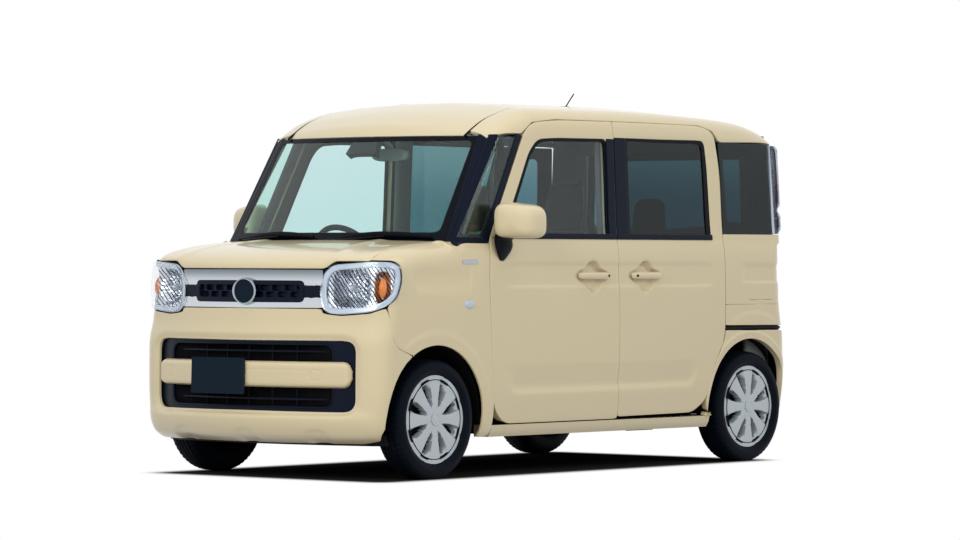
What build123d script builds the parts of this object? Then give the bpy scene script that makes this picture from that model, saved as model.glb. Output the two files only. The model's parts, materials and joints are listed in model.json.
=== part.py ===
from build123d import *
from collections import namedtuple
import math
import os

os.makedirs("parts", exist_ok=True)

# A five-door tall-wagon kei car. Millimetres, +Z up, the nose towards -Y and the car's left towards +X.
# The origin is on the ground, under the middle of the car's box.

# ---------------------------------------------------------------- overall sizes
LENGTH = 3395.0
WIDTH = 1475.0
WHEELBASE = 2460.0
FRONT_OVERHANG = 557.5
TRACK = 1295.0

HALF_WIDTH = WIDTH / 2
FRONT_Y = -LENGTH / 2
REAR_Y = LENGTH / 2
FRONT_AXLE_Y = FRONT_Y + FRONT_OVERHANG
REAR_AXLE_Y = FRONT_AXLE_Y + WHEELBASE
WHEEL_X = TRACK / 2

# ---------------------------------------------------------------- walls and gaps
SIDE_WALL = 60.0          # doors, quarters and bumpers
PILLAR_WALL = 45.0        # window frames and pillars
ROOF_WALL = 35.0
BONNET_WALL = 30.0
GLASS = 5.0
GLASS_REBATE = 35.0       # how far the frame reaches behind the edge of a pane
SEAT_GAP = 0.3            # between two pieces that are seated on each other
SHUT_GAP = 7.0            # round doors, bonnet, tailgate and lids
FIXED_GAP = 5.0           # round the sliding doors, which stay shut

# ---------------------------------------------------------------- wheels
TYRE_RADIUS = 276.0
TYRE_WIDTH = 155.0
TYRE_SHOULDER = 26.0
RIM_RADIUS = 178.0
RIM_WALL = 9.0
RIM_WIDTH = 130.0
COVER_OUT = 66.0          # outer face of the wheel cover from the wheel's middle plane
SPOKES = 8
HUB_RADIUS = 55.0
AXLE_Z = TYRE_RADIUS

# ---------------------------------------------------------------- body heights
SILL_Z = 185.0
FLOOR_Z = 225.0
FLOOR_THICK = 40.0
BELT_Z = 1090.0

# ---------------------------------------------------------------- plan sections of the lower body
# height, then how far each section stands in from the widest, foremost and rearmost lines, and its corner radius
PlanRow = namedtuple("PlanRow", "z side front rear corner")
LOWER_PLAN = [
    PlanRow(175, 47, 85, 57, 110),
    PlanRow(215, 25, 29, 17, 115),
    PlanRow(280, 13, 9, 6, 120),
    PlanRow(430, 2, 6, 4, 120),
    PlanRow(620, 0, 9, 8, 120),
    PlanRow(730, 0, 35, 30, 120),
    PlanRow(820, 0.5, 45, 42, 120),
    PlanRow(970, 4, 49, 45, 120),
    PlanRow(1100, 17, 57, 48, 120),
]
NOSE_ARC = 2002.0         # plan radius of the nose
TAIL_ARC = 6500.0         # plan radius of the tail

# plan sections of the glasshouse, with the windscreen's middle line behind the foremost line
GLASSHOUSE_PLAN = [
    PlanRow(1085, 15, 580, 48, 60),
    PlanRow(1390, 34, 777, 52, 60),
    PlanRow(1592, 43, 908, 61, 60),
    PlanRow(1790, 50, 1037, 70, 60),
]
SCREEN_ARC = 2250.0

# cross sections of the bonnet and of the roof: station, height in the middle, height at the rail, side height
CrossRow = namedtuple("CrossRow", "y middle rail side")
BONNET_CROSS = [
    CrossRow(-1740, 900, 880, 820),
    CrossRow(-1650, 985, 965, 880),
    CrossRow(-1560, 1042, 1012, 930),
    CrossRow(-1440, 1070, 1052, 975),
    CrossRow(-1250, 1092, 1080, 1015),
    CrossRow(-900, 1120, 1106, 1040),
]
BONNET_RAIL_X = 610.0
ROOF_CROSS = [
    CrossRow(-1200, 1260, 1170, 1110),
    CrossRow(-870, 1575, 1475, 1380),
    CrossRow(-721, 1658, 1593, 1500),
    CrossRow(-560, 1722, 1678, 1580),
    CrossRow(-330, 1764, 1731, 1636),
    CrossRow(300, 1769, 1735, 1640),
    CrossRow(1000, 1753, 1719, 1626),
    CrossRow(1300, 1733, 1700, 1606),
    CrossRow(1480, 1703, 1665, 1570),
    CrossRow(1700, 1590, 1545, 1440),
]
ROOF_RAIL_X = 600.0

# ---------------------------------------------------------------- outlines in the side view (y, z)
DOOR_SPLIT_Y = 223.0
FRONT_DOOR = [(-649, 242), (223, 242), (223, 1668), (-212, 1665), (-400, 1649), (-478, 1594),
              (-758, 1100), (-773, 935), (-760, 614), (-732, 314)]
SLIDING_DOOR = [(223, 255), (810, 257), (938, 317), (1003, 498), (1089, 599), (1098, 1045),
                (1086, 1463), (1058, 1610), (975, 1668), (223, 1668)]
FRONT_WINDOW = [(-648, 1136), (-440, 1515), (-368, 1581), (-220, 1591), (158, 1594), (158, 1136)]
SLIDING_WINDOW = [(302, 1136), (302, 1598), (960, 1598), (960, 1136)]
REAR_QUARTER = [(1112, 1140), (1098, 1460), (1075, 1594), (1477, 1594), (1500, 1140)]
FRONT_QUARTER = [(-985, 1118), (-790, 1118), (-520, 1560), (-640, 1560)]
WINDOW_CORNER = 40.0

# front view outlines (x, z)
SCREEN = [(-674, 1096), (674, 1096), (617, 1590), (-617, 1590)]
TAILGATE = [(-640, 560), (640, 560), (625, 1100), (600, 1780), (-600, 1780), (-625, 1100)]
TAILGATE_WINDOW = [(-560, 1120), (560, 1120), (535, 1560), (-535, 1560)]

# ---------------------------------------------------------------- joint lines
DOOR_HINGE_Y = -766.0
BONNET_HINGE_Y = -1048.0
TAILGATE_HINGE_Y = 1500.0
SCREEN_BASE_Y = -1010.0


def sag(radius, half):
    """How far an arc of this radius falls back at half its chord."""
    return radius - math.sqrt(radius * radius - half * half)


def plan_face(row, inset, nose_arc):
    """One horizontal section: side lines joined by a bowed nose and tail, with rounded corners."""
    half = HALF_WIDTH - row.side - inset
    front = FRONT_Y + row.front + inset
    rear = REAR_Y - row.rear - inset
    nose = ThreePointArc((-half, front + sag(nose_arc, half)), (0, front), (half, front + sag(nose_arc, half)))
    tail = ThreePointArc((half, rear - sag(TAIL_ARC, half)), (0, rear), (-half, rear - sag(TAIL_ARC, half)))
    face = make_face([nose, Line(nose @ 1, tail @ 0), tail, Line(tail @ 1, nose @ 0)])
    corner = max(row.corner - inset, 12)
    face = fillet(face.vertices().sort_by(Axis.Y)[:2], corner)
    face = fillet(face.vertices().sort_by(Axis.Y)[-2:], corner)
    return Pos(0, 0, row.z) * face


def plan_loft(rows, inset, nose_arc):
    """A solid with straight walls between horizontal sections, smaller all round by the inset."""
    return loft([plan_face(row, inset, nose_arc) for row in rows], ruled=True)


def cross_face(row, drop, rail_x, bottom):
    """One upright cross section with a crowned top and rounded shoulders."""
    side_x = HALF_WIDTH + 8
    middle, rail, side = row.middle - drop, row.rail - drop, row.side - drop
    crown = ThreePointArc((-rail_x, rail), (0, middle), (rail_x, rail))
    right = TangentArc(crown @ 1, (side_x, side), tangent=crown % 1)
    left = TangentArc(crown @ 0, (-side_x, side), tangent=-(crown % 0))
    rim = Polyline(right @ 1, (side_x, bottom), (-side_x, bottom), left @ 1)
    face = make_face([crown, right, rim, left])
    return Plane(origin=(0, row.y, 0), x_dir=(1, 0, 0), z_dir=(0, -1, 0)) * face


def cross_loft(rows, drop, rail_x, bottom):
    """A solid with straight walls between upright cross sections, lower by the drop."""
    return loft([cross_face(row, drop, rail_x, bottom) for row in rows], ruled=True)


def block(x0, x1, y0, y1, z0, z1):
    """A box between two corners."""
    return Pos((x0 + x1) / 2, (y0 + y1) / 2, (z0 + z1) / 2) * Box(x1 - x0, y1 - y0, z1 - z0)


def side_prism(points, radius, grow=0.0, x0=350.0, x1=900.0):
    """A side-view outline, grown or shrunk, run through the left-hand side."""
    face = make_face(Polyline(*points, close=True))
    if radius:
        face = fillet(face.vertices(), radius)
    if grow:
        face = offset(face, grow)
    return extrude(Plane(origin=(x0, 0, 0), x_dir=(0, 1, 0), z_dir=(1, 0, 0)) * face, x1 - x0)


def front_prism(points, radius, y0, y1, grow=0.0):
    """A front-view outline, grown or shrunk, run from y0 to y1."""
    face = make_face(Polyline(*points, close=True))
    if radius:
        face = fillet(face.vertices(), radius)
    if grow:
        face = offset(face, grow)
    return extrude(Plane(origin=(0, y1, 0), x_dir=(1, 0, 0), z_dir=(0, -1, 0)) * face, y1 - y0)


def rod(start, end, radius):
    """A round bar between two points."""
    axis = Vector(*end) - Vector(*start)
    return extrude(Plane(origin=start, z_dir=axis) * Circle(radius), axis.length)


def mirrored(shape):
    """The same piece on the other side of the car."""
    return mirror(shape, about=Plane.YZ)


def whole(shape):
    """The solids of a shape as one compound."""
    return Compound(children=list(shape.solids()))


NODES = {}


def keep(name, shape):
    """Store one node and write its STEP file."""
    NODES[name] = whole(shape)
    export_step(NODES[name], "parts/" + name + ".step")


# ---------------------------------------------------------------- master volumes
def tub(inset):
    """The body below the belt with plain vertical ends, smaller by the inset."""
    return plan_loft(LOWER_PLAN, inset, NOSE_ARC)


def lower_volume(inset, top_drop):
    """The tub with the space above the bonnet's surface taken away."""
    above = block(-900, 900, -1800, -905, 700, 1300) - cross_loft(BONNET_CROSS, top_drop, BONNET_RAIL_X - inset / 2, 100)
    return tub(inset) - above


def nose_skin(prism, outer, inner):
    """The part of a prism through the nose between two insets."""
    return (prism & tub(outer)) - tub(inner)


def glass_volume(inset, top_drop):
    """The glasshouse and roof above the belt."""
    house = plan_loft(GLASSHOUSE_PLAN, inset, SCREEN_ARC)
    return house & cross_loft(ROOF_CROSS, top_drop, ROOF_RAIL_X - inset / 2, 1000)


LEFT = block(0, 900, -1800, 1800, 0, 2000)
HIGH_BAND = block(-900, 900, -1800, 1800, BELT_Z, 2000)

house_outer = glass_volume(0, 0) & HIGH_BAND
house_inner = glass_volume(PILLAR_WALL, ROOF_WALL) & HIGH_BAND
house_glass = glass_volume(GLASS, GLASS)
house_rebate = glass_volume(GLASS + SEAT_GAP, GLASS + SEAT_GAP)
CABIN_TOP = block(-900, 900, SCREEN_BASE_Y, 1800, BELT_Z, 1300)
lower_outer = lower_volume(0, 0) - CABIN_TOP - house_outer
lower_inner = lower_volume(SIDE_WALL, BONNET_WALL) - CABIN_TOP

lower_shell = lower_outer - lower_inner
house_shell = house_outer - house_inner
pane_skin = house_outer - house_glass
rebate_skin = house_outer - house_rebate

lower_left = lower_shell & LEFT
house_left = house_shell & LEFT
pane_left = pane_skin & LEFT
rebate_left = rebate_skin & LEFT


# ---------------------------------------------------------------- wheel arches
ARCH_RADIUS = 345.0
LINER = 8.0


def arch(axle_y, radius, x0, x1):
    """A round bar across the car over one axle, as wide as the wheel arch."""
    return Pos((x0 + x1) / 2, axle_y - 8, AXLE_Z) * Rot(0, 90, 0) * Cylinder(radius, x1 - x0)


def liner(axle_y, x0, rear_y):
    """The upper half of the wheel housing, open towards the wheel."""
    ring = arch(axle_y, ARCH_RADIUS + LINER, x0, 690) - arch(axle_y, ARCH_RADIUS, x0 - 1, 700)
    return ring & block(0, 900, axle_y - 400, rear_y, AXLE_Z + 60, 900)


front_arch = arch(FRONT_AXLE_Y, ARCH_RADIUS, -900, 900)
rear_arch = arch(REAR_AXLE_Y, ARCH_RADIUS, -900, 900)
inner_fill = lower_volume(SIDE_WALL / 2, BONNET_WALL)

# ---------------------------------------------------------------- doors
def glazed(frame, window, radius):
    """Seat a flush pane in a frame: returns the frame with its rebate and opening, and the pane."""
    pane = pane_left & side_prism(window, radius)
    seat = rebate_left & side_prism(window, radius, SEAT_GAP)
    opening = side_prism(window, radius, -GLASS_REBATE)
    return frame - seat - opening, pane


side_shell = lower_left + house_left
front_door = side_shell & side_prism(FRONT_DOOR, 30, -SHUT_GAP / 2)
front_door, front_pane = glazed(front_door, FRONT_WINDOW, WINDOW_CORNER)
sliding_door = side_shell & side_prism(SLIDING_DOOR, 30, -FIXED_GAP / 2)
sliding_door, sliding_pane = glazed(sliding_door, SLIDING_WINDOW, WINDOW_CORNER)
front_hole = side_prism(FRONT_DOOR, 30, SHUT_GAP / 2)
door_holes = front_hole + side_prism(SLIDING_DOOR, 30, FIXED_GAP / 2)

mirror_head = block(748, 878, -752, -682, 1128, 1292)
mirror_head = fillet(mirror_head.edges().filter_by(Axis.Z), 22)
mirror_head = fillet(mirror_head.faces().sort_by(Axis.Z)[-1].edges(), 14)
mirror_arm = block(715, 795, -738, -692, 1020, 1080) - tub(-SEAT_GAP)
mirror_left = mirror_head + mirror_arm + block(755, 795, -738, -692, 1070, 1130)

for side, flip in (("_left", False), ("_right", True)):
    for name, piece in (("front_door", front_door), ("front_door_glass", front_pane),
                        ("sliding_door", sliding_door), ("mirror", mirror_left)):
        keep(name + side, mirrored(piece) if flip else piece)

# ---------------------------------------------------------------- lamps, grille and bumper
VIEW_ALONG = (-0.6316, 0.7753, 0)   # the lamp's outline is square to this line, out over the corner
HEADLAMP = [(434, 945), (489, 987), (708, 1001), (841, 999), (883, 974), (889, 915), (865, 842),
            (805, 795), (709, 769), (538, 758), (459, 764), (424, 792), (415, 866)]
GRILLE_X = 428.0
GRILLE_Z = (786.0, 968.0)
GRILLE_DEPTH = 45.0
BUMPER_TOP = 786.0
BUMPER_SEAM = [(-1800, 100), (-1800, 980), (-1492, 980), (-1491, 805), (-1477, 729), (-1462, 627),
               (-1340, 560), (-1300, 100)]
BONNET_EDGE_X = 650.0
BONNET_LIP_Z = 972.0
TIE_Z = 940.0             # top of the front tie bar, where the bonnet's latch rests


def lamp_prism(grow):
    """The headlamp's outline run through the front corner."""
    face = Plane(origin=(0, -1600, 0), x_dir=(1, 0, 0), z_dir=(0, -1, 0)) * make_face(Polyline(*HEADLAMP, close=True))
    if grow:
        face = offset(face, grow)
    run = Vector(*VIEW_ALONG)
    start = face.moved(Location(run * -260))
    return extrude(start, 560, dir=run)


def bonnet_prism(grow):
    """The bonnet's outline from above, with a rear edge that follows the windscreen."""
    half = BONNET_EDGE_X + grow
    rear = BONNET_HINGE_Y - 4 + grow
    edge = ThreePointArc((half, rear), (0, rear - sag(SCREEN_ARC, half)), (-half, rear))
    rim = Polyline((-half, rear), (-half, -1800), (half, -1800), (half, rear))
    return extrude(Pos(0, 0, BONNET_LIP_Z - grow) * make_face([edge, rim]), 300)


def grille_prism(grow):
    """The rounded oblong of the upper grille."""
    z0, z1 = GRILLE_Z
    points = [(-GRILLE_X, z0), (GRILLE_X, z0), (GRILLE_X, z1), (-GRILLE_X, z1)]
    return front_prism(points, 24, -1800, -1500, grow)


lamp = lamp_prism(0)
lamp_seat = lamp_prism(SEAT_GAP)
grille_seat = grille_prism(SEAT_GAP)
bonnet_hole = bonnet_prism(SHUT_GAP)

bonnet = lower_shell & bonnet_prism(0)
both_lamps = lamp_prism(SHUT_GAP)
both_lamps = both_lamps + mirrored(both_lamps)
bonnet = bonnet - both_lamps - grille_prism(4)
bonnet_latch = block(-40, 40, -1556, -1534, TIE_Z + SEAT_GAP, 1030)
keep("bonnet", bonnet + bonnet_latch)

headlamp = (lower_left & lamp) - grille_prism(2)
keep("headlamps", headlamp + mirrored(headlamp))

grille = nose_skin(grille_prism(0), 0, GRILLE_DEPTH)
slot = front_prism([(-330, 846), (330, 846), (330, 912), (-330, 912)], 30, -1800, -1500)
grille = grille - (slot - tub(20))
keep("upper_grille", grille)

INTAKE = [(-611, 315), (611, 315), (611, 645), (-611, 645)]
BAR = [(-579, 425), (579, 425), (579, 545), (-579, 545)]
bumper_zone = side_prism(BUMPER_SEAM, 0, x0=-900)
bumper = (lower_shell & bumper_zone) - front_arch - lamp_seat - mirrored(lamp_seat) - grille_seat
bumper = bumper - front_prism(INTAKE, 60, -1800, -1500) - bonnet_hole
bumper = bumper.solids().sort_by(SortBy.VOLUME)[-1]
keep("front_bumper", bumper)

intake = nose_skin(front_prism(INTAKE, 60, -1800, -1500, -SEAT_GAP), 22, 52)
for z in (345, 380, 405, 560, 585, 615):
    intake = intake - front_prism([(-520, z), (520, z), (520, z + 12), (-520, z + 12)], 5, -1800, -1500)
keep("lower_grille", intake)
bar = nose_skin(front_prism(BAR, 45, -1800, -1500), 0, 22 - SEAT_GAP)
keep("bumper_bar", bar)

# ---------------------------------------------------------------- fenders
STRUT_TOP = (517, FRONT_AXLE_Y + 32, 800)
BALL_JOINT = (600, FRONT_AXLE_Y, AXLE_Z - 72)
COWL_X = 650.0
fender_zone = block(0, 900, -1600, DOOR_HINGE_Y + 30, SILL_Z - 20, BELT_Z + 30)
cowl_zone = block(0, COWL_X, -1300, -900, 1000, 1200)
fender = (lower_left & fender_zone) - (bumper_zone + bonnet_hole + cowl_zone) - front_hole - lamp_seat - front_arch
APRON_X = 430.0
tower = inner_fill & block(APRON_X, 900, STRUT_TOP[1] - 75, STRUT_TOP[1] + 75, 800, 830)
strut_room = rod((STRUT_TOP[0] + 30, STRUT_TOP[1] - 12, 540), (STRUT_TOP[0], STRUT_TOP[1], 799), 82)
apron = (liner(FRONT_AXLE_Y, APRON_X, FRONT_AXLE_Y + 400) & inner_fill) - strut_room - bumper_zone
fender = (fender + tower + apron) - front_arch
fender = fender.solids().sort_by(SortBy.VOLUME)[-1]
keep("fender_left", fender)
keep("fender_right", mirrored(fender))
print("fender", fender.volume / 1e6, fender.is_valid, fender.bounding_box())

# ---------------------------------------------------------------- body sides
ROOF_X = 552.0
SILL_X = 600.0
FUEL_LID = [(1286, 812), (1500, 812), (1500, 972), (1286, 972)]
FUEL_POCKET_X = 700.0
rear_bumper_zone = block(-900, 900, 1500, 1800, 0, 652)
tail_lamp_zone = front_prism([(632, 1141), (900, 1141), (900, 1590), (610, 1590)], 0, 1548, 1800)
tailgate_hole = front_prism(TAILGATE, 30, TAILGATE_HINGE_Y - SHUT_GAP, 1800, SHUT_GAP)
side = (lower_left - fender_zone + house_left) - door_holes - tailgate_hole
side = side - block(0, ROOF_X, -1300, 1800, 1500, 2000) - rear_bumper_zone - tail_lamp_zone
side = side - block(0, COWL_X, -1300, -900, 900, 1500)
side = side - (rebate_left & front_prism(SCREEN, 30, -1300, -500, SEAT_GAP))
side = side - front_prism(SCREEN, 30, -1300, -500, -GLASS_REBATE)
side, quarter_pane = glazed(side, REAR_QUARTER, 24)
side, triangle_pane = glazed(side, FRONT_QUARTER, 14)
sill = lower_outer & block(SILL_X, 900, DOOR_HINGE_Y + 30, 975, 150, 238)
house_wall = block(470, 480, REAR_AXLE_Y - 353, 1499, 240, 640) & arch(REAR_AXLE_Y, ARCH_RADIUS + LINER, 460, 500)
wheelhouse = (liner(REAR_AXLE_Y, 470, 1499) & inner_fill) + house_wall
PILLAR = [(606, 230), (650, 230), (666, 400), (666, 930), (654, 1050), (652, 1130), (640, 1600), (612, 1720),
          (560, 1720), (610, 1600), (630, 1100), (628, 400)]
pillar = front_prism(PILLAR, 0, 172, 274)
LATCH_Z = 860.0
strikers = block(660, 700, 180, 215, LATCH_Z, LATCH_Z + 40) + block(660, 700, 232, 266, LATCH_Z, LATCH_Z + 40)
strikers = strikers & tub(SIDE_WALL + SEAT_GAP)
side = (side + sill + wheelhouse + pillar + strikers) - rear_arch
side = side.solids().sort_by(SortBy.VOLUME)[-1]
lid = side_prism(FUEL_LID, 20, 0, 724, 900) & lower_outer
lid_lug = block(FUEL_POCKET_X + SEAT_GAP, 726, 1292, 1304, 860, 930)
keep("fuel_lid", lid + lid_lug)
keep("body_side_left", side - side_prism(FUEL_LID, 20, SHUT_GAP, FUEL_POCKET_X, 900))
keep("body_side_right", mirrored(side))
print("side", side.volume / 1e6, side.is_valid)

# ---------------------------------------------------------------- fixed side glass
side_glass = sliding_pane + quarter_pane + triangle_pane
keep("side_glass", side_glass + mirrored(side_glass))

# ---------------------------------------------------------------- roof, windscreen and cowl
roof_zone = block(-ROOF_X, ROOF_X, -1300, TAILGATE_HINGE_Y - SHUT_GAP, 1500, 2000)
screen_seat = rebate_skin & front_prism(SCREEN, 30, -1300, -500, SEAT_GAP)
screen_hole = front_prism(SCREEN, 30, -1300, -500, -GLASS_REBATE)
ANTENNA_AT = (0, 730)
ANTENNA_FOOT = 20.0
ANTENNA_SEAT_Z = 1752.0
antenna_pocket = Pos(*ANTENNA_AT, ANTENNA_SEAT_Z + 20) * Cylinder(ANTENNA_FOOT + SEAT_GAP, 40)
roof = (house_shell & roof_zone) - screen_seat - screen_hole - antenna_pocket
keep("roof_panel", roof)
keep("windscreen", pane_skin & front_prism(SCREEN, 30, -1300, -500))
antenna = Pos(*ANTENNA_AT, ANTENNA_SEAT_Z + 14) * Cylinder(ANTENNA_FOOT, 28)
antenna_rod = rod((0, ANTENNA_AT[1], ANTENNA_SEAT_Z + 20), (0, ANTENNA_AT[1] + 72, 1845), 3)
keep("antenna", antenna + antenna_rod)

FIREWALL_Y = -885.0
cowl_skin = (lower_shell & cowl_zone) - bonnet_hole
cowl_sill = (house_shell & block(-COWL_X + 10, COWL_X - 10, -1300, -900, 1080, 1160)) - screen_seat - screen_hole
firewall = block(-600, 600, FIREWALL_Y - 15, FIREWALL_Y, FLOOR_Z, 1075)
cowl_box = block(-600, 600, -1000, FIREWALL_Y, 1045, 1080)
front_room = arch(FRONT_AXLE_Y, ARCH_RADIUS + LINER + SEAT_GAP, APRON_X - 4, 900)
front_room = front_room + mirrored(front_room)
cowl = (firewall - front_room) + cowl_box + cowl_skin + cowl_sill
cowl = cowl.solids().sort_by(SortBy.VOLUME)[-1]
keep("firewall_cowl", cowl)

# ---------------------------------------------------------------- tail
tailgate = ((lower_shell + house_shell) & front_prism(TAILGATE, 30, TAILGATE_HINGE_Y, 1800))
pane_zone = front_prism(TAILGATE_WINDOW, 50, 1550, 1800)
keep("tailgate_glass", pane_skin & pane_zone)
tailgate = tailgate - (rebate_skin & front_prism(TAILGATE_WINDOW, 50, 1550, 1800, SEAT_GAP))
tailgate = tailgate - front_prism(TAILGATE_WINDOW, 50, 1550, 1800, -GLASS_REBATE)
keep("tailgate", tailgate)
tail_lamp = (house_left & tail_lamp_zone) - tailgate_hole
keep("tail_lamps", tail_lamp + mirrored(tail_lamp))
rear_bumper = (lower_shell & rear_bumper_zone) - rear_arch - tailgate_hole
rear_bumper = rear_bumper.solids().sort_by(SortBy.VOLUME)[-1]
rear_bumper = rear_bumper + block(-40, 40, 1600, 1640, 550, 560 - SEAT_GAP)
keep("rear_bumper", rear_bumper)

# ---------------------------------------------------------------- floor and frame
REAR_FLOOR_Z = 420.0
KICK_Y = 985.0
floor = block(-SILL_X, SILL_X, FIREWALL_Y, KICK_Y, FLOOR_Z, FLOOR_Z + FLOOR_THICK)
floor = floor - front_room
kick = block(-470, 470, KICK_Y - 30, KICK_Y, FLOOR_Z, REAR_FLOOR_Z + FLOOR_THICK)
rear_floor = block(-470, 470, KICK_Y - 30, 1590, REAR_FLOOR_Z, REAR_FLOOR_Z + FLOOR_THICK)
keep("floor_pan", floor + kick + rear_floor)

RAIL_X = (340.0, 385.0)
RAIL_Z = (400.0, 480.0)
rails = block(*RAIL_X, -1560, FIREWALL_Y - 15, *RAIL_Z)
beam = block(-480, 480, -1560, -1530, *RAIL_Z)
post = block(310, 345, -1560, -1530, RAIL_Z[1] - 10, TIE_Z)
tie_bar = block(-345, 345, -1560, -1530, TIE_Z - 40, TIE_Z)
keep("front_frame", rails + mirrored(rails) + beam + post + mirrored(post) + tie_bar)
keep("radiator", block(-300, 300, -1529.7, -1490, 300, 700))
ARM_TOP = BALL_JOINT[2] - 14 - SEAT_GAP
arm = make_face(Polyline((618, -1160), (618, -1120), (380, -985), (300, -985), (300, -1180), (400, -1180), close=True))
arm = extrude(Pos(0, 0, ARM_TOP - 25) * arm, 25)
crossmember = block(-340, 340, -1180, -985, ARM_TOP - 25, ARM_TOP + 20)
runner = block(250, 330, -1000, FIREWALL_Y + 60, ARM_TOP - 5, FLOOR_Z)
keep("front_subframe", arm + mirrored(arm) + crossmember + runner + mirrored(runner))
keep("engine_block", block(-300, 300, -1400, -1010, ARM_TOP + 20, 720))
keep("fuel_tank", block(-420, 60, 150, 800, 150, FLOOR_Z))
PIPE_RADIUS = 22.0
PIPE_Z = FLOOR_Z - PIPE_RADIUS - SEAT_GAP
pipe = rod((190, -820, PIPE_Z), (190, 1005, PIPE_Z), PIPE_RADIUS)
keep("exhaust", pipe + rod((190, 1000, PIPE_Z), (190, 1195, PIPE_Z), 55))
print("tail", tailgate.volume / 1e6, rear_bumper.volume / 1e6, len(tailgate.solids()))

# ---------------------------------------------------------------- axles, knuckles and wheels
STUB = 15.0
BORE_GAP = 0.3
HUB_FACE = 604.0
ball = Pos(*BALL_JOINT) * Sphere(14)
hub = rod((560, FRONT_AXLE_Y, AXLE_Z), (HUB_FACE, FRONT_AXLE_Y, AXLE_Z), 50)
stub = rod((HUB_FACE - 1, FRONT_AXLE_Y, AXLE_Z), (685, FRONT_AXLE_Y, AXLE_Z), STUB)
lower_post = block(585, 612, FRONT_AXLE_Y - 15, FRONT_AXLE_Y + 15, BALL_JOINT[2] + 2, AXLE_Z)
upper_post = block(510, 562, FRONT_AXLE_Y - 18, FRONT_AXLE_Y + 22, AXLE_Z - 30, 440)
strut = rod((535, STRUT_TOP[1] - 28, 420), (517, STRUT_TOP[1], 784), 24)
spring = rod((527, STRUT_TOP[1] - 16, 590), (518, STRUT_TOP[1] - 1, 770), 50)
knuckle = ball + hub + stub + lower_post + upper_post + strut + spring
keep("knuckle_left", knuckle)
keep("knuckle_right", mirrored(knuckle))

beam_tube = rod((-560, REAR_AXLE_Y - 60, AXLE_Z), (560, REAR_AXLE_Y - 60, AXLE_Z), 32)
end = block(540, 596, REAR_AXLE_Y - 95, REAR_AXLE_Y + 40, AXLE_Z - 40, AXLE_Z + 40)
drum = rod((585, REAR_AXLE_Y, AXLE_Z), (618, REAR_AXLE_Y, AXLE_Z), 105)
rear_stub = rod((617, REAR_AXLE_Y, AXLE_Z), (685, REAR_AXLE_Y, AXLE_Z), STUB)
link = block(440, 490, KICK_Y + SEAT_GAP, REAR_AXLE_Y - 60, AXLE_Z - 20, AXLE_Z + 20)
hanger = block(420, 510, KICK_Y - 110, KICK_Y + 20, 190, FLOOR_Z)
hanger = hanger + block(440, 490, KICK_Y + SEAT_GAP, KICK_Y + 20, 190, AXLE_Z + 20)
hanger = hanger - block(400, 520, KICK_Y, KICK_Y + SEAT_GAP, FLOOR_Z - 1, 600)
half_axle = end + drum + rear_stub
half_axle = half_axle + link + hanger
keep("rear_axle", beam_tube + half_axle + mirrored(half_axle))


def wheel():
    """A rim, its disc with a ring of openings, and the hub boss, on the left side."""
    barrel = Cylinder(RIM_RADIUS - SEAT_GAP, RIM_WIDTH) - Cylinder(RIM_RADIUS - RIM_WALL, RIM_WIDTH + 2)
    disc = Pos(0, 0, COVER_OUT - 12) * Cylinder(RIM_RADIUS - 4, 12)
    opening = Pos(118, 0, COVER_OUT - 12) * extrude(SlotOverall(72, 30), 20, both=True)
    for place in PolarLocations(0, SPOKES):
        disc = disc - place * opening
    boss = Pos(0, 0, (COVER_OUT - 12) / 2) * Cylinder(HUB_RADIUS - 10, COVER_OUT - 12)
    bore = Pos(0, 0, -10) * Cylinder(STUB + BORE_GAP, 100)
    return Rot(0, 90, 0) * (barrel + disc + boss - bore)


def tyre():
    """A plain ring with rounded shoulders, on its side."""
    section = Rectangle(TYRE_RADIUS - RIM_RADIUS, TYRE_WIDTH)
    section = fillet(section.vertices().sort_by(Axis.X)[-2:], TYRE_SHOULDER)
    section = fillet(section.vertices().sort_by(Axis.X)[:2], 10)
    face = Plane.XZ * Pos((TYRE_RADIUS + RIM_RADIUS) / 2, 0) * section
    return Rot(0, 90, 0) * revolve(face, Axis.Z)


left_wheel, left_tyre = wheel(), tyre()
for place, axle_y in (("front", FRONT_AXLE_Y), ("rear", REAR_AXLE_Y)):
    for side, sign in (("left", 1), ("right", -1)):
        spot = Pos(sign * WHEEL_X, axle_y, AXLE_Z)
        turned = left_wheel if sign > 0 else mirrored(left_wheel)
        keep("wheel_" + place + "_" + side, spot * turned)
        keep("tyre_" + place + "_" + side, spot * left_tyre)

# ---------------------------------------------------------------- cabin
dash = block(-590, 590, FIREWALL_Y, -620, 760, 1020)
dash = fillet(dash.edges().filter_by(Axis.X).sort_by(Axis.Y)[-2:], 60)
dash = dash + block(-480, -220, -800, -612, 960, 1060)
WHEEL_AT = Vector(-350, -520, 985)
COLUMN = Vector(0, 0.83, 0.56).normalized()
column = rod(WHEEL_AT - COLUMN * 180, WHEEL_AT - COLUMN * 20.3, 28)
keep("dashboard", dash + column)
wheel_plane = Plane(origin=WHEEL_AT, z_dir=COLUMN)
steering = wheel_plane * (Torus(178, 14) + Pos(0, 0, -8) * Cylinder(60, 24) + Box(330, 34, 12))
keep("steering_wheel", steering)

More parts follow.
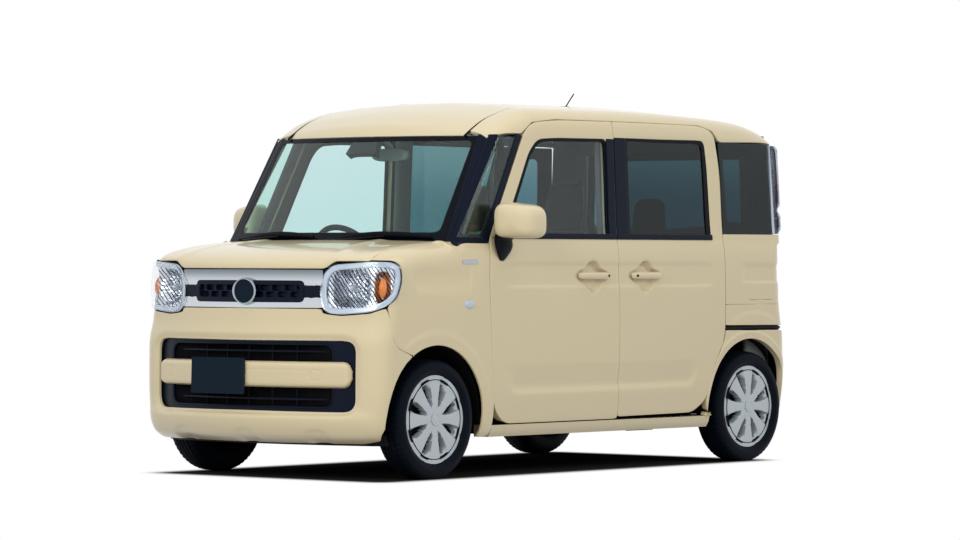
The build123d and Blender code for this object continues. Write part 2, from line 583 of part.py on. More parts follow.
SEAT_X = 300.0
cushion = fillet(block(SEAT_X - 235, SEAT_X + 235, -330, 190, 480, 600).edges().filter_by(Axis.Z), 60)
base = block(SEAT_X - 170, SEAT_X + 170, -250, 150, FLOOR_Z + FLOOR_THICK, 481)
back_face = make_face(Polyline((150, 560), (260, 560), (360, 1150), (290, 1150), close=True))
back = extrude(Plane(origin=(SEAT_X - 230, 0, 0), x_dir=(0, 1, 0), z_dir=(1, 0, 0)) * back_face, 460)
head = fillet(block(SEAT_X - 125, SEAT_X + 125, 300, 370, 1149, 1400).edges().filter_by(Axis.Y), 50)
seat = cushion + base + back + head
keep("front_seats", seat + mirrored(seat))
bench = fillet(block(-560, 560, 560, 950, 460, 590).edges().filter_by(Axis.Z), 50)
bench_base = block(-440, 440, 620, 930, FLOOR_Z + FLOOR_THICK, 461)
rest_face = make_face(Polyline((880, 560), (970, 560), (1060, 1120), (990, 1120), close=True))
rest = extrude(Plane(origin=(-560, 0, 0), x_dir=(0, 1, 0), z_dir=(1, 0, 0)) * rest_face, 1120)
rear_seat = bench + bench_base + rest
for x in (-300, 300):
    rear_seat = rear_seat + fillet(block(x - 120, x + 120, 1000, 1065, 1119, 1340).edges().filter_by(Axis.Y), 45)
keep("rear_seats", rear_seat)
print(len(NODES), "nodes")
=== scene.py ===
import json
import logging
import math
from dataclasses import dataclass
from enum import Enum
from typing import Callable, Iterable, Sequence

import bpy
import numpy as np
from mathutils import Matrix, Vector

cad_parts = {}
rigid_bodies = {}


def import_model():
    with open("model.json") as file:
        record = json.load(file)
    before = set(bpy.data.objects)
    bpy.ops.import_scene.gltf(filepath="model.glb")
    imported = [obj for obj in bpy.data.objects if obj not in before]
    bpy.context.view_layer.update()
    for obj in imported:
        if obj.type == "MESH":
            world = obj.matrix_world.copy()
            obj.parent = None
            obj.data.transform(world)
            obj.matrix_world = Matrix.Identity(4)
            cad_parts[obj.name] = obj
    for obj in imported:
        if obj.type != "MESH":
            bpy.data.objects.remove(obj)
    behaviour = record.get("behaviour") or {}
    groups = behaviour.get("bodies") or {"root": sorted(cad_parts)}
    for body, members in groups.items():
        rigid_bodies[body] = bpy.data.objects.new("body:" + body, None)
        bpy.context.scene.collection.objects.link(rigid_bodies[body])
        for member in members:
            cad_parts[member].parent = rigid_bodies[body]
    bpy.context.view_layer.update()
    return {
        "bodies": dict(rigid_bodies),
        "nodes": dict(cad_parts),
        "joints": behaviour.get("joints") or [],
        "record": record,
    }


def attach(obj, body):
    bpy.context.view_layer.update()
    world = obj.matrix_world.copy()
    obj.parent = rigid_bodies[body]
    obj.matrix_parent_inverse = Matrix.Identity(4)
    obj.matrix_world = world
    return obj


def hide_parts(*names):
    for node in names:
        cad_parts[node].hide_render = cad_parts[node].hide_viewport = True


log = logging.getLogger("kei_wagon")
Array = np.ndarray
Shape = tuple[Array, list]


# ---------------------------------------------------------------- curves and tables
def table(knots: Sequence[float], values: Sequence[float], at: Array) -> Array:
    """Monotone cubic through a table: Hermite pieces whose end slopes are weighted harmonic means.

    Args:
        knots: rising positions.
        values: the value at each position.
        at: where to read the curve; outside the table the end value holds.
    Returns:
        The value at each place asked for.
    """
    x, f = np.asarray(knots, float), np.asarray(values, float)
    h = np.diff(x)
    d = np.diff(f) / h
    same = d[:-1] * d[1:] > 0
    a, b = 2 * h[1:] + h[:-1], h[1:] + 2 * h[:-1]
    safe = np.where(same, d[:-1], 1.0), np.where(same, d[1:], 1.0)
    inner = np.where(same, (a + b) / (a / safe[0] + b / safe[1]), 0.0)
    m = np.concatenate([d[:1], inner, d[-1:]])
    at = np.clip(np.asarray(at, float), x[0], x[-1])
    i = np.clip(np.searchsorted(x, at, side="right") - 1, 0, len(h) - 1)
    t = (at - x[i]) / h[i]
    rise = t * t * (3 - 2 * t)
    return f[i] * (1 - rise) + f[i + 1] * rise + h[i] * t * (1 - t) * (m[i] * (1 - t) - m[i + 1] * t)


def step(edge0: float, edge1: float, at: Array) -> Array:
    """Smooth step: 3t^2 - 2t^3 with t = (at - edge0) / (edge1 - edge0), held to 0..1."""
    t = np.clip((np.asarray(at, float) - edge0) / (edge1 - edge0), 0, 1)
    return t * t * (3 - 2 * t)


def rounded(points: Sequence, radii: float | Sequence[float], closed: bool = True) -> tuple[Array, Array]:
    """A polyline with each corner replaced by a parabola p(t) = (1-t)^2 a + 2t(1-t) corner + t^2 b.

    Args:
        points: the corners in order.
        radii: how far each rounding reaches along its sides, one value or one a corner.
        closed: whether the last corner joins the first.
    Returns:
        The dense line, and the distance along it of each corner's middle.
    """
    p = np.asarray(points, float)
    n = len(p)
    r = np.broadcast_to(np.asarray(radii, float), (n,))
    t = np.linspace(0, 1, 13)[:, None]
    pieces, marks, count = [], [], 0
    for i in range(n):
        if not closed and i in (0, n - 1):
            piece, middle = p[i][None], 0
        else:
            back, ahead = p[i - 1] - p[i], p[(i + 1) % n] - p[i]
            reach = min(r[i], 0.48 * np.linalg.norm(back), 0.48 * np.linalg.norm(ahead))
            a = p[i] + back / np.linalg.norm(back) * reach
            b = p[i] + ahead / np.linalg.norm(ahead) * reach
            piece, middle = (1 - t) ** 2 * a + 2 * t * (1 - t) * p[i] + t ** 2 * b, 6
        marks.append(count + middle)
        pieces.append(piece)
        count += len(piece)
    line = np.concatenate(pieces)
    if closed:
        line = np.concatenate([line, line[:1]])
    run = np.concatenate([[0], np.cumsum(np.linalg.norm(np.diff(line, axis=0), axis=1))])
    return line, run[marks]


def walk(line: Array, at: Array) -> Array:
    """Points at given distances along a polyline, by linear interpolation of its running length."""
    run = np.concatenate([[0], np.cumsum(np.linalg.norm(np.diff(line, axis=0), axis=1))])
    at = np.mod(at, run[-1] + 1e-12) if np.max(at) > run[-1] + 1e-9 else at
    return np.stack([np.interp(at, run, line[:, k]) for k in range(line.shape[1])], axis=1)


def path(points: Sequence, radii: float | Sequence[float], parts: Sequence[int],
         closed: bool = False) -> Array:
    """Points along a rounded outline, evenly spaced between one corner's middle and the next.

    Args:
        points: the corners.
        radii: rounding at each.
        parts: how many steps there are between each pair of neighbouring corners.
        closed: whether the outline joins up (its first point then isn't repeated).
    """
    line, marks = rounded(points, radii, closed)
    total = outline_length(line)
    ends = np.append(marks, marks[0] + total) if closed else marks
    runs = [np.linspace(ends[i], ends[i + 1], n, endpoint=False) for i, n in enumerate(parts)]
    at = np.concatenate(runs if closed else runs + [ends[-1:]])
    if closed:
        at = np.mod(at, total)
    return walk(line, at)


def crowd(count: int, *places: tuple[float, float, float]) -> Array:
    """Fractions from 0 to 1 that lie closer together near some places.

    The density is 1 + sum(gain * exp(-((t - centre) / width)^2)); the fractions split its integral evenly.

    Args:
        count: how many fractions.
        places: (centre, width, gain) of each crowded place.
    """
    t = np.linspace(0, 1, 2001)
    density = 1 + sum((g * np.exp(-((t - c) / w) ** 2) for c, w, g in places), np.zeros_like(t))
    run = np.concatenate([[0], np.cumsum((density[1:] + density[:-1]) / 2)])
    return np.interp(np.linspace(0, run[-1], count), run, t)


def share(line: Array, fractions: Array) -> Array:
    """Points at fractions of a polyline's length."""
    length = outline_length(line)
    return walk(line, fractions * length)


def coons(bottom: Array, top: Array, left: Array, right: Array, u: Array, v: Array) -> Array:
    """A grid between four edges: the two ruled surfaces added, less the bilinear one.

    P(u, v) = (1-v)B(u) + vT(u) + (1-u)L(v) + uR(v) - bilinear corners.
    """
    b, t, l, r = share(bottom, u), share(top, u), share(left, v), share(right, v)
    u, v = u[None, :, None], v[:, None, None]
    flat = (1 - u) * (1 - v) * b[0] + u * (1 - v) * b[-1] + (1 - u) * v * t[0] + u * v * t[-1]
    return (1 - v) * b[None] + v * t[None] + (1 - u) * l[:, None] + u * r[:, None] - flat


def box_distance(a: Array, b: Array, a0: float, a1: float, b0: float, b1: float, radius: float) -> Array:
    """Signed distance to a rounded rectangle: |max(q, 0)| + min(max(q), 0) - r, negative inside."""
    qa = np.abs(a - (a0 + a1) / 2) - (a1 - a0) / 2 + radius
    qb = np.abs(b - (b0 + b1) / 2) - (b1 - b0) / 2 + radius
    return np.hypot(np.maximum(qa, 0), np.maximum(qb, 0)) + np.minimum(np.maximum(qa, qb), 0) - radius


# ---------------------------------------------------------------- the form of the body
@dataclass(frozen=True)
class BodyForm:
    """The car's outer form: plan sections by height, and cross sections of bonnet and roof by station."""

    half_width: float = 0.7375
    half_length: float = 1.6975
    belt: float = 1.090
    nose_arc: float = 2.002
    tail_arc: float = 6.5
    screen_arc: float = 2.25
    lower: tuple = (
        (0.175, 0.047, 0.085, 0.057, 0.110), (0.215, 0.025, 0.029, 0.017, 0.115),
        (0.280, 0.013, 0.009, 0.006, 0.120), (0.430, 0.002, 0.006, 0.004, 0.120),
        (0.620, 0.000, 0.009, 0.008, 0.120), (0.730, 0.000, 0.035, 0.030, 0.120),
        (0.820, 0.0005, 0.045, 0.042, 0.120), (0.970, 0.004, 0.049, 0.045, 0.120),
        (1.040, 0.008, 0.053, 0.047, 0.110), (1.110, 0.0195, 0.057, 0.048, 0.090),
    )
    house: tuple = (
        (1.085, 0.015, 0.580, 0.048, 0.060), (1.110, 0.0195, 0.596, 0.048, 0.060),
        (1.390, 0.034, 0.777, 0.052, 0.060), (1.592, 0.043, 0.908, 0.061, 0.060),
        (1.790, 0.050, 1.037, 0.070, 0.060),
    )
    bonnet_rail: float = 0.610
    bonnet: tuple = (
        (-1.740, 0.900, 0.880, 0.820), (-1.650, 0.985, 0.965, 0.880), (-1.560, 1.042, 1.012, 0.930),
        (-1.440, 1.070, 1.052, 0.975), (-1.250, 1.092, 1.080, 1.015), (-0.900, 1.120, 1.106, 1.040),
    )
    roof_rail: float = 0.600
    roof: tuple = (
        (-1.200, 1.260, 1.170, 1.110), (-0.870, 1.575, 1.475, 1.380), (-0.721, 1.658, 1.593, 1.500),
        (-0.560, 1.722, 1.678, 1.580), (-0.330, 1.764, 1.731, 1.636), (0.300, 1.769, 1.735, 1.640),
        (1.000, 1.753, 1.719, 1.626), (1.300, 1.733, 1.700, 1.606), (1.480, 1.703, 1.665, 1.570),
        (1.700, 1.590, 1.545, 1.440),
    )

    def plan(self, z: Array, house: bool) -> tuple[Array, Array, Array, Array]:
        """Half width, front line, rear line and corner radius of the plan section at a height."""
        rows = np.array(self.house if house else self.lower).T
        side, front, rear, corner = (table(rows[0], rows[k], z) for k in range(1, 5))
        return self.half_width - side, front - self.half_length, self.half_length - rear, corner

    def side_x(self, y: Array, z: Array) -> Array:
        """x = (w - c) + sqrt(c^2 - d^2), where d is how far y lies past the start of a rounded corner."""
        z = np.asarray(z, float)
        high = z > self.belt
        low, up = self.plan(z, False), self.plan(z, True)
        w, front, rear, c = (np.where(high, b, a) for a, b in zip(low, up))
        nose = np.where(high, self.screen_arc, self.nose_arc)
        start = front + nose - np.sqrt((nose - c) ** 2 - (w - c) ** 2)
        end = rear - self.tail_arc + np.sqrt((self.tail_arc - c) ** 2 - (w - c) ** 2)
        past = np.clip(start - y, 0, c) + np.clip(y - end, 0, c)
        return (w - c) + np.sqrt(np.maximum(c ** 2 - past ** 2, 0))

    def nose_y(self, x: Array, z: Array, house: bool = False) -> Array:
        """y = f + R - sqrt(R^2 - x^2) on the bowed nose, and a quarter round past it."""
        w, front, _, c = self.plan(z, house)
        big = self.screen_arc if house else self.nose_arc
        start = front + big - np.sqrt((big - c) ** 2 - (w - c) ** 2)
        a = np.abs(x)
        arc = front + big - np.sqrt(big ** 2 - a ** 2)
        bend = start - np.sqrt(np.maximum(c ** 2 - np.clip(a - (w - c), 0, c) ** 2, 0))
        return np.where(a < (w - c) * big / (big - c), arc, bend)

    def tail_y(self, x: Array, z: Array) -> Array:
        """y = r - R + sqrt(R^2 - x^2) on the bowed tail, and a quarter round past it."""
        z = np.asarray(z, float)
        low, up = self.plan(z, False), self.plan(z, True)
        w, _, rear, c = (np.where(z > self.belt, b, a) for a, b in zip(low, up))
        big = self.tail_arc
        start = rear - big + np.sqrt((big - c) ** 2 - (w - c) ** 2)
        a = np.abs(x)
        arc = rear - big + np.sqrt(big ** 2 - a ** 2)
        bend = start + np.sqrt(np.maximum(c ** 2 - np.clip(a - (w - c), 0, c) ** 2, 0))
        return np.where(a < (w - c) * big / (big - c), arc, bend)

    def _turns(self, z: Array, house: bool) -> tuple:
        """The nose loop at a height: widths, start of the side, its angle and its two arc lengths."""
        w, front, _, c = self.plan(z, house)
        big = self.screen_arc if house else self.nose_arc
        start = front + big - np.sqrt((big - c) ** 2 - (w - c) ** 2)
        alpha = np.arcsin((w - c) / (big - c))
        return w, front, c, big, start, alpha, big * alpha, c * (math.pi / 2 - alpha)

    def wrap(self, s: Array, z: Array, house: bool = False) -> Array:
        """A point on the loop round the nose, s metres from the middle: arc, corner arc, straight side."""
        w, front, c, big, start, alpha, flat, turn = self._turns(z, house)
        a = np.abs(s)
        angle = np.where(a < flat, a / big, np.minimum(alpha + (a - flat) / c, math.pi / 2))
        x = np.where(a < flat, big * np.sin(angle), (w - c) + c * np.sin(angle))
        y = np.where(a < flat, front + big - big * np.cos(angle),
                     start - c * np.cos(angle) + np.maximum(a - flat - turn, 0))
        return np.stack([np.sign(s) * x, y, np.broadcast_to(z, x.shape)], axis=-1)

    def wrap_from_y(self, y: Array, z: Array, house: bool = False) -> Array:
        """The loop distance of a point on the side or the corner, from its y."""
        _, _, c, _, start, alpha, flat, turn = self._turns(np.asarray(z, float), house)
        angle = np.arccos(np.clip((start - y) / c, 0, 1))
        return np.where(y > start, flat + turn + (y - start), flat + c * (angle - alpha))

    def wrap_from_x(self, x: Array, z: Array, house: bool = False) -> Array:
        """The loop distance of a point on the nose arc or the corner, from its x."""
        w, _, c, big, _, alpha, flat, _ = self._turns(np.asarray(z, float), house)
        bend = flat + c * (np.arcsin(np.clip((x - (w - c)) / c, -1, 1)) - alpha)
        return np.where(x < (w - c) * big / (big - c), big * np.arcsin(np.clip(x / big, -1, 1)), bend)

    def crown(self, x: Array, y: Array, rows: tuple, rail_x: float) -> tuple[Array, Array, Array]:
        """Height of the crown z = m - h (x / rail)^2, the rail's slope, and the side height there."""
        t = np.array(rows).T
        middle, rail, side = (table(t[0], t[k], y) for k in (1, 2, 3))
        drop = middle - rail
        return middle - drop * (x / rail_x) ** 2, 2 * drop / rail_x, side

    def girth(self, y: Array, h: Array, rows: tuple, rail_x: float, reach: float, start: float) -> Array:
        """A point on the side at height h, and past it over the shoulder on a parabola to the rail.

        With q = (h - z0) / reach, the point is (1-q)^2 side + 2q(1-q) corner + q^2 rail; past the rail it
        runs on along the crown.
        """
        rail, slope, side = self.crown(rail_x, y, rows, rail_x)
        z0 = side + start
        base = self.side_x(y, np.minimum(h, z0))
        foot = self.side_x(y, z0)
        q = np.clip((h - z0) / reach, 0, 1)
        x = (1 - q) ** 2 * foot + 2 * q * (1 - q) * foot + q ** 2 * rail_x
        z = (1 - q) ** 2 * z0 + 2 * q * (1 - q) * (rail - slope * (foot - rail_x)) + q ** 2 * rail
        over = np.maximum(h - z0 - reach, 0)
        x = np.where(q > 0, x - over, base)
        z = np.where(over > 0, self.crown(x, y, rows, rail_x)[0], np.where(q > 0, z, h))
        return np.stack([x, np.broadcast_to(y, x.shape), z], axis=-1)

    def fender(self, y: Array, h: Array) -> Array:
        """The side of the nose, over the shoulder to the bonnet."""
        return self.girth(y, h, self.bonnet, self.bonnet_rail, 0.190, -0.030)

    def flank(self, y: Array, h: Array) -> Array:
        """The side of the doors and quarters, over the shoulder to the roof."""
        return self.girth(y, h, self.roof, self.roof_rail, 0.175, -0.035)

    def bonnet_z(self, x: Array, y: Array) -> Array:
        """Height of the bonnet: its crown, carried out to its edge."""
        return self.crown(x, y, self.bonnet, self.bonnet_rail)[0]

    def roof_top(self, x: Array, y: Array) -> Array:
        """Height of the roof, rounded into the windscreen: a smooth minimum of crown and screen."""
        top = self.crown(x, y, self.roof, self.roof_rail)[0]
        rows = np.array(self.house).T
        sag = self.screen_arc - np.sqrt(self.screen_arc ** 2 - x ** 2)
        screen = np.interp(y + self.half_length - sag, rows[2], rows[0]) + np.maximum(
            y + self.half_length - sag - rows[2][-1], 0) * 1.54
        blend = 0.030
        h = np.clip(0.5 + 0.5 * (screen - top) / blend, 0, 1)
        return screen * (1 - h) + top * h - blend * h * (1 - h)


FORM = BodyForm()


# ---------------------------------------------------------------- meshes
HEART = np.array([0.0, 0.0, 0.9])


def facing(p: Array, depth: Array | None) -> tuple[Array, Array | None]:
    """The grid with its columns turned round where its normals point at the middle of the car."""
    if np.sum(grid_normals(p) * (p - HEART)) < 0:
        return p[:, ::-1], None if depth is None else depth[:, ::-1]
    return p, depth


def grid_faces(rows: int, cols: int, close_rows: bool = False, close_cols: bool = False) -> Array:
    """Quads of a grid of points, with either way joined up if asked."""
    i = np.arange(rows if close_rows else rows - 1)[:, None]
    j = np.arange(cols if close_cols else cols - 1)[None, :]
    i2, j2 = (i + 1) % rows, (j + 1) % cols
    a = i * cols + j
    return np.stack([a, i * cols + j2, i2 * cols + j2, i2 * cols + j], axis=-1).reshape(-1, 4)


def unit(v: Array) -> Array:
    """Vectors of length one."""
    return v / np.maximum(np.linalg.norm(v, axis=-1, keepdims=True), 1e-12)


def grid_normals(p: Array) -> Array:
    """Normals of a grid of points: dP/du x dP/dv by central differences."""
    return unit(np.cross(np.gradient(p, axis=1), np.gradient(p, axis=0)))


# the inner skins nobody sees close up keep one grid line in three
INNER_STEP = 3


def shell(p: Array, thick: float = 0.02, lip: float = 0.0022,
          depth: Array | None = None) -> tuple[Array, list, Array]:
    """A closed panel from a grid: outer skin, a rounded lip on all four edges, and an inner skin.

    The lip is edge + out * r sin(a) - n * r (1 - cos(a)) for a quarter turn, then down to the inner
    skin, which keeps one line in INNER_STEP of the outer grid. The last strip between is polygons.

    Args:
        p: outer points, rows by columns, with dP/du x dP/dv pointing outwards.
        thick: depth of the panel.
        lip: radius of the rolled edge.
        depth: how far each outer point is pressed in, along the normal.
    Returns:
        Vertices, faces, and a material number for each face (0 outside and lip, 1 inside).
    """
    p, depth = facing(p, depth)
    n = grid_normals(p)
    if depth is not None:
        p = p - n * depth[..., None]
        n = grid_normals(p)
    rows, cols = p.shape[:2]
    index = np.arange(rows * cols).reshape(rows, cols)
    loop = np.concatenate([index[0], index[1:, -1], index[-1, -2::-1], index[-2:0:-1, 0]])
    flat, flat_n = p.reshape(-1, 3), n.reshape(-1, 3)
    edge, edge_n = flat[loop], flat_n[loop]
    out = unit(np.cross(unit(np.roll(edge, -1, 0) - np.roll(edge, 1, 0)), edge_n))
    rings = [edge + out * lip * math.sin(a) - edge_n * lip * (1 - math.cos(a)) for a in (0.52, 1.05, 1.5708)]
    rings.append(rings[-1] - edge_n * (thick - lip))
    kept_rows, kept_cols = (np.unique(np.append(np.arange(0, k, INNER_STEP), k - 1)) for k in (rows, cols))
    kept = index[np.ix_(kept_rows, kept_cols)].ravel()
    count, around = rows * cols, len(loop)
    base = count + 4 * around
    number = np.full(count, -1)
    number[kept] = base + np.arange(len(kept))
    verts = np.concatenate([flat, *rings, (flat - flat_n * thick)[kept]])
    outer_f = grid_faces(rows, cols)
    side = [loop] + [count + k * around + np.arange(around) for k in range(4)]
    walls = [np.stack([a, b, np.roll(b, -1), np.roll(a, -1)], axis=1) for a, b in zip(side[:-1], side[1:])]
    inner_f = (grid_faces(len(kept_rows), len(kept_cols)) + base)[:, ::-1]
    stops = np.nonzero(number[loop] >= 0)[0]
    strip = []
    for a, b in zip(stops, np.append(stops[1:], around)):
        ring = [int(side[-1][k % around]) for k in range(b, a, -1)]
        strip.append((int(side[-1][a]), int(number[loop[a]]), int(number[loop[b % around]]), *ring))
    faces = [*map(tuple, np.concatenate([outer_f, *walls])), *strip, *map(tuple, inner_f)]
    marks = np.concatenate([np.zeros(len(outer_f) + 4 * around, int),
                            np.ones(len(strip) + len(inner_f), int)])
    return verts, faces, marks


def hoop(p: Array, thick: float = 0.02, lip: float = 0.0022, closed: bool = True,
         depth: Array | None = None) -> tuple[Array, list, Array]:
    """A closed frame from a grid round an opening: columns go round, rows go from the opening outwards.

    Both rims get a rounded lip; open ends are capped.

    Args:
        p: outer points, rows by columns, with dP/du x dP/dv pointing outwards.
        thick: depth of the frame.
        lip: radius of the rolled rims.
        closed: whether the columns join up.
        depth: how far each outer point is pressed in, along the normal.
    """
    p, depth = facing(p, depth)
    wrap = np.concatenate([p[:, -1:], p, p[:, :1]], axis=1) if closed else p
    n = grid_normals(wrap)
    n = n[:, 1:-1] if closed else n
    if depth is not None:
        p = p - n * depth[..., None]
    first, last = unit(p[0] - p[1]), unit(p[-1] - p[-2])
    turn = (0.52, 1.05, 1.5708)
    roll0 = [p[0] + first * lip * math.sin(a) - n[0] * lip * (1 - math.cos(a)) for a in turn]
    roll1 = [p[-1] + last * lip * math.sin(a) - n[-1] * lip * (1 - math.cos(a)) for a in turn]
    kept = np.unique(np.append(np.arange(0, len(p), INNER_STEP), len(p) - 1))
    inner = (p - n * thick)[kept]
    down0, down1 = roll0[-1] - n[0] * (thick - lip), roll1[-1] - n[-1] * (thick - lip)
    stack = np.stack([*roll0[::-1], *p, *roll1, down1, *inner[::-1], down0])
    rows, cols = stack.shape[:2]
    faces = list(map(tuple, grid_faces(rows, cols, True, closed)))
    lines = np.repeat(np.arange(rows), cols if closed else cols - 1)
    marks = np.where((lines < len(p) + 6) | (lines == rows - 1), 0, 1)
    if not closed:
        ends = np.arange(rows) * cols
        faces += [tuple(ends), tuple((ends + cols - 1)[::-1])]
        marks = np.concatenate([marks, [1, 1]])
    return stack.reshape(-1, 3), faces, marks


def tube(centres: Array, radius: float | Array, sides: int = 12, flat: float = 1.0) -> Shape:
    """A closed round bar along points: c + r (cos(a) n + flat sin(a) b), capped at both ends.

    Args:
        centres: points along the middle line.
        radius: one radius, or one at each point.
        sides: points round the section.
        flat: height over width of the section.
    """
    c = np.asarray(centres, float)
    along = unit(np.gradient(c, axis=0))
    up = np.where(np.abs(along[:, 2:3]) > 0.9, np.array([[0, 1.0, 0]]), np.array([[0, 0, 1.0]]))
    across = unit(np.cross(along, up))
    top = np.cross(across, along)
    angle = full_turn(sides)[None, :, None]
    r = np.broadcast_to(np.asarray(radius, float), (len(c),))[:, None, None]
    p = c[:, None] + r * (np.cos(angle) * across[:, None] - flat * np.sin(angle) * top[:, None])
    faces = list(map(tuple, grid_faces(len(c), sides, False, True)))
    faces = [f[::-1] for f in faces]
    faces += [tuple(range(sides)), tuple(range((len(c) - 1) * sides, len(c) * sides))[::-1]]
    return p.reshape(-1, 3), faces


def lathe(profile: Sequence, centre: Sequence[float], side: float, sides: int = 72,
          closed: bool = True) -> Shape:
    """A profile of (radius, offset) turned about an X axis: (c + side * offset, r cos(a), r sin(a)).

    Args:
        profile: points from the outside round to the inside; a closed profile joins up.
        centre: a point on the axis.
        side: +1 on the left, -1 on the right.
        sides: points round.
        closed: whether the profile joins up.
    """
    q = np.asarray(profile, float)
    angle = full_turn(sides)[:, None]
    x = centre[0] + side * np.broadcast_to(q[:, 1], (sides, len(q)))
    p = np.stack([x, centre[1] + q[:, 0] * np.cos(angle), centre[2] + q[:, 0] * np.sin(angle)], axis=-1)
    faces = list(map(tuple, grid_faces(sides, len(q), True, closed)))
    return p.reshape(-1, 3), faces


def joined(*shapes: tuple) -> tuple:
    """Several meshes as one, with their material numbers if they have them."""
    verts, faces, marks, base = [], [], [], 0
    for s in shapes:
        verts.append(np.asarray(s[0]))
        faces += [tuple(int(k) + base for k in f) for f in s[1]]
        marks.append(s[2] if len(s) > 2 else np.zeros(len(s[1]), int))
        base += len(s[0])
    return np.concatenate(verts), faces, np.concatenate(marks)


def flipped(shape: tuple) -> tuple:
    """The same mesh on the other side of the car, its faces turned back outwards."""
    verts = np.asarray(shape[0]) * np.array([-1.0, 1.0, 1.0])
    return (verts, [tuple(f)[::-1] for f in shape[1]], *shape[2:])


def outward(shape: tuple) -> tuple:
    """A closed mesh with its faces turned so that its volume, sum(a . b x c) / 6, is positive."""
    verts, faces = np.asarray(shape[0]), shape[1]
    tris = np.array([(f[0], f[k], f[k + 1]) for f in faces for k in range(1, len(f) - 1)])
    a, b, c = verts[tris[:, 0]], verts[tris[:, 1]], verts[tris[:, 2]]
    if np.einsum("ij,ij->", a, np.cross(b, c)) < 0:
        return (verts, [tuple(f)[::-1] for f in faces], *shape[2:])
    return shape


def capped(grid: Array) -> tuple:
    """A closed form from a grid whose columns go round: quads along it and a polygon at either end."""
    rows, cols = grid.shape[:2]
    ends = [tuple(range(cols))[::-1], tuple(range((rows - 1) * cols, rows * cols))]
    return outward((grid.reshape(-1, 3), [*map(tuple, grid_faces(rows, cols, False, True)), *ends]))


def signed_power(t: Array, power: float) -> Array:
    """|t| to a power with the sign of t: the squared-off cosine and sine of rounded boxes."""
    return np.sign(t) * np.abs(t) ** power


def full_turn(count: int) -> Array:
    """Angles that go once round in even steps, without repeating the first."""
    return np.linspace(0, 2 * math.pi, count, endpoint=False)


def outline_length(line: Array) -> float:
    """The length of a polyline."""
    return float(np.linalg.norm(np.diff(line, axis=0), axis=1).sum())


class Slot(Enum):
    """The record's slots, one for each finish that a reader may change."""

    BLACK_PLASTIC = "black_plastic"
    BODY_PAINT = "body_paint"
    CHROME = "chrome"
    DASH_PLASTIC = "dash_plastic"
    GLASS = "glass"
    LAMP_CLEAR = "lamp_clear"
    LAMP_RED = "lamp_red"
    SEAT_FABRIC = "seat_fabric"
    TYRE = "tyre"
    UNDERBODY = "underbody"
    WHEEL_SILVER = "wheel_silver"


@dataclass
class Maker:
    """Puts finished meshes into the scene, ties each to its body and hides the CAD nodes that it stands for.
    """

    made: int = 0

    def put(self, name: str, shape: tuple, finishes: Sequence, body: str, slot: Slot,
            replaces: Iterable[str] = (), sharp: float = 0.70) -> bpy.types.Object:
        """One piece.

        Args:
            name: the piece's name.
            shape: vertices, faces and, where it has more than one finish, a number for each face.
            finishes: materials in the order of those numbers.
            body: the body it moves with.
            slot: the record's slot for its finish; not used.
            replaces: CAD nodes that it stands for.
            sharp: angle past which an edge is drawn sharp, in radians.
        """
        mesh = bpy.data.meshes.new(name)
        mesh.from_pydata(np.asarray(shape[0]).tolist(), [], [tuple(int(i) for i in f) for f in shape[1]])
        for finish in finishes:
            mesh.materials.append(finish)
        if len(shape) > 2 and len(finishes) > 1:
            mesh.polygons.foreach_set("material_index", np.asarray(shape[2], dtype=np.int32))
        mesh.polygons.foreach_set("use_smooth", np.ones(len(mesh.polygons), dtype=bool))
        mesh.set_sharp_from_angle(angle=sharp)
        mesh.update()
        piece = bpy.data.objects.new(name, mesh)
        bpy.context.scene.collection.objects.link(piece)
        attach(piece, body)
        if replaces:
            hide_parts(*replaces)
        self.made += 1
        log.info("made %s, %d faces", name, len(mesh.polygons))
        return piece

    def pair(self, name: str, shape: tuple, finishes: Sequence, bodies: tuple[str, str], slot: Slot,
             replaces: tuple[Iterable[str], Iterable[str]] = ((), ()), sharp: float = 0.70) -> list:
        """The left-hand piece and its mirror image."""
        return [self.put(name + "_left", shape, finishes, bodies[0], slot, replaces[0], sharp),
                self.put(name + "_right", flipped(shape), finishes, bodies[1], slot, replaces[1], sharp)]


# ---------------------------------------------------------------- finishes
Socket = bpy.types.NodeSocket


def new_group(name: str, inputs: Sequence[tuple[str, str, float | tuple]],
              outputs: Sequence[tuple[str, str]]) -> tuple:
    """An empty shader group with named sockets.

    Args:
        name: the group's name.
        inputs: (name, socket type, default) of each input.
        outputs: (name, socket type) of each output.
    Returns:
        The tree, its input node and its output node.
    """
    tree = bpy.data.node_groups.new(name, "ShaderNodeTree")
    for label, kind, value in inputs:
        tree.interface.new_socket(label, in_out="INPUT", socket_type=kind).default_value = value
    for label, kind in outputs:
        tree.interface.new_socket(label, in_out="OUTPUT", socket_type=kind)
    return tree, tree.nodes.new("NodeGroupInput"), tree.nodes.new("NodeGroupOutput")


def node(tree: bpy.types.NodeTree, kind: str, sockets: dict | None = None,
         **fields: object) -> bpy.types.Node:
    """A node with its fields set, and each named or numbered socket given a value or a link."""
    made = tree.nodes.new(kind)
    for key, value in fields.items():
        setattr(made, key, value)
    for key, value in (sockets or {}).items():
        if isinstance(value, bpy.types.NodeSocket):
            tree.links.new(value, made.inputs[key])
        else:
            made.inputs[key].default_value = value
    return made


def math_node(tree: bpy.types.NodeTree, operation: str, a: object, b: object = 0.0,
              clamp: bool = False) -> Socket:
    """The result of one sum on two values or sockets."""
    return node(tree, "ShaderNodeMath", {0: a, 1: b}, operation=operation, use_clamp=clamp).outputs[0]


def mix_color(tree: bpy.types.NodeTree, factor: object, a: object, b: object) -> Socket:
    """a + (b - a) * factor, on colours."""
    return node(tree, "ShaderNodeMix", {0: factor, 6: a, 7: b}, data_type="RGBA").outputs[2]


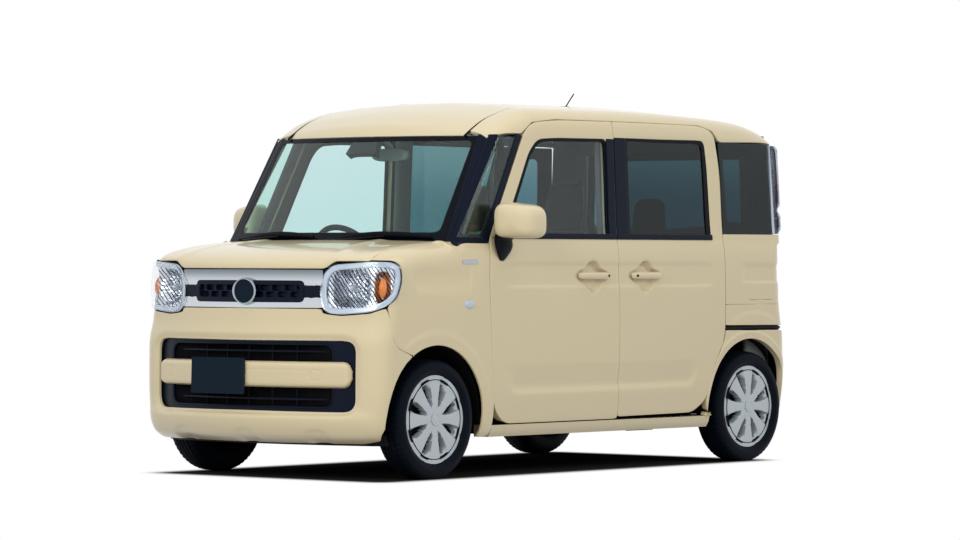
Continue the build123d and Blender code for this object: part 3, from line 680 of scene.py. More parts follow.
def mottle_group() -> bpy.types.NodeTree:
    """Colour and gloss that wander: base * (1 + (noise - 0.5) * amount), and a height for the grain."""
    tree, given, out = new_group(
        "mottle", [("Color", "NodeSocketColor", (1, 1, 1, 1)), ("Amount", "NodeSocketFloat", 0.1),
                   ("Roughness", "NodeSocketFloat", 0.5), ("Patch", "NodeSocketFloat", 3.0),
                   ("Grain", "NodeSocketFloat", 400.0)],
        [("Color", "NodeSocketColor"), ("Roughness", "NodeSocketFloat"), ("Height", "NodeSocketFloat")])
    place = node(tree, "ShaderNodeTexCoord").outputs["Object"]
    patch = node(tree, "ShaderNodeTexNoise", {"Vector": place, "Scale": given.outputs["Patch"],
                                              "Detail": 4.0})
    grain = node(tree, "ShaderNodeTexNoise", {"Vector": place, "Scale": given.outputs["Grain"],
                                              "Detail": 3.0})
    swing = math_node(tree, "MULTIPLY", math_node(tree, "SUBTRACT", patch.outputs[0], 0.5),
                      given.outputs["Amount"])
    value = math_node(tree, "ADD", swing, 1.0)
    tint = node(tree, "ShaderNodeMix", {0: 1.0, 6: given.outputs["Color"], 7: value}, data_type="RGBA",
                blend_type="MULTIPLY").outputs[2]
    rough = math_node(tree, "MULTIPLY", given.outputs["Roughness"], math_node(tree, "ADD", swing, 1.0), True)
    for label, socket in (("Color", tint), ("Roughness", rough), ("Height", grain.outputs[0])):
        tree.links.new(socket, out.inputs[label])
    return tree


def band_group() -> bpy.types.NodeTree:
    """A colour that changes with height: low + (high - low) * smooth((z - bottom) / (top - bottom)); on the
    glass this paints a reflection, lighter towards the top.
    """
    tree, given, out = new_group(
        "height_band", [("Low", "NodeSocketColor", (0, 0, 0, 1)), ("High", "NodeSocketColor", (1, 1, 1, 1)),
                        ("Bottom", "NodeSocketFloat", 1.1), ("Top", "NodeSocketFloat", 1.6)],
        [("Color", "NodeSocketColor"), ("Share", "NodeSocketFloat")])
    place = node(tree, "ShaderNodeTexCoord").outputs["Object"]
    z = node(tree, "ShaderNodeSeparateXYZ", {0: place}).outputs[2]
    rise = node(tree, "ShaderNodeMapRange", {0: z, 1: given.outputs["Bottom"], 2: given.outputs["Top"]},
                interpolation_type="SMOOTHSTEP")
    tree.links.new(mix_color(tree, rise.outputs[0], given.outputs["Low"], given.outputs["High"]),
                   out.inputs["Color"])
    tree.links.new(rise.outputs[0], out.inputs["Share"])
    return tree


def weave_group() -> bpy.types.NodeTree:
    """A plain weave: the larger of two crossed waves, |sin(x)| and |sin(y + z)|, as height and mask."""
    tree, given, out = new_group(
        "weave", [("Threads", "NodeSocketFloat", 900.0), ("Dark", "NodeSocketColor", (0, 0, 0, 1)),
                  ("Light", "NodeSocketColor", (1, 1, 1, 1))],
        [("Color", "NodeSocketColor"), ("Height", "NodeSocketFloat")])
    place = node(tree, "ShaderNodeTexCoord").outputs["Object"]
    parts = node(tree, "ShaderNodeSeparateXYZ", {0: place})
    down = math_node(tree, "ADD", parts.outputs[1], parts.outputs[2])
    waves = [math_node(tree, "ABSOLUTE",
                       math_node(tree, "SINE", math_node(tree, "MULTIPLY", s, given.outputs[0])))
             for s in (parts.outputs[0], down)]
    height = math_node(tree, "MAXIMUM", waves[0], waves[1])
    fluff = node(tree, "ShaderNodeTexNoise", {"Vector": place, "Scale": 60.0, "Detail": 6.0}).outputs[0]
    share_ = math_node(tree, "MULTIPLY", height, fluff, True)
    tree.links.new(mix_color(tree, share_, given.outputs["Dark"], given.outputs["Light"]),
                   out.inputs["Color"])
    tree.links.new(height, out.inputs["Height"])
    return tree


@dataclass(frozen=True)
class Finish:
    """One finish: a Principled surface whose colour, gloss and grain come from the shared groups."""

    name: str
    color: tuple[float, float, float]
    rough: float = 0.5
    metal: float = 0.0
    vary: float = 0.06
    patch: float = 3.0
    grain: float = 400.0
    bump: float = 0.0
    coat: float = 0.0
    coat_rough: float = 0.03
    ior: float = 1.5
    sheen: float = 0.0
    clear: float = 0.0
    # a second colour towards the top; on the glass it is a painted reflection, lighter towards the top
    high: tuple[float, float, float] | None = None
    band: tuple[float, float] = (1.1, 1.6)
    weave: float = 0.0
    shine: float = 0.5
    # scale of dark diagonal waves painted into the colour: painted reflections of dark surroundings in bright
    # metal
    painted_reflection_streaks: float = 0.0

    def build(self, groups: dict[str, bpy.types.NodeTree]) -> bpy.types.Material:
        """The material: groups feed colour, roughness and bump, and constants sit on the shader itself."""
        made = bpy.data.materials.new(self.name)
        made.use_nodes = True
        tree = made.node_tree
        shader = tree.nodes["Principled BSDF"]
        base: object = (*self.color, 1.0)
        # Colour ramp by height; on the glass it paints a reflection, the tint lighter towards the top.
        if self.high is not None:
            band = node(tree, "ShaderNodeGroup", node_tree=groups["band"])
            for key, value in (("Low", base), ("High", (*self.high, 1.0)), ("Bottom", self.band[0]),
                               ("Top", self.band[1])):
                band.inputs[key].default_value = value
            base = band.outputs["Color"]
        mottle = node(tree, "ShaderNodeGroup", node_tree=groups["mottle"])
        for key, value in (("Color", base), ("Amount", self.vary), ("Roughness", self.rough),
                           ("Patch", self.patch), ("Grain", self.grain)):
            if isinstance(value, bpy.types.NodeSocket):
                tree.links.new(value, mottle.inputs[key])
            else:
                mottle.inputs[key].default_value = value
        color, height = mottle.outputs["Color"], mottle.outputs["Height"]
        if self.weave:
            cloth = node(tree, "ShaderNodeGroup", node_tree=groups["weave"])
            cloth.inputs["Threads"].default_value = self.weave
            cloth.inputs["Dark"].default_value = (*(0.45 * c for c in self.color), 1.0)
            tree.links.new(color, cloth.inputs["Light"])
            color, height = cloth.outputs["Color"], cloth.outputs["Height"]
        # Dark diagonal waves mixed into the colour: painted reflections, not a pattern on the metal.
        if self.painted_reflection_streaks:
            place = node(tree, "ShaderNodeTexCoord").outputs["Object"]
            wave = node(tree, "ShaderNodeTexWave", {"Vector": place, "Scale": self.painted_reflection_streaks, "Distortion": 3.0,
                                                    "Detail": 1.0},
                        bands_direction="DIAGONAL")
            fac = node(tree, "ShaderNodeMapRange", {0: wave.outputs["Fac"], 1: 0.06, 2: 0.40}).outputs[0]
            color = mix_color(tree, fac, (0.012, 0.014, 0.018, 1), color)
        tree.links.new(color, shader.inputs["Base Color"])
        if not self.clear:
            tree.links.new(mottle.outputs["Roughness"], shader.inputs["Roughness"])
        else:
            shader.inputs["Roughness"].default_value = self.rough
        if self.bump:
            bump = node(tree, "ShaderNodeBump", {"Strength": self.bump, "Distance": 0.001, "Height": height})
            tree.links.new(bump.outputs[0], shader.inputs["Normal"])
        for key, value in (("Metallic", self.metal), ("IOR", self.ior), ("Coat Weight", self.coat),
                           ("Coat Roughness", self.coat_rough), ("Sheen Weight", self.sheen),
                           ("Transmission Weight", self.clear), ("Specular IOR Level", self.shine)):
            shader.inputs[key].default_value = value
        return made


FINISHES = (
    Finish("cream_paint", (0.620, 0.532, 0.335), 0.30, vary=0.03, patch=2.0, grain=900.0, bump=0.015,
           coat=0.7,
           coat_rough=0.04),
    Finish("pillar_film", (0.003, 0.006, 0.016), 0.32, vary=0.15, grain=700.0, bump=0.05, shine=0.09),
    Finish("trim_black", (0.002, 0.003, 0.005), 0.45, vary=0.2, grain=900.0, bump=0.15, shine=0.09),
    Finish("grille_black", (0.002, 0.005, 0.015), 0.38, vary=0.2, grain=600.0, bump=0.12, shine=0.12),
    Finish("underbody_black", (0.004, 0.004, 0.005), 0.80, vary=0.4, patch=9.0, grain=250.0, bump=0.5,
           shine=0.08),
    Finish("rubber", (0.002, 0.004, 0.008), 0.60, vary=0.25, patch=6.0, grain=500.0, bump=0.12, shine=0.07),
    Finish("cover_silver", (0.42, 0.47, 0.51), 0.30, metal=0.45, vary=0.05, grain=1500.0, bump=0.03,
           coat=0.3),
    Finish("steel_grey", (0.05, 0.05, 0.055), 0.50, metal=0.6, vary=0.4, patch=15.0, grain=300.0, bump=0.3),
    Finish("bright_chrome", (0.42, 0.46, 0.50), 0.14, metal=1.0, vary=0.03, grain=900.0, bump=0.01),
    Finish("grille_chrome", (0.60, 0.64, 0.68), 0.20, metal=1.0, vary=0.03, grain=900.0, bump=0.01,
           high=(0.20, 0.24, 0.27), band=(0.905, 0.965)),
    # The lamp reflector's dark streaks are painted reflections.
    Finish("lamp_chrome", (0.62, 0.65, 0.70), 0.12, metal=1.0, vary=0.2, patch=46.0, grain=500.0, bump=0.25,
           painted_reflection_streaks=24.0),
    Finish("lamp_rim", (0.46, 0.52, 0.60), 0.25, metal=0.25, vary=0.05, grain=700.0, bump=0.02, coat=0.4),
    Finish("lamp_clear", (0.94, 0.96, 0.98), 0.0, clear=1.0, ior=1.22, vary=0.0),
    Finish("lamp_smoke", (0.50, 0.60, 0.70), 0.0, clear=1.0, ior=1.3, vary=0.0),
    Finish("ladder_blue", (0.075, 0.115, 0.165), 0.25, metal=0.3, vary=0.3, patch=40.0, grain=300.0,
           bump=0.2),
    Finish("amber_lens", (0.90, 0.25, 0.03), 0.12, clear=0.35, ior=1.45, vary=0.5, patch=110.0, grain=250.0,
           bump=0.6),
    Finish("red_lens", (0.42, 0.010, 0.015), 0.10, clear=0.3, ior=1.45, vary=0.2, patch=60.0, grain=250.0,
           bump=0.4),
    # The glass tints turn lighter towards the top through high and band: a painted reflection of the sky.
    Finish("screen_glass", (0.66, 0.87, 0.82), 0.0, clear=1.0, ior=1.35, vary=0.0, high=(0.70, 0.88, 0.86),
           band=(1.1, 1.6)),
    Finish("door_glass", (0.78, 0.90, 0.93), 0.0, clear=1.0, ior=1.3, vary=0.0, high=(0.80, 0.90, 0.92),
           band=(1.2, 1.6)),
    Finish("privacy_glass", (0.035, 0.140, 0.180), 0.0, clear=1.0, ior=1.3, vary=0.0, high=(0.12, 0.24, 0.27),
           band=(1.25, 1.62)),
    Finish("frit_black", (0.001, 0.002, 0.006), 0.20, vary=0.1, shine=0.1),
    Finish("dash_moulding", (0.020, 0.022, 0.026), 0.55, vary=0.1, grain=900.0, bump=0.3, shine=0.25),
    Finish("cabin_trim", (0.190, 0.205, 0.205), 0.7, vary=0.1, grain=700.0, bump=0.3, shine=0.3),
    Finish("headlining", (0.40, 0.42, 0.40), 0.9, vary=0.05, grain=900.0, bump=0.3, sheen=0.2),
    Finish("seat_cloth", (0.026, 0.027, 0.030), 0.85, vary=0.2, bump=0.35, sheen=0.15, weave=1400.0,
           shine=0.2),
    Finish("belt_webbing", (0.016, 0.017, 0.020), 0.7, vary=0.1, bump=0.3, sheen=0.1, weave=2400.0,
           shine=0.2),
    Finish("mirror_face", (0.75, 0.78, 0.80), 0.02, metal=1.0, vary=0.0),
    Finish("plate_black", (0.004, 0.011, 0.022), 0.5, vary=0.1, grain=900.0, bump=0.05, shine=0.08),
)


def build_finishes() -> dict[str, bpy.types.Material]:
    """Every finish by name."""
    groups = {"mottle": mottle_group(), "band": band_group(), "weave": weave_group()}
    return {f.name: f.build(groups) for f in FINISHES}


# ---------------------------------------------------------------- outlines shared by neighbours
def quad(points: Sequence, radii: float | Sequence[float], corners: tuple[int, int, int, int]) -> tuple:
    """The four sides of a rounded outline: bottom, top, left and right, all running the way the grid does.

    Args:
        points: the outline, counter-clockwise as seen from outside.
        radii: rounding at each corner.
        corners: which points are the bottom start, bottom end, top end and top start.
    """
    line, marks = rounded(points, radii, True)
    total = outline_length(line)
    ends = [marks[c] for c in corners]
    sides = []
    for a, b in zip(ends, ends[1:] + ends[:1]):
        b = b if b > a else b + total
        sides.append(walk(line, np.mod(np.linspace(a, b, 240), total)))
    return sides[0], sides[2][::-1], sides[3][::-1], sides[1]


def arc_points(centre: tuple[float, float], radius: float, start: float, end: float, count: int) -> Array:
    """Points on a circle between two angles in degrees."""
    a = np.radians(np.linspace(start, end, count))
    return np.stack([centre[0] + radius * np.cos(a), centre[1] + radius * np.sin(a)], axis=1)


def sector(inner: Array, outer: Array, rows: Array) -> Array:
    """A grid of outline points between two paths that run side by side: (1-v) inner + v outer."""
    v = rows[:, None, None]
    return (1 - v) * inner[None] + v * outer[None]


def relaxed(flat: Array, rounds: int = 900) -> Array:
    """A grid whose folds are smoothed out, its border kept: each pass solves a X_uu - 2 b X_uv + c X_vv = 0.

    Here a = |X_v|^2, b = X_u . X_v and c = |X_u|^2, so the inverse of the map is harmonic and can't fold.
    """
    p = flat.copy()
    for _ in range(rounds):
        du, dv = (p[1:-1, 2:] - p[1:-1, :-2]) / 2, (p[2:, 1:-1] - p[:-2, 1:-1]) / 2
        a, b, c = ((m * n).sum(-1, keepdims=True) for m, n in ((dv, dv), (du, dv), (du, du)))
        cross = (p[2:, 2:] - p[2:, :-2] - p[:-2, 2:] + p[:-2, :-2]) / 4
        mean = a * (p[1:-1, 2:] + p[1:-1, :-2]) + c * (p[2:, 1:-1] + p[:-2, 1:-1]) - 2 * b * cross
        p[1:-1, 1:-1] = mean / (2 * (a + c) + 1e-12)
    return p


GAP = 0.0034
FRONT_DOOR_LOW = ((-0.649, 0.242), (0.223, 0.242), (0.223, 1.113), (-0.7545, 1.113), (-0.773, 0.935),
                  (-0.760, 0.614), (-0.732, 0.314))
SLIDING_DOOR_LOW = ((0.223, 0.252), (0.830, 0.257), (0.940, 0.317), (1.003, 0.498), (1.089, 0.620),
                    (1.0935, 1.113), (0.223, 1.113))


def side_point(y: Array, z: Array) -> Array:
    """A point on the body side."""
    return np.stack([FORM.side_x(y, z), y, np.broadcast_to(z, np.shape(y))], axis=-1)


def on(skin: Callable[[Array, Array], Array], flat: Array) -> Array:
    """A flat grid of (a, b) pairs carried onto a skin."""
    return skin(flat[..., 0], flat[..., 1])


def inset(outline: Sequence, by: float) -> Array:
    """A closed counter-clockwise outline moved inwards: each corner goes along its bisector."""
    p = np.asarray(outline, float)
    a, b = unit(p - np.roll(p, 1, 0)), unit(np.roll(p, -1, 0) - p)
    na, nb = np.stack([-a[:, 1], a[:, 0]], 1), np.stack([-b[:, 1], b[:, 0]], 1)
    scale = 1 + np.einsum("ij,ij->i", na, nb)[:, None]
    return p + by * (na + nb) / np.maximum(scale, 0.25)


def recess_band(y: Array, z: Array) -> Array:
    """The shallow band along the doors: 4 mm deep inside a rounded oblong, with sloping borders."""
    return 0.0045 * step(0.004, -0.012, box_distance(y, z, -0.655, 0.984, 0.881, 0.995, 0.035))


def door_scoop(y: Array, z: Array) -> Array:
    """The lower sculpture: sharp along its top, leaning inwards below it and rolling out at the bottom."""
    v = np.clip((0.517 + 0.005 * y - z) / 0.140, 0, 1)
    fall = np.where(v < 0.72, v / 0.72, 1 - step(0.72, 1.0, v))
    lean = 0.55 * (0.517 - np.clip(z, 0.376, 0.517))
    ends = step(-0.677 + lean - 0.004, -0.677 + lean + 0.050, y) * (1 - step(0.850 - lean, 0.889 - lean, y))
    return 0.011 * fall * ends


def handle_bowl(y: Array, z: Array, centre: float) -> Array:
    """The hollow behind a handle: an upright oval joined to a level one, 22 mm deep in its middle."""
    high = (z - 0.930) / 0.078
    upright = np.abs((y - centre) / 0.066) ** 2.2 + np.abs(high) ** 2.2
    level = np.abs((y - centre) / 0.128) ** 2.6 + np.abs((z - 0.932) / 0.036) ** 2.6
    soft = -np.log(np.exp(-3 * np.minimum(upright, 9)) + np.exp(-3 * np.minimum(level, 9))) / 3
    return 0.030 * step(1.05, 0.40, soft)


# ---------------------------------------------------------------- doors
@dataclass
class FrontDoor:
    """A hinged front door: lower panel with its sculpture, window frame, belt strip, glass and handle."""

    maker: Maker
    finish: dict
    handle_y: float = 0.019
    window: tuple = ((-0.650, 1.134), (-0.440, 1.515), (-0.372, 1.583), (-0.225, 1.592), (0.170, 1.595),
                     (0.170, 1.134))
    frame: tuple = ((-0.7555, 1.108), (-0.478, 1.596), (-0.400, 1.651), (-0.212, 1.668), (0.223, 1.671),
                    (0.223, 1.108))

    def lower_panel(self) -> tuple:
        """The painted panel below the belt, pressed in for the band, the scoop and the handle's bowl."""
        outline = inset(FRONT_DOOR_LOW, GAP)
        sides = quad(outline, (0.085, 0.012, 0.001, 0.001, 0.2, 0.3, 0.1), (0, 1, 2, 3))
        u = crowd(70, (0.80, 0.085, 4.0), (0.03, 0.03, 2.0))
        v = crowd(74, (0.79, 0.085, 3.6), (0.315, 0.02, 5.0), (0.16, 0.05, 1.5), (0.03, 0.03, 1.5))
        flat = coons(*sides, u, v)
        y, z = flat[..., 0], flat[..., 1]
        depth = np.maximum(recess_band(y, z), handle_bowl(y, z, self.handle_y)) + door_scoop(y, z)
        return shell(side_point(y, z), 0.045, depth=depth)

    def window_frame(self) -> tuple:
        """The painted frame round the glass, from the belt over the top and down."""
        parts = (60, 24, 24, 60, 60)
        outer = path([(a + (GAP if k < 2 else 0) * (1 if k < 5 else -1), b) for k, (a, b) in enumerate(
            [(y, z - (GAP if 0 < i < 5 else 0)) for i, (y, z) in enumerate(self.frame)])],
            (0, 0.10, 0.10, 0.2, 0.008, 0), parts)
        outer[:, 0] = np.minimum(outer[:, 0], 0.223 - GAP)
        inner = path(self.window, (0, 0.03, 0.09, 0.08, 0.035, 0), parts)
        rows = np.linspace(0, 1, 9)
        flat = sector(inner, outer, rows)[:, ::-1]
        return hoop(on(FORM.flank, flat), 0.040, closed=False)

    def pillar_cover(self) -> tuple:
        """The dark satin cover on the pillar behind the glass."""
        sides = quad(((0.163, 1.135), (0.223 - GAP, 1.135), (0.223 - GAP, 1.593), (0.163, 1.593)), 0.002,
                     (0, 1, 2, 3))
        flat = coons(*sides, crowd(8), crowd(40))
        p = on(side_point, flat)
        return shell(p + grid_normals(p) * 0.0022, 0.004, 0.001)

    def weatherstrip(self) -> tuple:
        """The rubber channel between frame and glass."""
        parts = (60, 24, 24, 60, 60)
        outer = path(self.window, (0, 0.03, 0.09, 0.08, 0.035, 0), parts)
        shrunk = ((-0.618, 1.134), (-0.425, 1.495), (-0.360, 1.566), (-0.225, 1.576), (0.152, 1.579),
                  (0.152, 1.134))
        inner = path(shrunk, (0, 0.03, 0.08, 0.07, 0.028, 0), parts)
        flat = sector(inner, outer, np.linspace(0, 1, 5))[:, ::-1]
        return hoop(on(FORM.flank, flat) - np.array([0.003, 0, 0]), 0.012, 0.0015, closed=False)

    def glass(self) -> tuple:
        """The pane, set in from the frame by 7 mm."""
        sides = quad(((-0.640, 1.125), (0.160, 1.125), (0.160, 1.585), (-0.225, 1.582), (-0.366, 1.572),
                      (-0.432, 1.505)),
                     (0.01, 0.01, 0.03, 0.06, 0.06, 0.03), (0, 1, 2, 4))
        flat = coons(*sides, np.linspace(0, 1, 36), np.linspace(0, 1, 26))
        return shell(on(side_point, flat) - np.array([0.0075, 0, 0]), 0.0035, 0.0008)

    def belt_strip(self, start: float = -0.690, end: float = 0.2206) -> tuple:
        """The black moulding along the bottom of the window: a rounded bar that follows the door's skin."""
        y = np.linspace(start, end, 60)
        angle = full_turn(20)
        a, b = np.cos(angle), np.sin(angle)
        bulge = 0.004 * signed_power(a, 0.6)
        z = 1.122 + 0.0135 * signed_power(b, 0.6)
        skin = side_point(np.broadcast_to(y[:, None], (60, 20)), np.broadcast_to(z[None], (60, 20)))
        skin[..., 0] += bulge[None] + 0.0015
        return capped(skin)

    def handle(self, centre: float | None = None, keyhole: float = 0.094) -> list[tuple]:
        """The grip across its bowl, with a round lock cover near one end."""
        y0 = self.handle_y if centre is None else centre
        t = np.linspace(-1, 1, 60)
        y = y0 + 0.113 * t
        skin = FORM.side_x(y, np.full_like(y, 0.934))
        x = skin + 0.013 - 0.016 * np.abs(t) ** 8 + 0.004 * (1 - t * t)
        size = 0.0085 * (1 - 0.30 * np.abs(t) ** 16)
        bar = tube(np.stack([x, y, np.full_like(y, 0.934)], 1), size, 24, 1.9)
        bar = outward((bar[0], bar[1]))
        angle = full_turn(24)
        spot = y0 + keyhole
        face_x = float(np.interp(spot, y, x)) + 0.0082
        rings = [np.stack([np.full(24, face_x + d), spot + r * np.cos(angle), 0.934 + r * np.sin(angle)], 1)
                 for r, d in ((0.0062, -0.006), (0.0062, 0.0035), (0.0052, 0.0045), (0.0018, 0.0040))]
        return [bar, capped(np.stack(rings))]

    def build(self) -> None:
        """Both front doors."""
        f, m = self.finish, self.maker
        bodies = ("door_front_left", "door_front_right")
        nodes = (("front_door_left",), ("front_door_right",))
        paint = [f["cream_paint"], f["cabin_trim"]]
        m.pair("front_door_skin", self.lower_panel(), paint, bodies, Slot.BODY_PAINT, nodes)
        m.pair("front_door_frame", self.window_frame(), [f["cream_paint"], f["trim_black"]], bodies,
               Slot.BODY_PAINT, nodes)
        m.pair("front_pillar_cover", self.pillar_cover(), [f["pillar_film"]], bodies, Slot.BLACK_PLASTIC)
        m.pair("front_door_rubber", self.weatherstrip(), [f["trim_black"]], bodies, Slot.BLACK_PLASTIC)
        m.pair("front_door_pane", self.glass(), [f["door_glass"]], bodies, Slot.GLASS,
               (("front_door_glass_left",), ("front_door_glass_right",)))
        m.pair("front_belt_strip", self.belt_strip(), [f["pillar_film"]], bodies, Slot.BLACK_PLASTIC)
        bar, lock = self.handle()
        m.pair("front_door_handle", bar, [f["cream_paint"]], bodies, Slot.BODY_PAINT)
        m.pair("front_door_lock", lock, [f["trim_black"]], bodies, Slot.BLACK_PLASTIC)


@dataclass
class SlidingDoor(FrontDoor):
    """A sliding rear door, which stays shut: panel, frame, dark glass and handle."""

    handle_y: float = 0.437
    window: tuple = ((0.306, 1.134), (0.306, 1.602), (0.972, 1.602), (0.998, 1.134))
    frame: tuple = ((0.223, 1.108), (0.223, 1.671), (0.930, 1.671), (1.045, 1.640), (1.085, 1.463),
                    (1.094, 1.108))

    def lower_panel(self) -> tuple:
        """The painted panel below the belt."""
        outline = inset(SLIDING_DOOR_LOW, GAP)
        sides = quad(outline, (0.012, 0.04, 0.10, 0.10, 0.12, 0.001, 0.001), (0, 2, 5, 6))
        u = crowd(70, (0.245, 0.085, 4.0), (0.97, 0.03, 2.0))
        v = crowd(74, (0.79, 0.085, 3.6), (0.315, 0.02, 5.0), (0.16, 0.05, 1.5), (0.03, 0.03, 1.5))
        flat = coons(*sides, u, v)
        y, z = flat[..., 0], flat[..., 1]
        depth = np.maximum(recess_band(y, z), handle_bowl(y, z, self.handle_y)) + door_scoop(y, z)
        return shell(side_point(y, z), 0.045, depth=depth)

    def window_frame(self) -> tuple:
        """The painted frame over the glass and down behind it."""
        parts = (50, 70, 20, 20, 50)
        g = GAP
        edge = ((0.223 + g, 1.108), (0.223 + g, 1.671 - g), (0.930, 1.671 - g), (1.043, 1.640),
                (1.085 - g, 1.463),
                (1.0935 - g, 1.108))
        outer = path(edge, (0, 0.008, 0.10, 0.10, 0.15, 0), parts)
        hole = ((0.306, 1.108), (0.306, 1.602), (0.900, 1.602), (0.965, 1.598), (0.982, 1.480),
                (1.000, 1.108))
        inner = path(hole, (0, 0.020, 0.05, 0.045, 0.08, 0), parts)
        flat = sector(inner, outer, np.linspace(0, 1, 9))[:, ::-1]
        return hoop(on(FORM.flank, flat), 0.040, closed=False)

    def pillar_cover(self) -> tuple:
        """The dark satin cover ahead of the glass."""
        front = 0.223 + GAP - 0.0008
        sides = quad(((front, 1.128), (0.318, 1.128), (0.318, 1.600), (front, 1.600)), 0.002, (0, 1, 2, 3))
        p = on(side_point, coons(*sides, crowd(10), crowd(40)))
        return shell(p + grid_normals(p) * 0.0022, 0.030, 0.001)

    def weatherstrip(self) -> tuple:
        """The rubber channel, wide behind the glass."""
        parts = (50, 70, 20, 20, 50)
        hole = ((0.306, 1.128), (0.306, 1.602), (0.900, 1.602), (0.965, 1.598), (0.982, 1.480),
                (1.000, 1.128))
        outer = path(hole, (0, 0.020, 0.05, 0.045, 0.08, 0), parts)
        shrunk = ((0.335, 1.128), (0.335, 1.586), (0.880, 1.586), (0.942, 1.582), (0.950, 1.470),
                  (0.962, 1.128))
        inner = path(shrunk, (0, 0.016, 0.04, 0.035, 0.06, 0), parts)
        flat = sector(inner, outer, np.linspace(0, 1, 5))[:, ::-1]
        return hoop(on(FORM.flank, flat) - np.array([0.003, 0, 0]), 0.012, 0.0015, closed=False)

    def glass(self) -> tuple:
        """The dark pane."""
        sides = quad(((0.312, 1.120), (0.985, 1.120), (0.958, 1.594), (0.312, 1.594)), 0.02, (0, 1, 2, 3))
        flat = coons(*sides, np.linspace(0, 1, 36), np.linspace(0, 1, 26))
        return shell(on(side_point, flat) - np.array([0.0075, 0, 0]), 0.0035, 0.0008)

    def build(self) -> None:
        """Both sliding doors."""
        f, m = self.finish, self.maker
        bodies = ("chassis", "chassis")
        nodes = (("sliding_door_left",), ("sliding_door_right",))
        m.pair("sliding_door_skin", self.lower_panel(), [f["cream_paint"], f["cabin_trim"]], bodies,
               Slot.BODY_PAINT, nodes)
        m.pair("sliding_door_frame", self.window_frame(), [f["cream_paint"], f["trim_black"]], bodies,
               Slot.BODY_PAINT, nodes)
        m.pair("rear_pillar_cover", self.pillar_cover(), [f["pillar_film"]], bodies, Slot.BLACK_PLASTIC)
        m.pair("sliding_door_rubber", self.weatherstrip(), [f["trim_black"]], bodies, Slot.BLACK_PLASTIC)
        m.pair("sliding_door_pane", self.glass(), [f["privacy_glass"]], bodies, Slot.GLASS,
               (("side_glass",), ("side_glass",)))
        m.pair("rear_belt_strip", self.belt_strip(0.2256, 0.999), [f["pillar_film"]], bodies,
               Slot.BLACK_PLASTIC)
        bar, lock = self.handle(self.handle_y, -0.094)
        m.pair("sliding_door_handle", bar, [f["cream_paint"]], bodies, Slot.BODY_PAINT)
        m.pair("sliding_door_lock", lock, [f["trim_black"]], bodies, Slot.BLACK_PLASTIC)


# ---------------------------------------------------------------- fenders, quarters, sills and roof
FRONT_ARCH = (-1.153, 0.274)
REAR_ARCH = (1.303, 0.274)
ARCH_R = 0.345


def fender_skin(y: Array, h: Array) -> Array:
    """The fender's surface: the shoulder over to the bonnet, fading into the plain side ahead of the door."""
    w = step(-0.930, -1.120, y)[..., None]
    return (1 - w) * side_point(y, h) + w * FORM.fender(y, h)


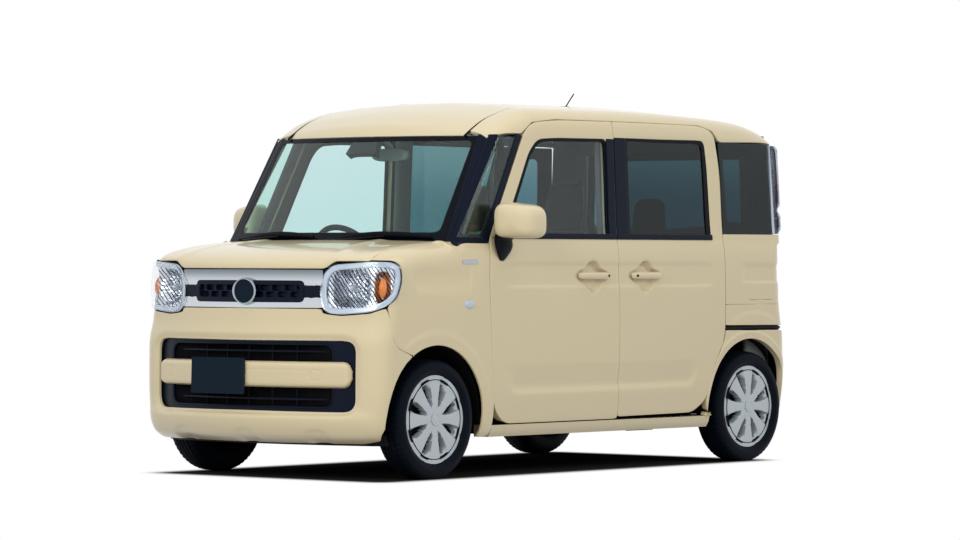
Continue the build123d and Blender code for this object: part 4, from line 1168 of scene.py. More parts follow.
@dataclass
class Fender:
    """A front fender, from the door to the lamp and the bumper's seam, round the wheel."""

    maker: Maker
    finish: dict

    def panel(self) -> tuple:
        """A sector round the wheel's centre, from the arch out to the outline."""
        a0, a1 = math.degrees(math.asin((0.188 - FRONT_ARCH[1]) / ARCH_R)), 120.0
        inner = arc_points(FRONT_ARCH, ARCH_R, a0, a1, 241)
        edge = ((-0.8185, 0.188), (-0.742, 0.188), (-0.7305, 0.312), (-0.7585 - GAP, 0.614),
                (-0.7735 - GAP, 0.935), (-0.7615, 1.092), (-0.990, 1.0970), (-1.030, 1.1100),
                (-1.078, 1.1500), (-1.140, 1.1450), (-1.300, 1.1290), (-1.400, 1.1070), (-1.480, 1.0790),
                (-1.5290, 1.0330), (-1.480, 1.0225), (-1.434, 1.0100), (-1.4080, 0.980), (-1.4030, 0.915),
                (-1.4335, 0.836),
                (-1.486, 0.7985), (-1.4755, 0.729), (-1.463, 0.640), (-1.425, 0.606), tuple(inner[-1]))
        outer = path(edge, (0, 0.01, 0.1, 0.15, 0.1, 0.01, 0.01, 0.01, 0.01, 0.03, 0.05, 0.05, 0.03, 0.006,
                            0.03, 0.02,
                            0.02, 0.03, 0.03, 0.012, 0.05, 0.03, 0.02, 0),
                     (6, 6, 16, 18, 10, 16, 6, 7, 7, 12, 9, 9, 9, 9, 10, 9, 9, 9, 9, 9, 9, 7, 7))
        angle = np.arctan2(outer[:, 1] - FRONT_ARCH[1], outer[:, 0] - FRONT_ARCH[0])
        angle = np.maximum.accumulate(np.clip(angle, math.radians(a0), math.radians(a1)))
        angle = 0.40 * angle + 0.60 * np.linspace(math.radians(a0), math.radians(a1), len(angle))
        inner = np.stack([FRONT_ARCH[0] + ARCH_R * np.cos(angle), FRONT_ARCH[1] + ARCH_R * np.sin(angle)], 1)
        flat = relaxed(sector(inner, outer, crowd(28, (0.0, 0.08, 2.0))))[:, ::-1]
        y, h = flat[..., 0], flat[..., 1]
        depth = 0.0045 * step(0.004, -0.014, box_distance(y, h, -1.316, -0.902, 0.869, 0.966, 0.032))
        reach = np.hypot(y - FRONT_ARCH[0], h - FRONT_ARCH[1]) - ARCH_R
        depth = depth - 0.0028 * (1 - step(0.050, 0.068, reach)) * (0.4 + 0.6 * step(0.0, 0.05, reach))
        return shell(fender_skin(y, h), 0.010, depth=depth)

    def repeater(self) -> tuple:
        """The oval side turn lamp: a dome z = d (1 - r^2) on the fender."""
        angle = full_turn(40)
        r = np.array([0.02, 0.3, 0.55, 0.75, 0.9, 1.0])[:, None]
        y, z = -0.922 + 0.0375 * r * np.cos(angle), 0.804 + 0.0205 * r * np.sin(angle)
        p = side_point(y, z)
        p[..., 0] += 0.0075 * (1 - r ** 4) + 0.001
        back = side_point(y[-1:], z[-1:]) - np.array([0.004, 0, 0])
        return capped(np.concatenate([p, back]))

    def badge(self) -> tuple:
        """A blank bright tab above the fender's recess."""
        sides = quad(((-0.970, 0.991), (-0.860, 0.991), (-0.860, 1.009), (-0.970, 1.009)), 0.004,
                     (0, 1, 2, 3))
        p = on(side_point, coons(*sides, np.linspace(0, 1, 16), np.linspace(0, 1, 8)))
        return shell(p + grid_normals(p) * 0.003, 0.004, 0.001)

    def build(self) -> None:
        """Both fenders with their lamps and badges."""
        f, m = self.finish, self.maker
        both = ("chassis", "chassis")
        m.pair("fender_skin", self.panel(), [f["cream_paint"], f["underbody_black"]], both, Slot.BODY_PAINT)
        m.pair("side_repeater", self.repeater(), [f["lamp_rim"]], both, Slot.LAMP_CLEAR)
        m.pair("fender_badge", self.badge(), [f["bright_chrome"]], both, Slot.CHROME)


@dataclass
class Quarter:
    """A rear quarter: upper panel round the fuel lid, rail cover, slot, and the panel round the wheel."""

    maker: Maker
    finish: dict
    lid: tuple = ((1.290, 0.814), (1.496, 0.814), (1.496, 0.970), (1.290, 0.970))

    @staticmethod
    def skin(s: Array, z: Array) -> Array:
        """The side and the rear corner; s is y on the side, and runs on as arc length past the corner."""
        low, up = FORM.plan(z, False), FORM.plan(z, True)
        w, _, rear, c = (np.where(z > FORM.belt, b, a) for a, b in zip(low, up))
        big = FORM.tail_arc
        start = rear - big + np.sqrt((big - c) ** 2 - (w - c) ** 2)
        turn = np.clip((s - start) / c, 0, math.pi / 2 - 0.1)
        past = np.maximum(s - start - c * (math.pi / 2 - 0.1), 0)
        x = (w - c) + c * np.cos(turn) - past
        y = np.minimum(s, start) + c * np.sin(turn)
        return np.stack([x, y, np.broadcast_to(z, x.shape)], axis=-1)

    def upper(self) -> tuple:
        """The panel from the rail cover up to the glass, with the fuel lid's opening."""
        edge = ((1.0935 + GAP, 0.790), (1.700, 0.790), (1.700, 1.137), (1.0935 + GAP, 1.137))
        parts = (48, 32, 48, 32)
        outer = path(edge, 0.004, parts, True)
        hole = path(inset(self.lid, -GAP), 0.020, parts, True)
        flat = sector(hole, outer, crowd(16, (0.0, 0.1, 1.5)))
        s, z = flat[..., 0], flat[..., 1]
        depth = 0.0045 * step(0.004, -0.014, box_distance(s, z, 1.235, 2.2, 0.895, 0.993, 0.030))
        return hoop(self.skin(s, z), 0.030, depth=depth)

    def lid_panel(self) -> tuple:
        """The fuel lid."""
        sides = quad(self.lid, 0.020, (0, 1, 2, 3))
        flat = coons(*sides, np.linspace(0, 1, 40), np.linspace(0, 1, 34))
        s, z = flat[..., 0], flat[..., 1]
        depth = 0.0045 * step(0.004, -0.014, box_distance(s, z, 1.235, 2.2, 0.895, 0.993, 0.030))
        return shell(self.skin(s, z), 0.012, depth=depth)

    def rail_cover(self) -> tuple:
        """The narrow panel over the sliding door's rail, with a faint bulge."""
        sides = quad(((1.0925 + GAP, 0.688), (1.700, 0.684), (1.700, 0.7865), (1.0930 + GAP, 0.7865)), 0.004,
                     (0, 1, 2, 3))
        flat = coons(*sides, np.linspace(0, 1, 70), np.linspace(0, 1, 22))
        s, z = flat[..., 0], flat[..., 1]
        swell = -0.004 * step(1.0, 0.7, np.hypot((s - 1.335) / 0.235, (z - 0.665) / 0.098))
        return shell(self.skin(s, z), 0.030, depth=swell)

    def slot(self) -> tuple:
        """The dark rail in its slot."""
        sides = quad(((1.093, 0.650), (1.690, 0.650), (1.690, 0.694), (1.093, 0.694)), 0.001, (0, 1, 2, 3))
        flat = coons(*sides, np.linspace(0, 1, 50), np.linspace(0, 1, 14))
        z = flat[..., 1]
        depth = 0.016 - 0.010 * step(0.662, 0.668, z) * (1 - step(0.676, 0.682, z))
        return shell(self.skin(flat[..., 0], z), 0.004, 0.0008, depth=depth)

    def lower(self) -> tuple:
        """A sector round the rear wheel, out to the door, the slot and the tail."""
        z0 = 0.190
        a0 = math.degrees(math.asin((z0 - REAR_ARCH[1]) / ARCH_R))
        a1 = 180.0 - math.degrees(math.asin((0.225 - REAR_ARCH[1]) / ARCH_R))
        edge = ((REAR_ARCH[0] + ARCH_R * math.cos(math.radians(a0)), z0), (1.720, z0), (1.720, 0.6545),
                (1.091 + GAP, 0.6580),
                (1.089 + GAP, 0.624), (1.005 + GAP, 0.497), (0.967, 0.400), (0.941, 0.316),
                (REAR_ARCH[0] + ARCH_R * math.cos(math.radians(a1)), 0.246))
        parts = (8, 40, 48, 6, 16, 9, 9, 11)
        outer = path(edge, (0, 0.004, 0.004, 0.004, 0.1, 0.1, 0.08, 0.02, 0), parts)
        angle = np.unwrap(np.arctan2(outer[:, 1] - REAR_ARCH[1], outer[:, 0] - REAR_ARCH[0]))
        angle = np.maximum.accumulate(np.clip(angle, math.radians(a0), math.radians(a1)))
        angle = 0.7 * angle + 0.3 * np.linspace(math.radians(a0), math.radians(a1), len(angle))
        inner = np.stack([REAR_ARCH[0] + ARCH_R * np.cos(angle), REAR_ARCH[1] + ARCH_R * np.sin(angle)], 1)
        outer[-1] = inner[-1] + np.array([-0.012, 0.0])
        flat = sector(inner, outer, crowd(34, (0.0, 0.08, 2.0)))[:, ::-1]
        s, z = flat[..., 0], flat[..., 1]
        reach = np.hypot(s - REAR_ARCH[0], z - REAR_ARCH[1]) - ARCH_R
        depth = -0.004 * (1 - step(0.030, 0.044, reach)) * (0.4 + 0.6 * step(0.0, 0.03, reach))
        return shell(self.skin(s, z), 0.030, depth=depth)

    def glass(self) -> tuple:
        """The quarter glass, flush, from the door's line to the lamp."""
        edge = ((1.0965, 1.140), (1.520, 1.140), (1.498, 1.594), (1.0790, 1.594), (1.0885, 1.463))
        sides = quad(edge, (0.006, 0.006, 0.006, 0.006, 0.1), (0, 1, 2, 3))
        p = on(side_point, coons(*sides, np.linspace(0, 1, 40), np.linspace(0, 1, 40)))
        return shell(p, 0.0045, 0.0012)

    def frit(self) -> tuple:
        """The dark border behind the quarter glass, round its clear part."""
        parts = (40, 40, 40, 40)
        outer = path(((1.0975, 1.142), (1.518, 1.142), (1.496, 1.592), (1.0800, 1.592)), 0.006, parts, True)
        inner = path(((1.140, 1.198), (1.395, 1.198), (1.378, 1.535), (1.118, 1.535)), 0.035, parts, True)
        flat = sector(inner, outer, np.linspace(0, 1, 6))
        return hoop(on(side_point, flat) - np.array([0.0056, 0, 0]), 0.002, 0.0006)

    def build(self) -> None:
        """Both quarters; the fuel lid is on the left only."""
        f, m = self.finish, self.maker
        both = ("chassis", "chassis")
        paint = [f["cream_paint"], f["trim_black"]]
        m.pair("quarter_upper", self.upper(), paint, both, Slot.BODY_PAINT)
        m.put("fuel_lid_skin", self.lid_panel(), paint, "fuel_flap", Slot.BODY_PAINT, ("fuel_lid",))
        m.put("fuel_blank_right", flipped(self.lid_panel()), paint, "chassis", Slot.BODY_PAINT)
        m.pair("rail_cover", self.rail_cover(), paint, both, Slot.BODY_PAINT)
        m.pair("door_rail", self.slot(), [f["trim_black"]], both, Slot.BLACK_PLASTIC)
        m.pair("quarter_lower", self.lower(), paint, both, Slot.BODY_PAINT)
        m.pair("quarter_pane", self.glass(), [f["privacy_glass"]], both, Slot.GLASS,
               (("side_glass",), ("side_glass",)))
        m.pair("quarter_frit", self.frit(), [f["frit_black"]], both, Slot.BLACK_PLASTIC)


@dataclass
class RoofAndSills:
    """The roof with its side strips and ditches, and the sills."""

    maker: Maker
    finish: dict

    def roof(self) -> tuple:
        """The roof panel between the ditches, with four long beads."""
        u, v = np.linspace(-1, 1, 77), crowd(90, (0.0, 0.06, 4.0), (0.95, 0.06, 2.0))
        x = 0.5485 * u[None, :] + 0 * v[:, None]
        sag_front = FORM.screen_arc - np.sqrt(FORM.screen_arc ** 2 - x ** 2)
        y0 = np.interp(1.595, [r[0] for r in FORM.house],
                       [r[2] for r in FORM.house]) - FORM.half_length + sag_front
        y1 = 1.612 - 0.02 * u[None, :] ** 2
        y = y0 + (y1 - y0) * v[:, None]
        z = FORM.roof_top(x, y)
        beads = sum(np.exp(-((x - b) / 0.012) ** 2) for b in (-0.40, -0.14, 0.14, 0.40))
        z = z + 0.003 * beads * step(-0.45, -0.35, y) * (1 - step(1.25, 1.35, y))
        return shell(np.stack([x, y, z], axis=-1), 0.018)

    def rail_strip(self) -> tuple:
        """The painted strip outside the ditch: over the doors, from the screen to the tail."""
        y = np.linspace(-0.700, 1.600, 130)
        z0 = FORM.crown(FORM.roof_rail, y, FORM.roof, FORM.roof_rail)[2] - 0.035
        low_edge = np.interp(y, (-0.700, -0.490, -0.395, -0.212, 0.940, 1.045, 1.088, 1.092, 1.6),
                             (1.596, 1.598, 1.6545, 1.6735, 1.6745, 1.646, 1.597, 1.5965, 1.5965))
        top = z0 + 0.175 + (0.600 - 0.5555)
        low = np.maximum(low_edge, z0 - 0.3)
        v = np.linspace(0, 1, 18)[:, None]
        h = low[None] * (1 - v) + top[None] * v
        return shell(FORM.flank(np.broadcast_to(y, h.shape), h), 0.016)

    def ditch(self) -> tuple:
        """The black moulding in the ditch: wide at the screen, thin further back."""
        y = np.linspace(-0.735, 1.585, 120)
        half = 0.0030 + 0.0035 * (1 - step(-0.72, -0.45, y))
        z = FORM.crown(0.552, y, FORM.roof, FORM.roof_rail)[0] - 0.0035
        return tube(np.stack([np.full_like(y, 0.552), y, z], 1), half, 10, 0.9)

    def sill(self) -> tuple:
        """The sill under the doors: a rounded section carried along."""
        y = np.linspace(-0.735, 0.985, 80)
        section = np.array([(0.0, 0.2385), (0.0, 0.215), (-0.012, 0.196), (-0.032, 0.184), (-0.110, 0.182),
                            (-0.110, 0.2385)])
        line, _ = rounded(section, (0.003, 0.012, 0.012, 0.012, 0.003, 0.003), True)
        ring = walk(line, np.linspace(0, 1, 40, endpoint=False) * outline_length(line))
        base = FORM.side_x(0.0, np.maximum(ring[:, 1], 0.182))
        x = np.where(ring[:, 0] > -0.06, base - 0.002, 0.61)
        p = np.stack([np.broadcast_to(x, (80, 40)), np.broadcast_to(y[:, None], (80, 40)),
                      np.broadcast_to(ring[:, 1], (80, 40))], axis=-1)
        return capped(p)

    def build(self) -> None:
        """Roof, strips, ditches and sills."""
        f, m = self.finish, self.maker
        both = ("chassis", "chassis")
        paint = [f["cream_paint"], f["headlining"]]
        m.put("roof_skin", self.roof(), paint, "chassis", Slot.BODY_PAINT, ("roof_panel",))
        m.pair("roof_rail_strip", self.rail_strip(), paint, both, Slot.BODY_PAINT)
        m.pair("roof_ditch", self.ditch(), [f["trim_black"]], both, Slot.BLACK_PLASTIC)
        m.pair("sill_skin", self.sill(), [f["cream_paint"]], both, Slot.BODY_PAINT)


# ---------------------------------------------------------------- the nose
LAMP_EDGE = ((0.4385, 0.945), (0.485, 0.987), (0.668, 1.001), (0.776, 0.999), (0.8225, 0.974),
             (0.8305, 0.915), (0.803, 0.842), (0.750, 0.795), (0.676, 0.769), (0.534, 0.758), (0.466, 0.764),
             (0.4335, 0.792), (0.423, 0.866))


@dataclass
class Bumper:
    """The front bumper with its opening, the grille behind it, the painted bar and the blank plate."""

    maker: Maker
    finish: dict
    opening: tuple = ((-0.626, 0.315), (0.626, 0.315), (0.626, 0.645), (-0.626, 0.645))

    def skin_panel(self) -> tuple:
        """The painted cover: a hoop from the opening's edge out to lamps, seams and arches."""
        def seam(y: float, z: float) -> tuple[float, float]:
            """A point of the seam as loop distance and height."""
            return float(FORM.wrap_from_y(np.array(y), np.array(z))), z

        half = [(0.0, 0.7835), (0.428, 0.7835), (0.4335, 0.765), (0.466, 0.7585), (0.534, 0.7525),
                (0.676, 0.7635),
                (0.7475, 0.7880), seam(-1.4790, 0.729), seam(-1.4665, 0.640),
                seam(-1.428, 0.603), seam(-1.330, 0.569)]
        arch = arc_points(FRONT_ARCH, ARCH_R, 121.0, 194.5, 9)
        half += [seam(*p) for p in arch[1:]]
        half += [(half[-1][0] - 0.040, 0.1855), (0.62, 0.180), (0.0, 0.178)]
        ring = np.array(half[::-1] + [(-a, b) for a, b in half[1:-1]])
        steps = [max(4, int(math.dist(a, b) / 0.018)) for a, b in zip(half, half[1:])]
        outer = path(ring, 0.01, steps[::-1] + steps, True)
        angle = np.unwrap(np.arctan2(outer[:, 1] - 0.48, outer[:, 0]))
        line, _ = rounded(self.opening, 0.065, True)
        dense = walk(line, np.linspace(0, outline_length(line), 1600))
        around = np.unwrap(np.arctan2(dense[:, 1] - 0.48, dense[:, 0]))
        inner = np.stack([np.interp(angle, around, dense[:, k], period=2 * math.pi) for k in (0, 1)], 1)
        flat = sector(inner, outer, crowd(26, (0.0, 0.06, 4.0), (1.0, 0.05, 1.0)))
        s, z = flat[..., 0], flat[..., 1]
        p = FORM.wrap(s, z)
        depth = np.zeros_like(s)
        for centre in (-0.40, 0.02, 0.42):
            depth += 0.0045 * step(1.15, 0.70, np.hypot((s - centre) / 0.062, (z - 0.204) / 0.036))
        lip = box_distance(s, z, -0.626, 0.626, 0.315, 0.645, 0.065)
        depth += 0.014 * step(0.030, 0.0, lip)
        ends = 1 - step(0.62, 0.75, np.abs(s))
        depth -= 0.010 * step(0.10, 0.05, np.abs(z - 0.235)) * ends * step(0.0, 0.02, lip)
        return hoop(p, 0.012, depth=depth)

    def chin(self) -> tuple:
        """The black strip under the bumper."""
        s, z = np.linspace(-0.70, 0.70, 90), np.linspace(0.164, 0.184, 6)
        grid_s, grid_z = np.meshgrid(s, z)
        p = FORM.wrap(grid_s, np.maximum(grid_z, 0.178))
        p[..., 2] = grid_z
        p[..., 1] += 0.045
        return shell(p, 0.03, 0.003)

    def surround(self) -> tuple:
        """The dark panels inside the opening, out to its edge and in to the rounded frame."""
        parts = (60, 30, 60, 30)
        outer = path(((-0.640, 0.300), (0.640, 0.300), (0.640, 0.660), (-0.640, 0.660)), 0.070, parts, True)
        inner = path(((-0.505, 0.330), (0.505, 0.330), (0.505, 0.628), (-0.505, 0.628)), 0.060, parts, True)
        flat = sector(inner, outer, np.linspace(0, 1, 10))
        s, z = flat[..., 0], flat[..., 1]
        p = FORM.wrap(s, z)
        p[..., 1] += 0.026 + 0.012 * step(0.50, 0.62, np.abs(s))
        return hoop(p, 0.02, 0.003)

    def frame(self) -> tuple:
        """The rounded rib round the inner opening: a round bar along its outline."""
        loop = path(((-0.500, 0.335), (0.500, 0.335), (0.500, 0.624), (-0.500, 0.624)), 0.055,
                    (60, 24, 60, 24), True)
        centre = FORM.wrap(loop[:, 0], loop[:, 1]) + np.array([0, 0.030, 0])
        along = unit(np.roll(centre, -1, 0) - np.roll(centre, 1, 0))
        out = unit(np.cross(along, np.array([[0, -1.0, 0]])))
        a = full_turn(12)[None, :, None]
        p = centre[:, None] + 0.0055 * (np.cos(a) * out[:, None] + np.sin(a) * np.array([[[0, -1.6, 0]]]))
        return outward((p.reshape(-1, 3), list(map(tuple, grid_faces(len(loop), 12, True, True)))))

    def slats(self) -> tuple:
        """Thin level slats and uprights across the inner opening, with a mesh of small ribs behind."""
        bars = []
        for z, half in ((0.590, 0.485), (0.372, 0.485)):
            s = np.linspace(-half, half, 50)
            p = FORM.wrap(s, np.full_like(s, z)) + np.array([0, 0.052, 0])
            bars.append(outward(tube(p, 0.0026, 8, 1.8)))
        for s0 in np.linspace(-0.42, 0.42, 7):
            z = np.linspace(0.338, 0.620, 12)
            p = FORM.wrap(np.full_like(z, s0), z) + np.array([0, 0.068, 0])
            bars.append(outward(tube(p, 0.003, 6, 1.4)))
        return joined(*bars)

    def backing(self) -> tuple:
        """The dark cooler core behind the slats, with its fins as shallow waves."""
        x, z = np.meshgrid(np.linspace(-0.52, 0.52, 200), np.linspace(0.320, 0.640, 8))
        y = -1.598 + 0.0025 * np.sign(np.sin(x * 420)) + 0.02 * np.abs(x)
        return shell(np.stack([x, y, z], axis=-1), 0.01, 0.002)

    def bar(self) -> tuple:
        """The painted bar with round ends, proud of the surround: depth falls as 1 - |v|^4 to its edges."""
        u, v = np.linspace(-1, 1, 120), np.linspace(-1, 1, 30)
        uu, vv = np.meshgrid(u, v)
        half_s, half_z, r = 0.598, 0.0595, 0.046
        tip = np.maximum(np.abs(uu) * half_s - (half_s - r), 0) / r
        z = 0.485 + vv * (half_z - r + r * np.sqrt(np.maximum(1 - tip ** 2.2, 0.0)))
        s = uu * half_s
        p = FORM.wrap(s, z)
        edge = np.maximum(np.abs(vv) ** 8, tip ** 6)
        p[..., 1] += 0.001 + 0.020 * edge
        p[..., 1] += 0.0012 * step(0.006, 0.0, np.abs(z - 0.506)) * (1 - step(0.36, 0.40, np.abs(s)))
        groove = np.abs(box_distance(s, z, 0.398, 0.450, 0.460, 0.508, 0.012))
        p[..., 1] += 0.0025 * step(0.0035, 0.0010, groove) + 0.0018 * step(0.0045, 0.002, np.abs(
            box_distance(s, z, -0.525, -0.478, 0.462, 0.510, 0.014)))
        return shell(p, 0.024, 0.004)

    def plate(self) -> tuple:
        """The blank plate: an oblong with small round corners and a raised border, 8 degrees back."""
        sides = quad(((-0.291, 0.392), (0.039, 0.392), (0.039, 0.557), (-0.291, 0.557)), 0.006, (0, 1, 2, 3))
        flat = coons(*sides, crowd(44, (0, .03, 4), (1, .03, 4)), crowd(22, (0, .05, 3), (1, .05, 3)))
        x, z = flat[..., 0], flat[..., 1]
        y = np.full_like(x, -1.7005) + 0.03 * (z - 0.474)
        rim = box_distance(x, z, -0.291, 0.039, 0.392, 0.557, 0.006)
        y = y - 0.0012 * step(-0.007, -0.005, rim)
        return shell(np.stack([x, y, z], axis=-1), 0.0025, 0.0008)

    def build(self) -> None:
        """The whole bumper."""
        f, m = self.finish, self.maker
        paint = [f["cream_paint"], f["underbody_black"]]
        m.put("bumper_skin", self.skin_panel(), paint, "chassis", Slot.BODY_PAINT, ("front_bumper",))
        m.put("bumper_chin", self.chin(), [f["trim_black"]], "chassis", Slot.BLACK_PLASTIC)
        m.put("grille_surround", self.surround(), [f["grille_black"]], "chassis", Slot.BLACK_PLASTIC,
              ("lower_grille",))
        m.put("grille_rib", self.frame(), [f["grille_black"]], "chassis", Slot.BLACK_PLASTIC)
        m.put("grille_slats", self.slats(), [f["grille_black"]], "chassis", Slot.BLACK_PLASTIC)
        m.put("cooler_core", self.backing(), [f["underbody_black"]], "chassis", Slot.UNDERBODY)
        m.put("bumper_bar_skin", self.bar(), [f["cream_paint"]], "chassis", Slot.BODY_PAINT, ("bumper_bar",))
        m.put("plate_front", self.plate(), [f["plate_black"]], "chassis", Slot.BLACK_PLASTIC)


@dataclass
class UpperGrille:
    """The bright grille bar between the lamps, with a dark slot and a blank oval."""

    maker: Maker
    finish: dict

    def bar(self) -> tuple:
        """A bright hoop round the slot, bowed with the nose and leaning a little."""
        parts = (60, 20, 60, 20)
        outer = path(((-0.430, 0.7900), (0.430, 0.7900), (0.430, 0.962), (-0.430, 0.962)), 0.006, parts, True)
        inner = path(((-0.322, 0.821), (0.322, 0.821), (0.322, 0.907), (-0.322, 0.907)), 0.018, parts, True)
        flat = sector(inner, outer, np.linspace(0, 1, 12))
        x, z = flat[..., 0], flat[..., 1]
        y = FORM.nose_y(x, z)
        y = y + 0.006 * step(0.93, 0.90, z) * step(0.78, 0.83, z) - 0.002
        side = step(0.318, 0.332, np.abs(x)) * step(0.836, 0.841, z) * (1 - step(0.886, 0.891, z))
        return hoop(np.stack([x, y + 0.010 * side, z], axis=-1), 0.016, 0.002)

    def back(self) -> tuple:
        """The black panel behind the bar, which shows as a thin line round it."""
        x, z = np.meshgrid(np.linspace(-0.448, 0.448, 60), np.linspace(0.7815, 0.9715, 12))
        return shell(np.stack([x, FORM.nose_y(x, z) + 0.009 + 0.05 * step(0.31, 0.30, np.abs(x)), z],
                              axis=-1), 0.006, 0.001)

    def wings(self) -> tuple:
        """The narrow dark bands from the slot out to the lamps."""
        both = []
        for sign in (-1, 1):
            u, v = np.meshgrid(np.linspace(0.318, 0.436, 20), np.linspace(0.840, 0.888, 8))
            x = sign * (u if sign > 0 else u[:, ::-1])
            both.append(shell(np.stack([x, FORM.nose_y(x, v) + 0.0035, v], axis=-1), 0.008, 0.001))
        return joined(*both)

    def frame(self) -> tuple:
        """The slot's own dark frame with round corners."""
        parts = (70, 14, 70, 14)
        outer = path(((-0.330, 0.816), (0.330, 0.816), (0.330, 0.912), (-0.330, 0.912)), 0.024, parts, True)
        inner = path(((-0.312, 0.834), (0.312, 0.834), (0.312, 0.896), (-0.312, 0.896)), 0.016, parts, True)
        flat = sector(inner, outer, np.linspace(0, 1, 6))
        x, z = flat[..., 0], flat[..., 1]
        return hoop(np.stack([x, FORM.nose_y(x, z) + 0.000, z], axis=-1), 0.022, 0.003)

    def mesh(self) -> tuple:
        """The pierced insert: hollows at the points of a staggered grid."""
        x, z = np.meshgrid(np.linspace(-0.316, 0.316, 170), np.linspace(0.830, 0.900, 20))
        k = np.where(z > 0.8655, 0.0, 0.5)
        cell = np.abs(np.mod(x / 0.070 + k, 1.0) - 0.5) * 0.070
        row = np.abs(z - np.where(z > 0.8655, 0.881, 0.849))
        hollow = step(1.15, 0.80, (cell / 0.026) ** 3 + (row / 0.0125) ** 3)
        return shell(np.stack([x, FORM.nose_y(x, z) + 0.012 + 0.020 * hollow, z], axis=-1), 0.012, 0.002)

    def oval(self) -> list[tuple]:
        """The blank oval: a bright ring round a dark dished face."""
        angle = full_turn(72)
        r = np.array([0.02, 0.35, 0.7, 0.80, 0.84, 0.86, 0.90, 0.95, 0.985, 1.0, 1.0])[:, None]
        y = np.array([0.004, 0.0045, 0.006, 0.0065, 0.005, 0.0, -0.0035, -0.0035, 0.0, 0.005, 0.014])[:, None]
        x = 0.0725 * r * np.cos(angle)
        z = 0.864 + 0.061 * r * np.sin(angle)
        p = np.stack([x, np.broadcast_to(-1.662 + y, x.shape), z], axis=-1)
        faces = grid_faces(11, 72, False, True)
        faces = list(map(tuple, faces)) + [tuple(range(72)), tuple(range(720, 792))[::-1]]
        marks = np.concatenate([(np.repeat(np.arange(10), 72) < 4).astype(int), [1, 0]])
        return [outward((p.reshape(-1, 3), faces, marks))]

    def build(self) -> None:
        """The grille bar."""
        f, m = self.finish, self.maker
        m.put("grille_back", self.back(), [f["trim_black"]], "chassis", Slot.BLACK_PLASTIC)
        m.put("grille_bar", self.bar(), [f["grille_chrome"], f["trim_black"]], "chassis", Slot.CHROME,
              ("upper_grille",))
        m.put("grille_wings", self.wings(), [f["grille_black"]], "chassis", Slot.BLACK_PLASTIC)
        m.put("grille_frame", self.frame(), [f["grille_black"]], "chassis", Slot.BLACK_PLASTIC)
        m.put("grille_mesh", self.mesh(), [f["grille_black"]], "chassis", Slot.BLACK_PLASTIC)
        m.put("blank_oval", self.oval()[0], [f["bright_chrome"], f["plate_black"]], "chassis", Slot.CHROME)


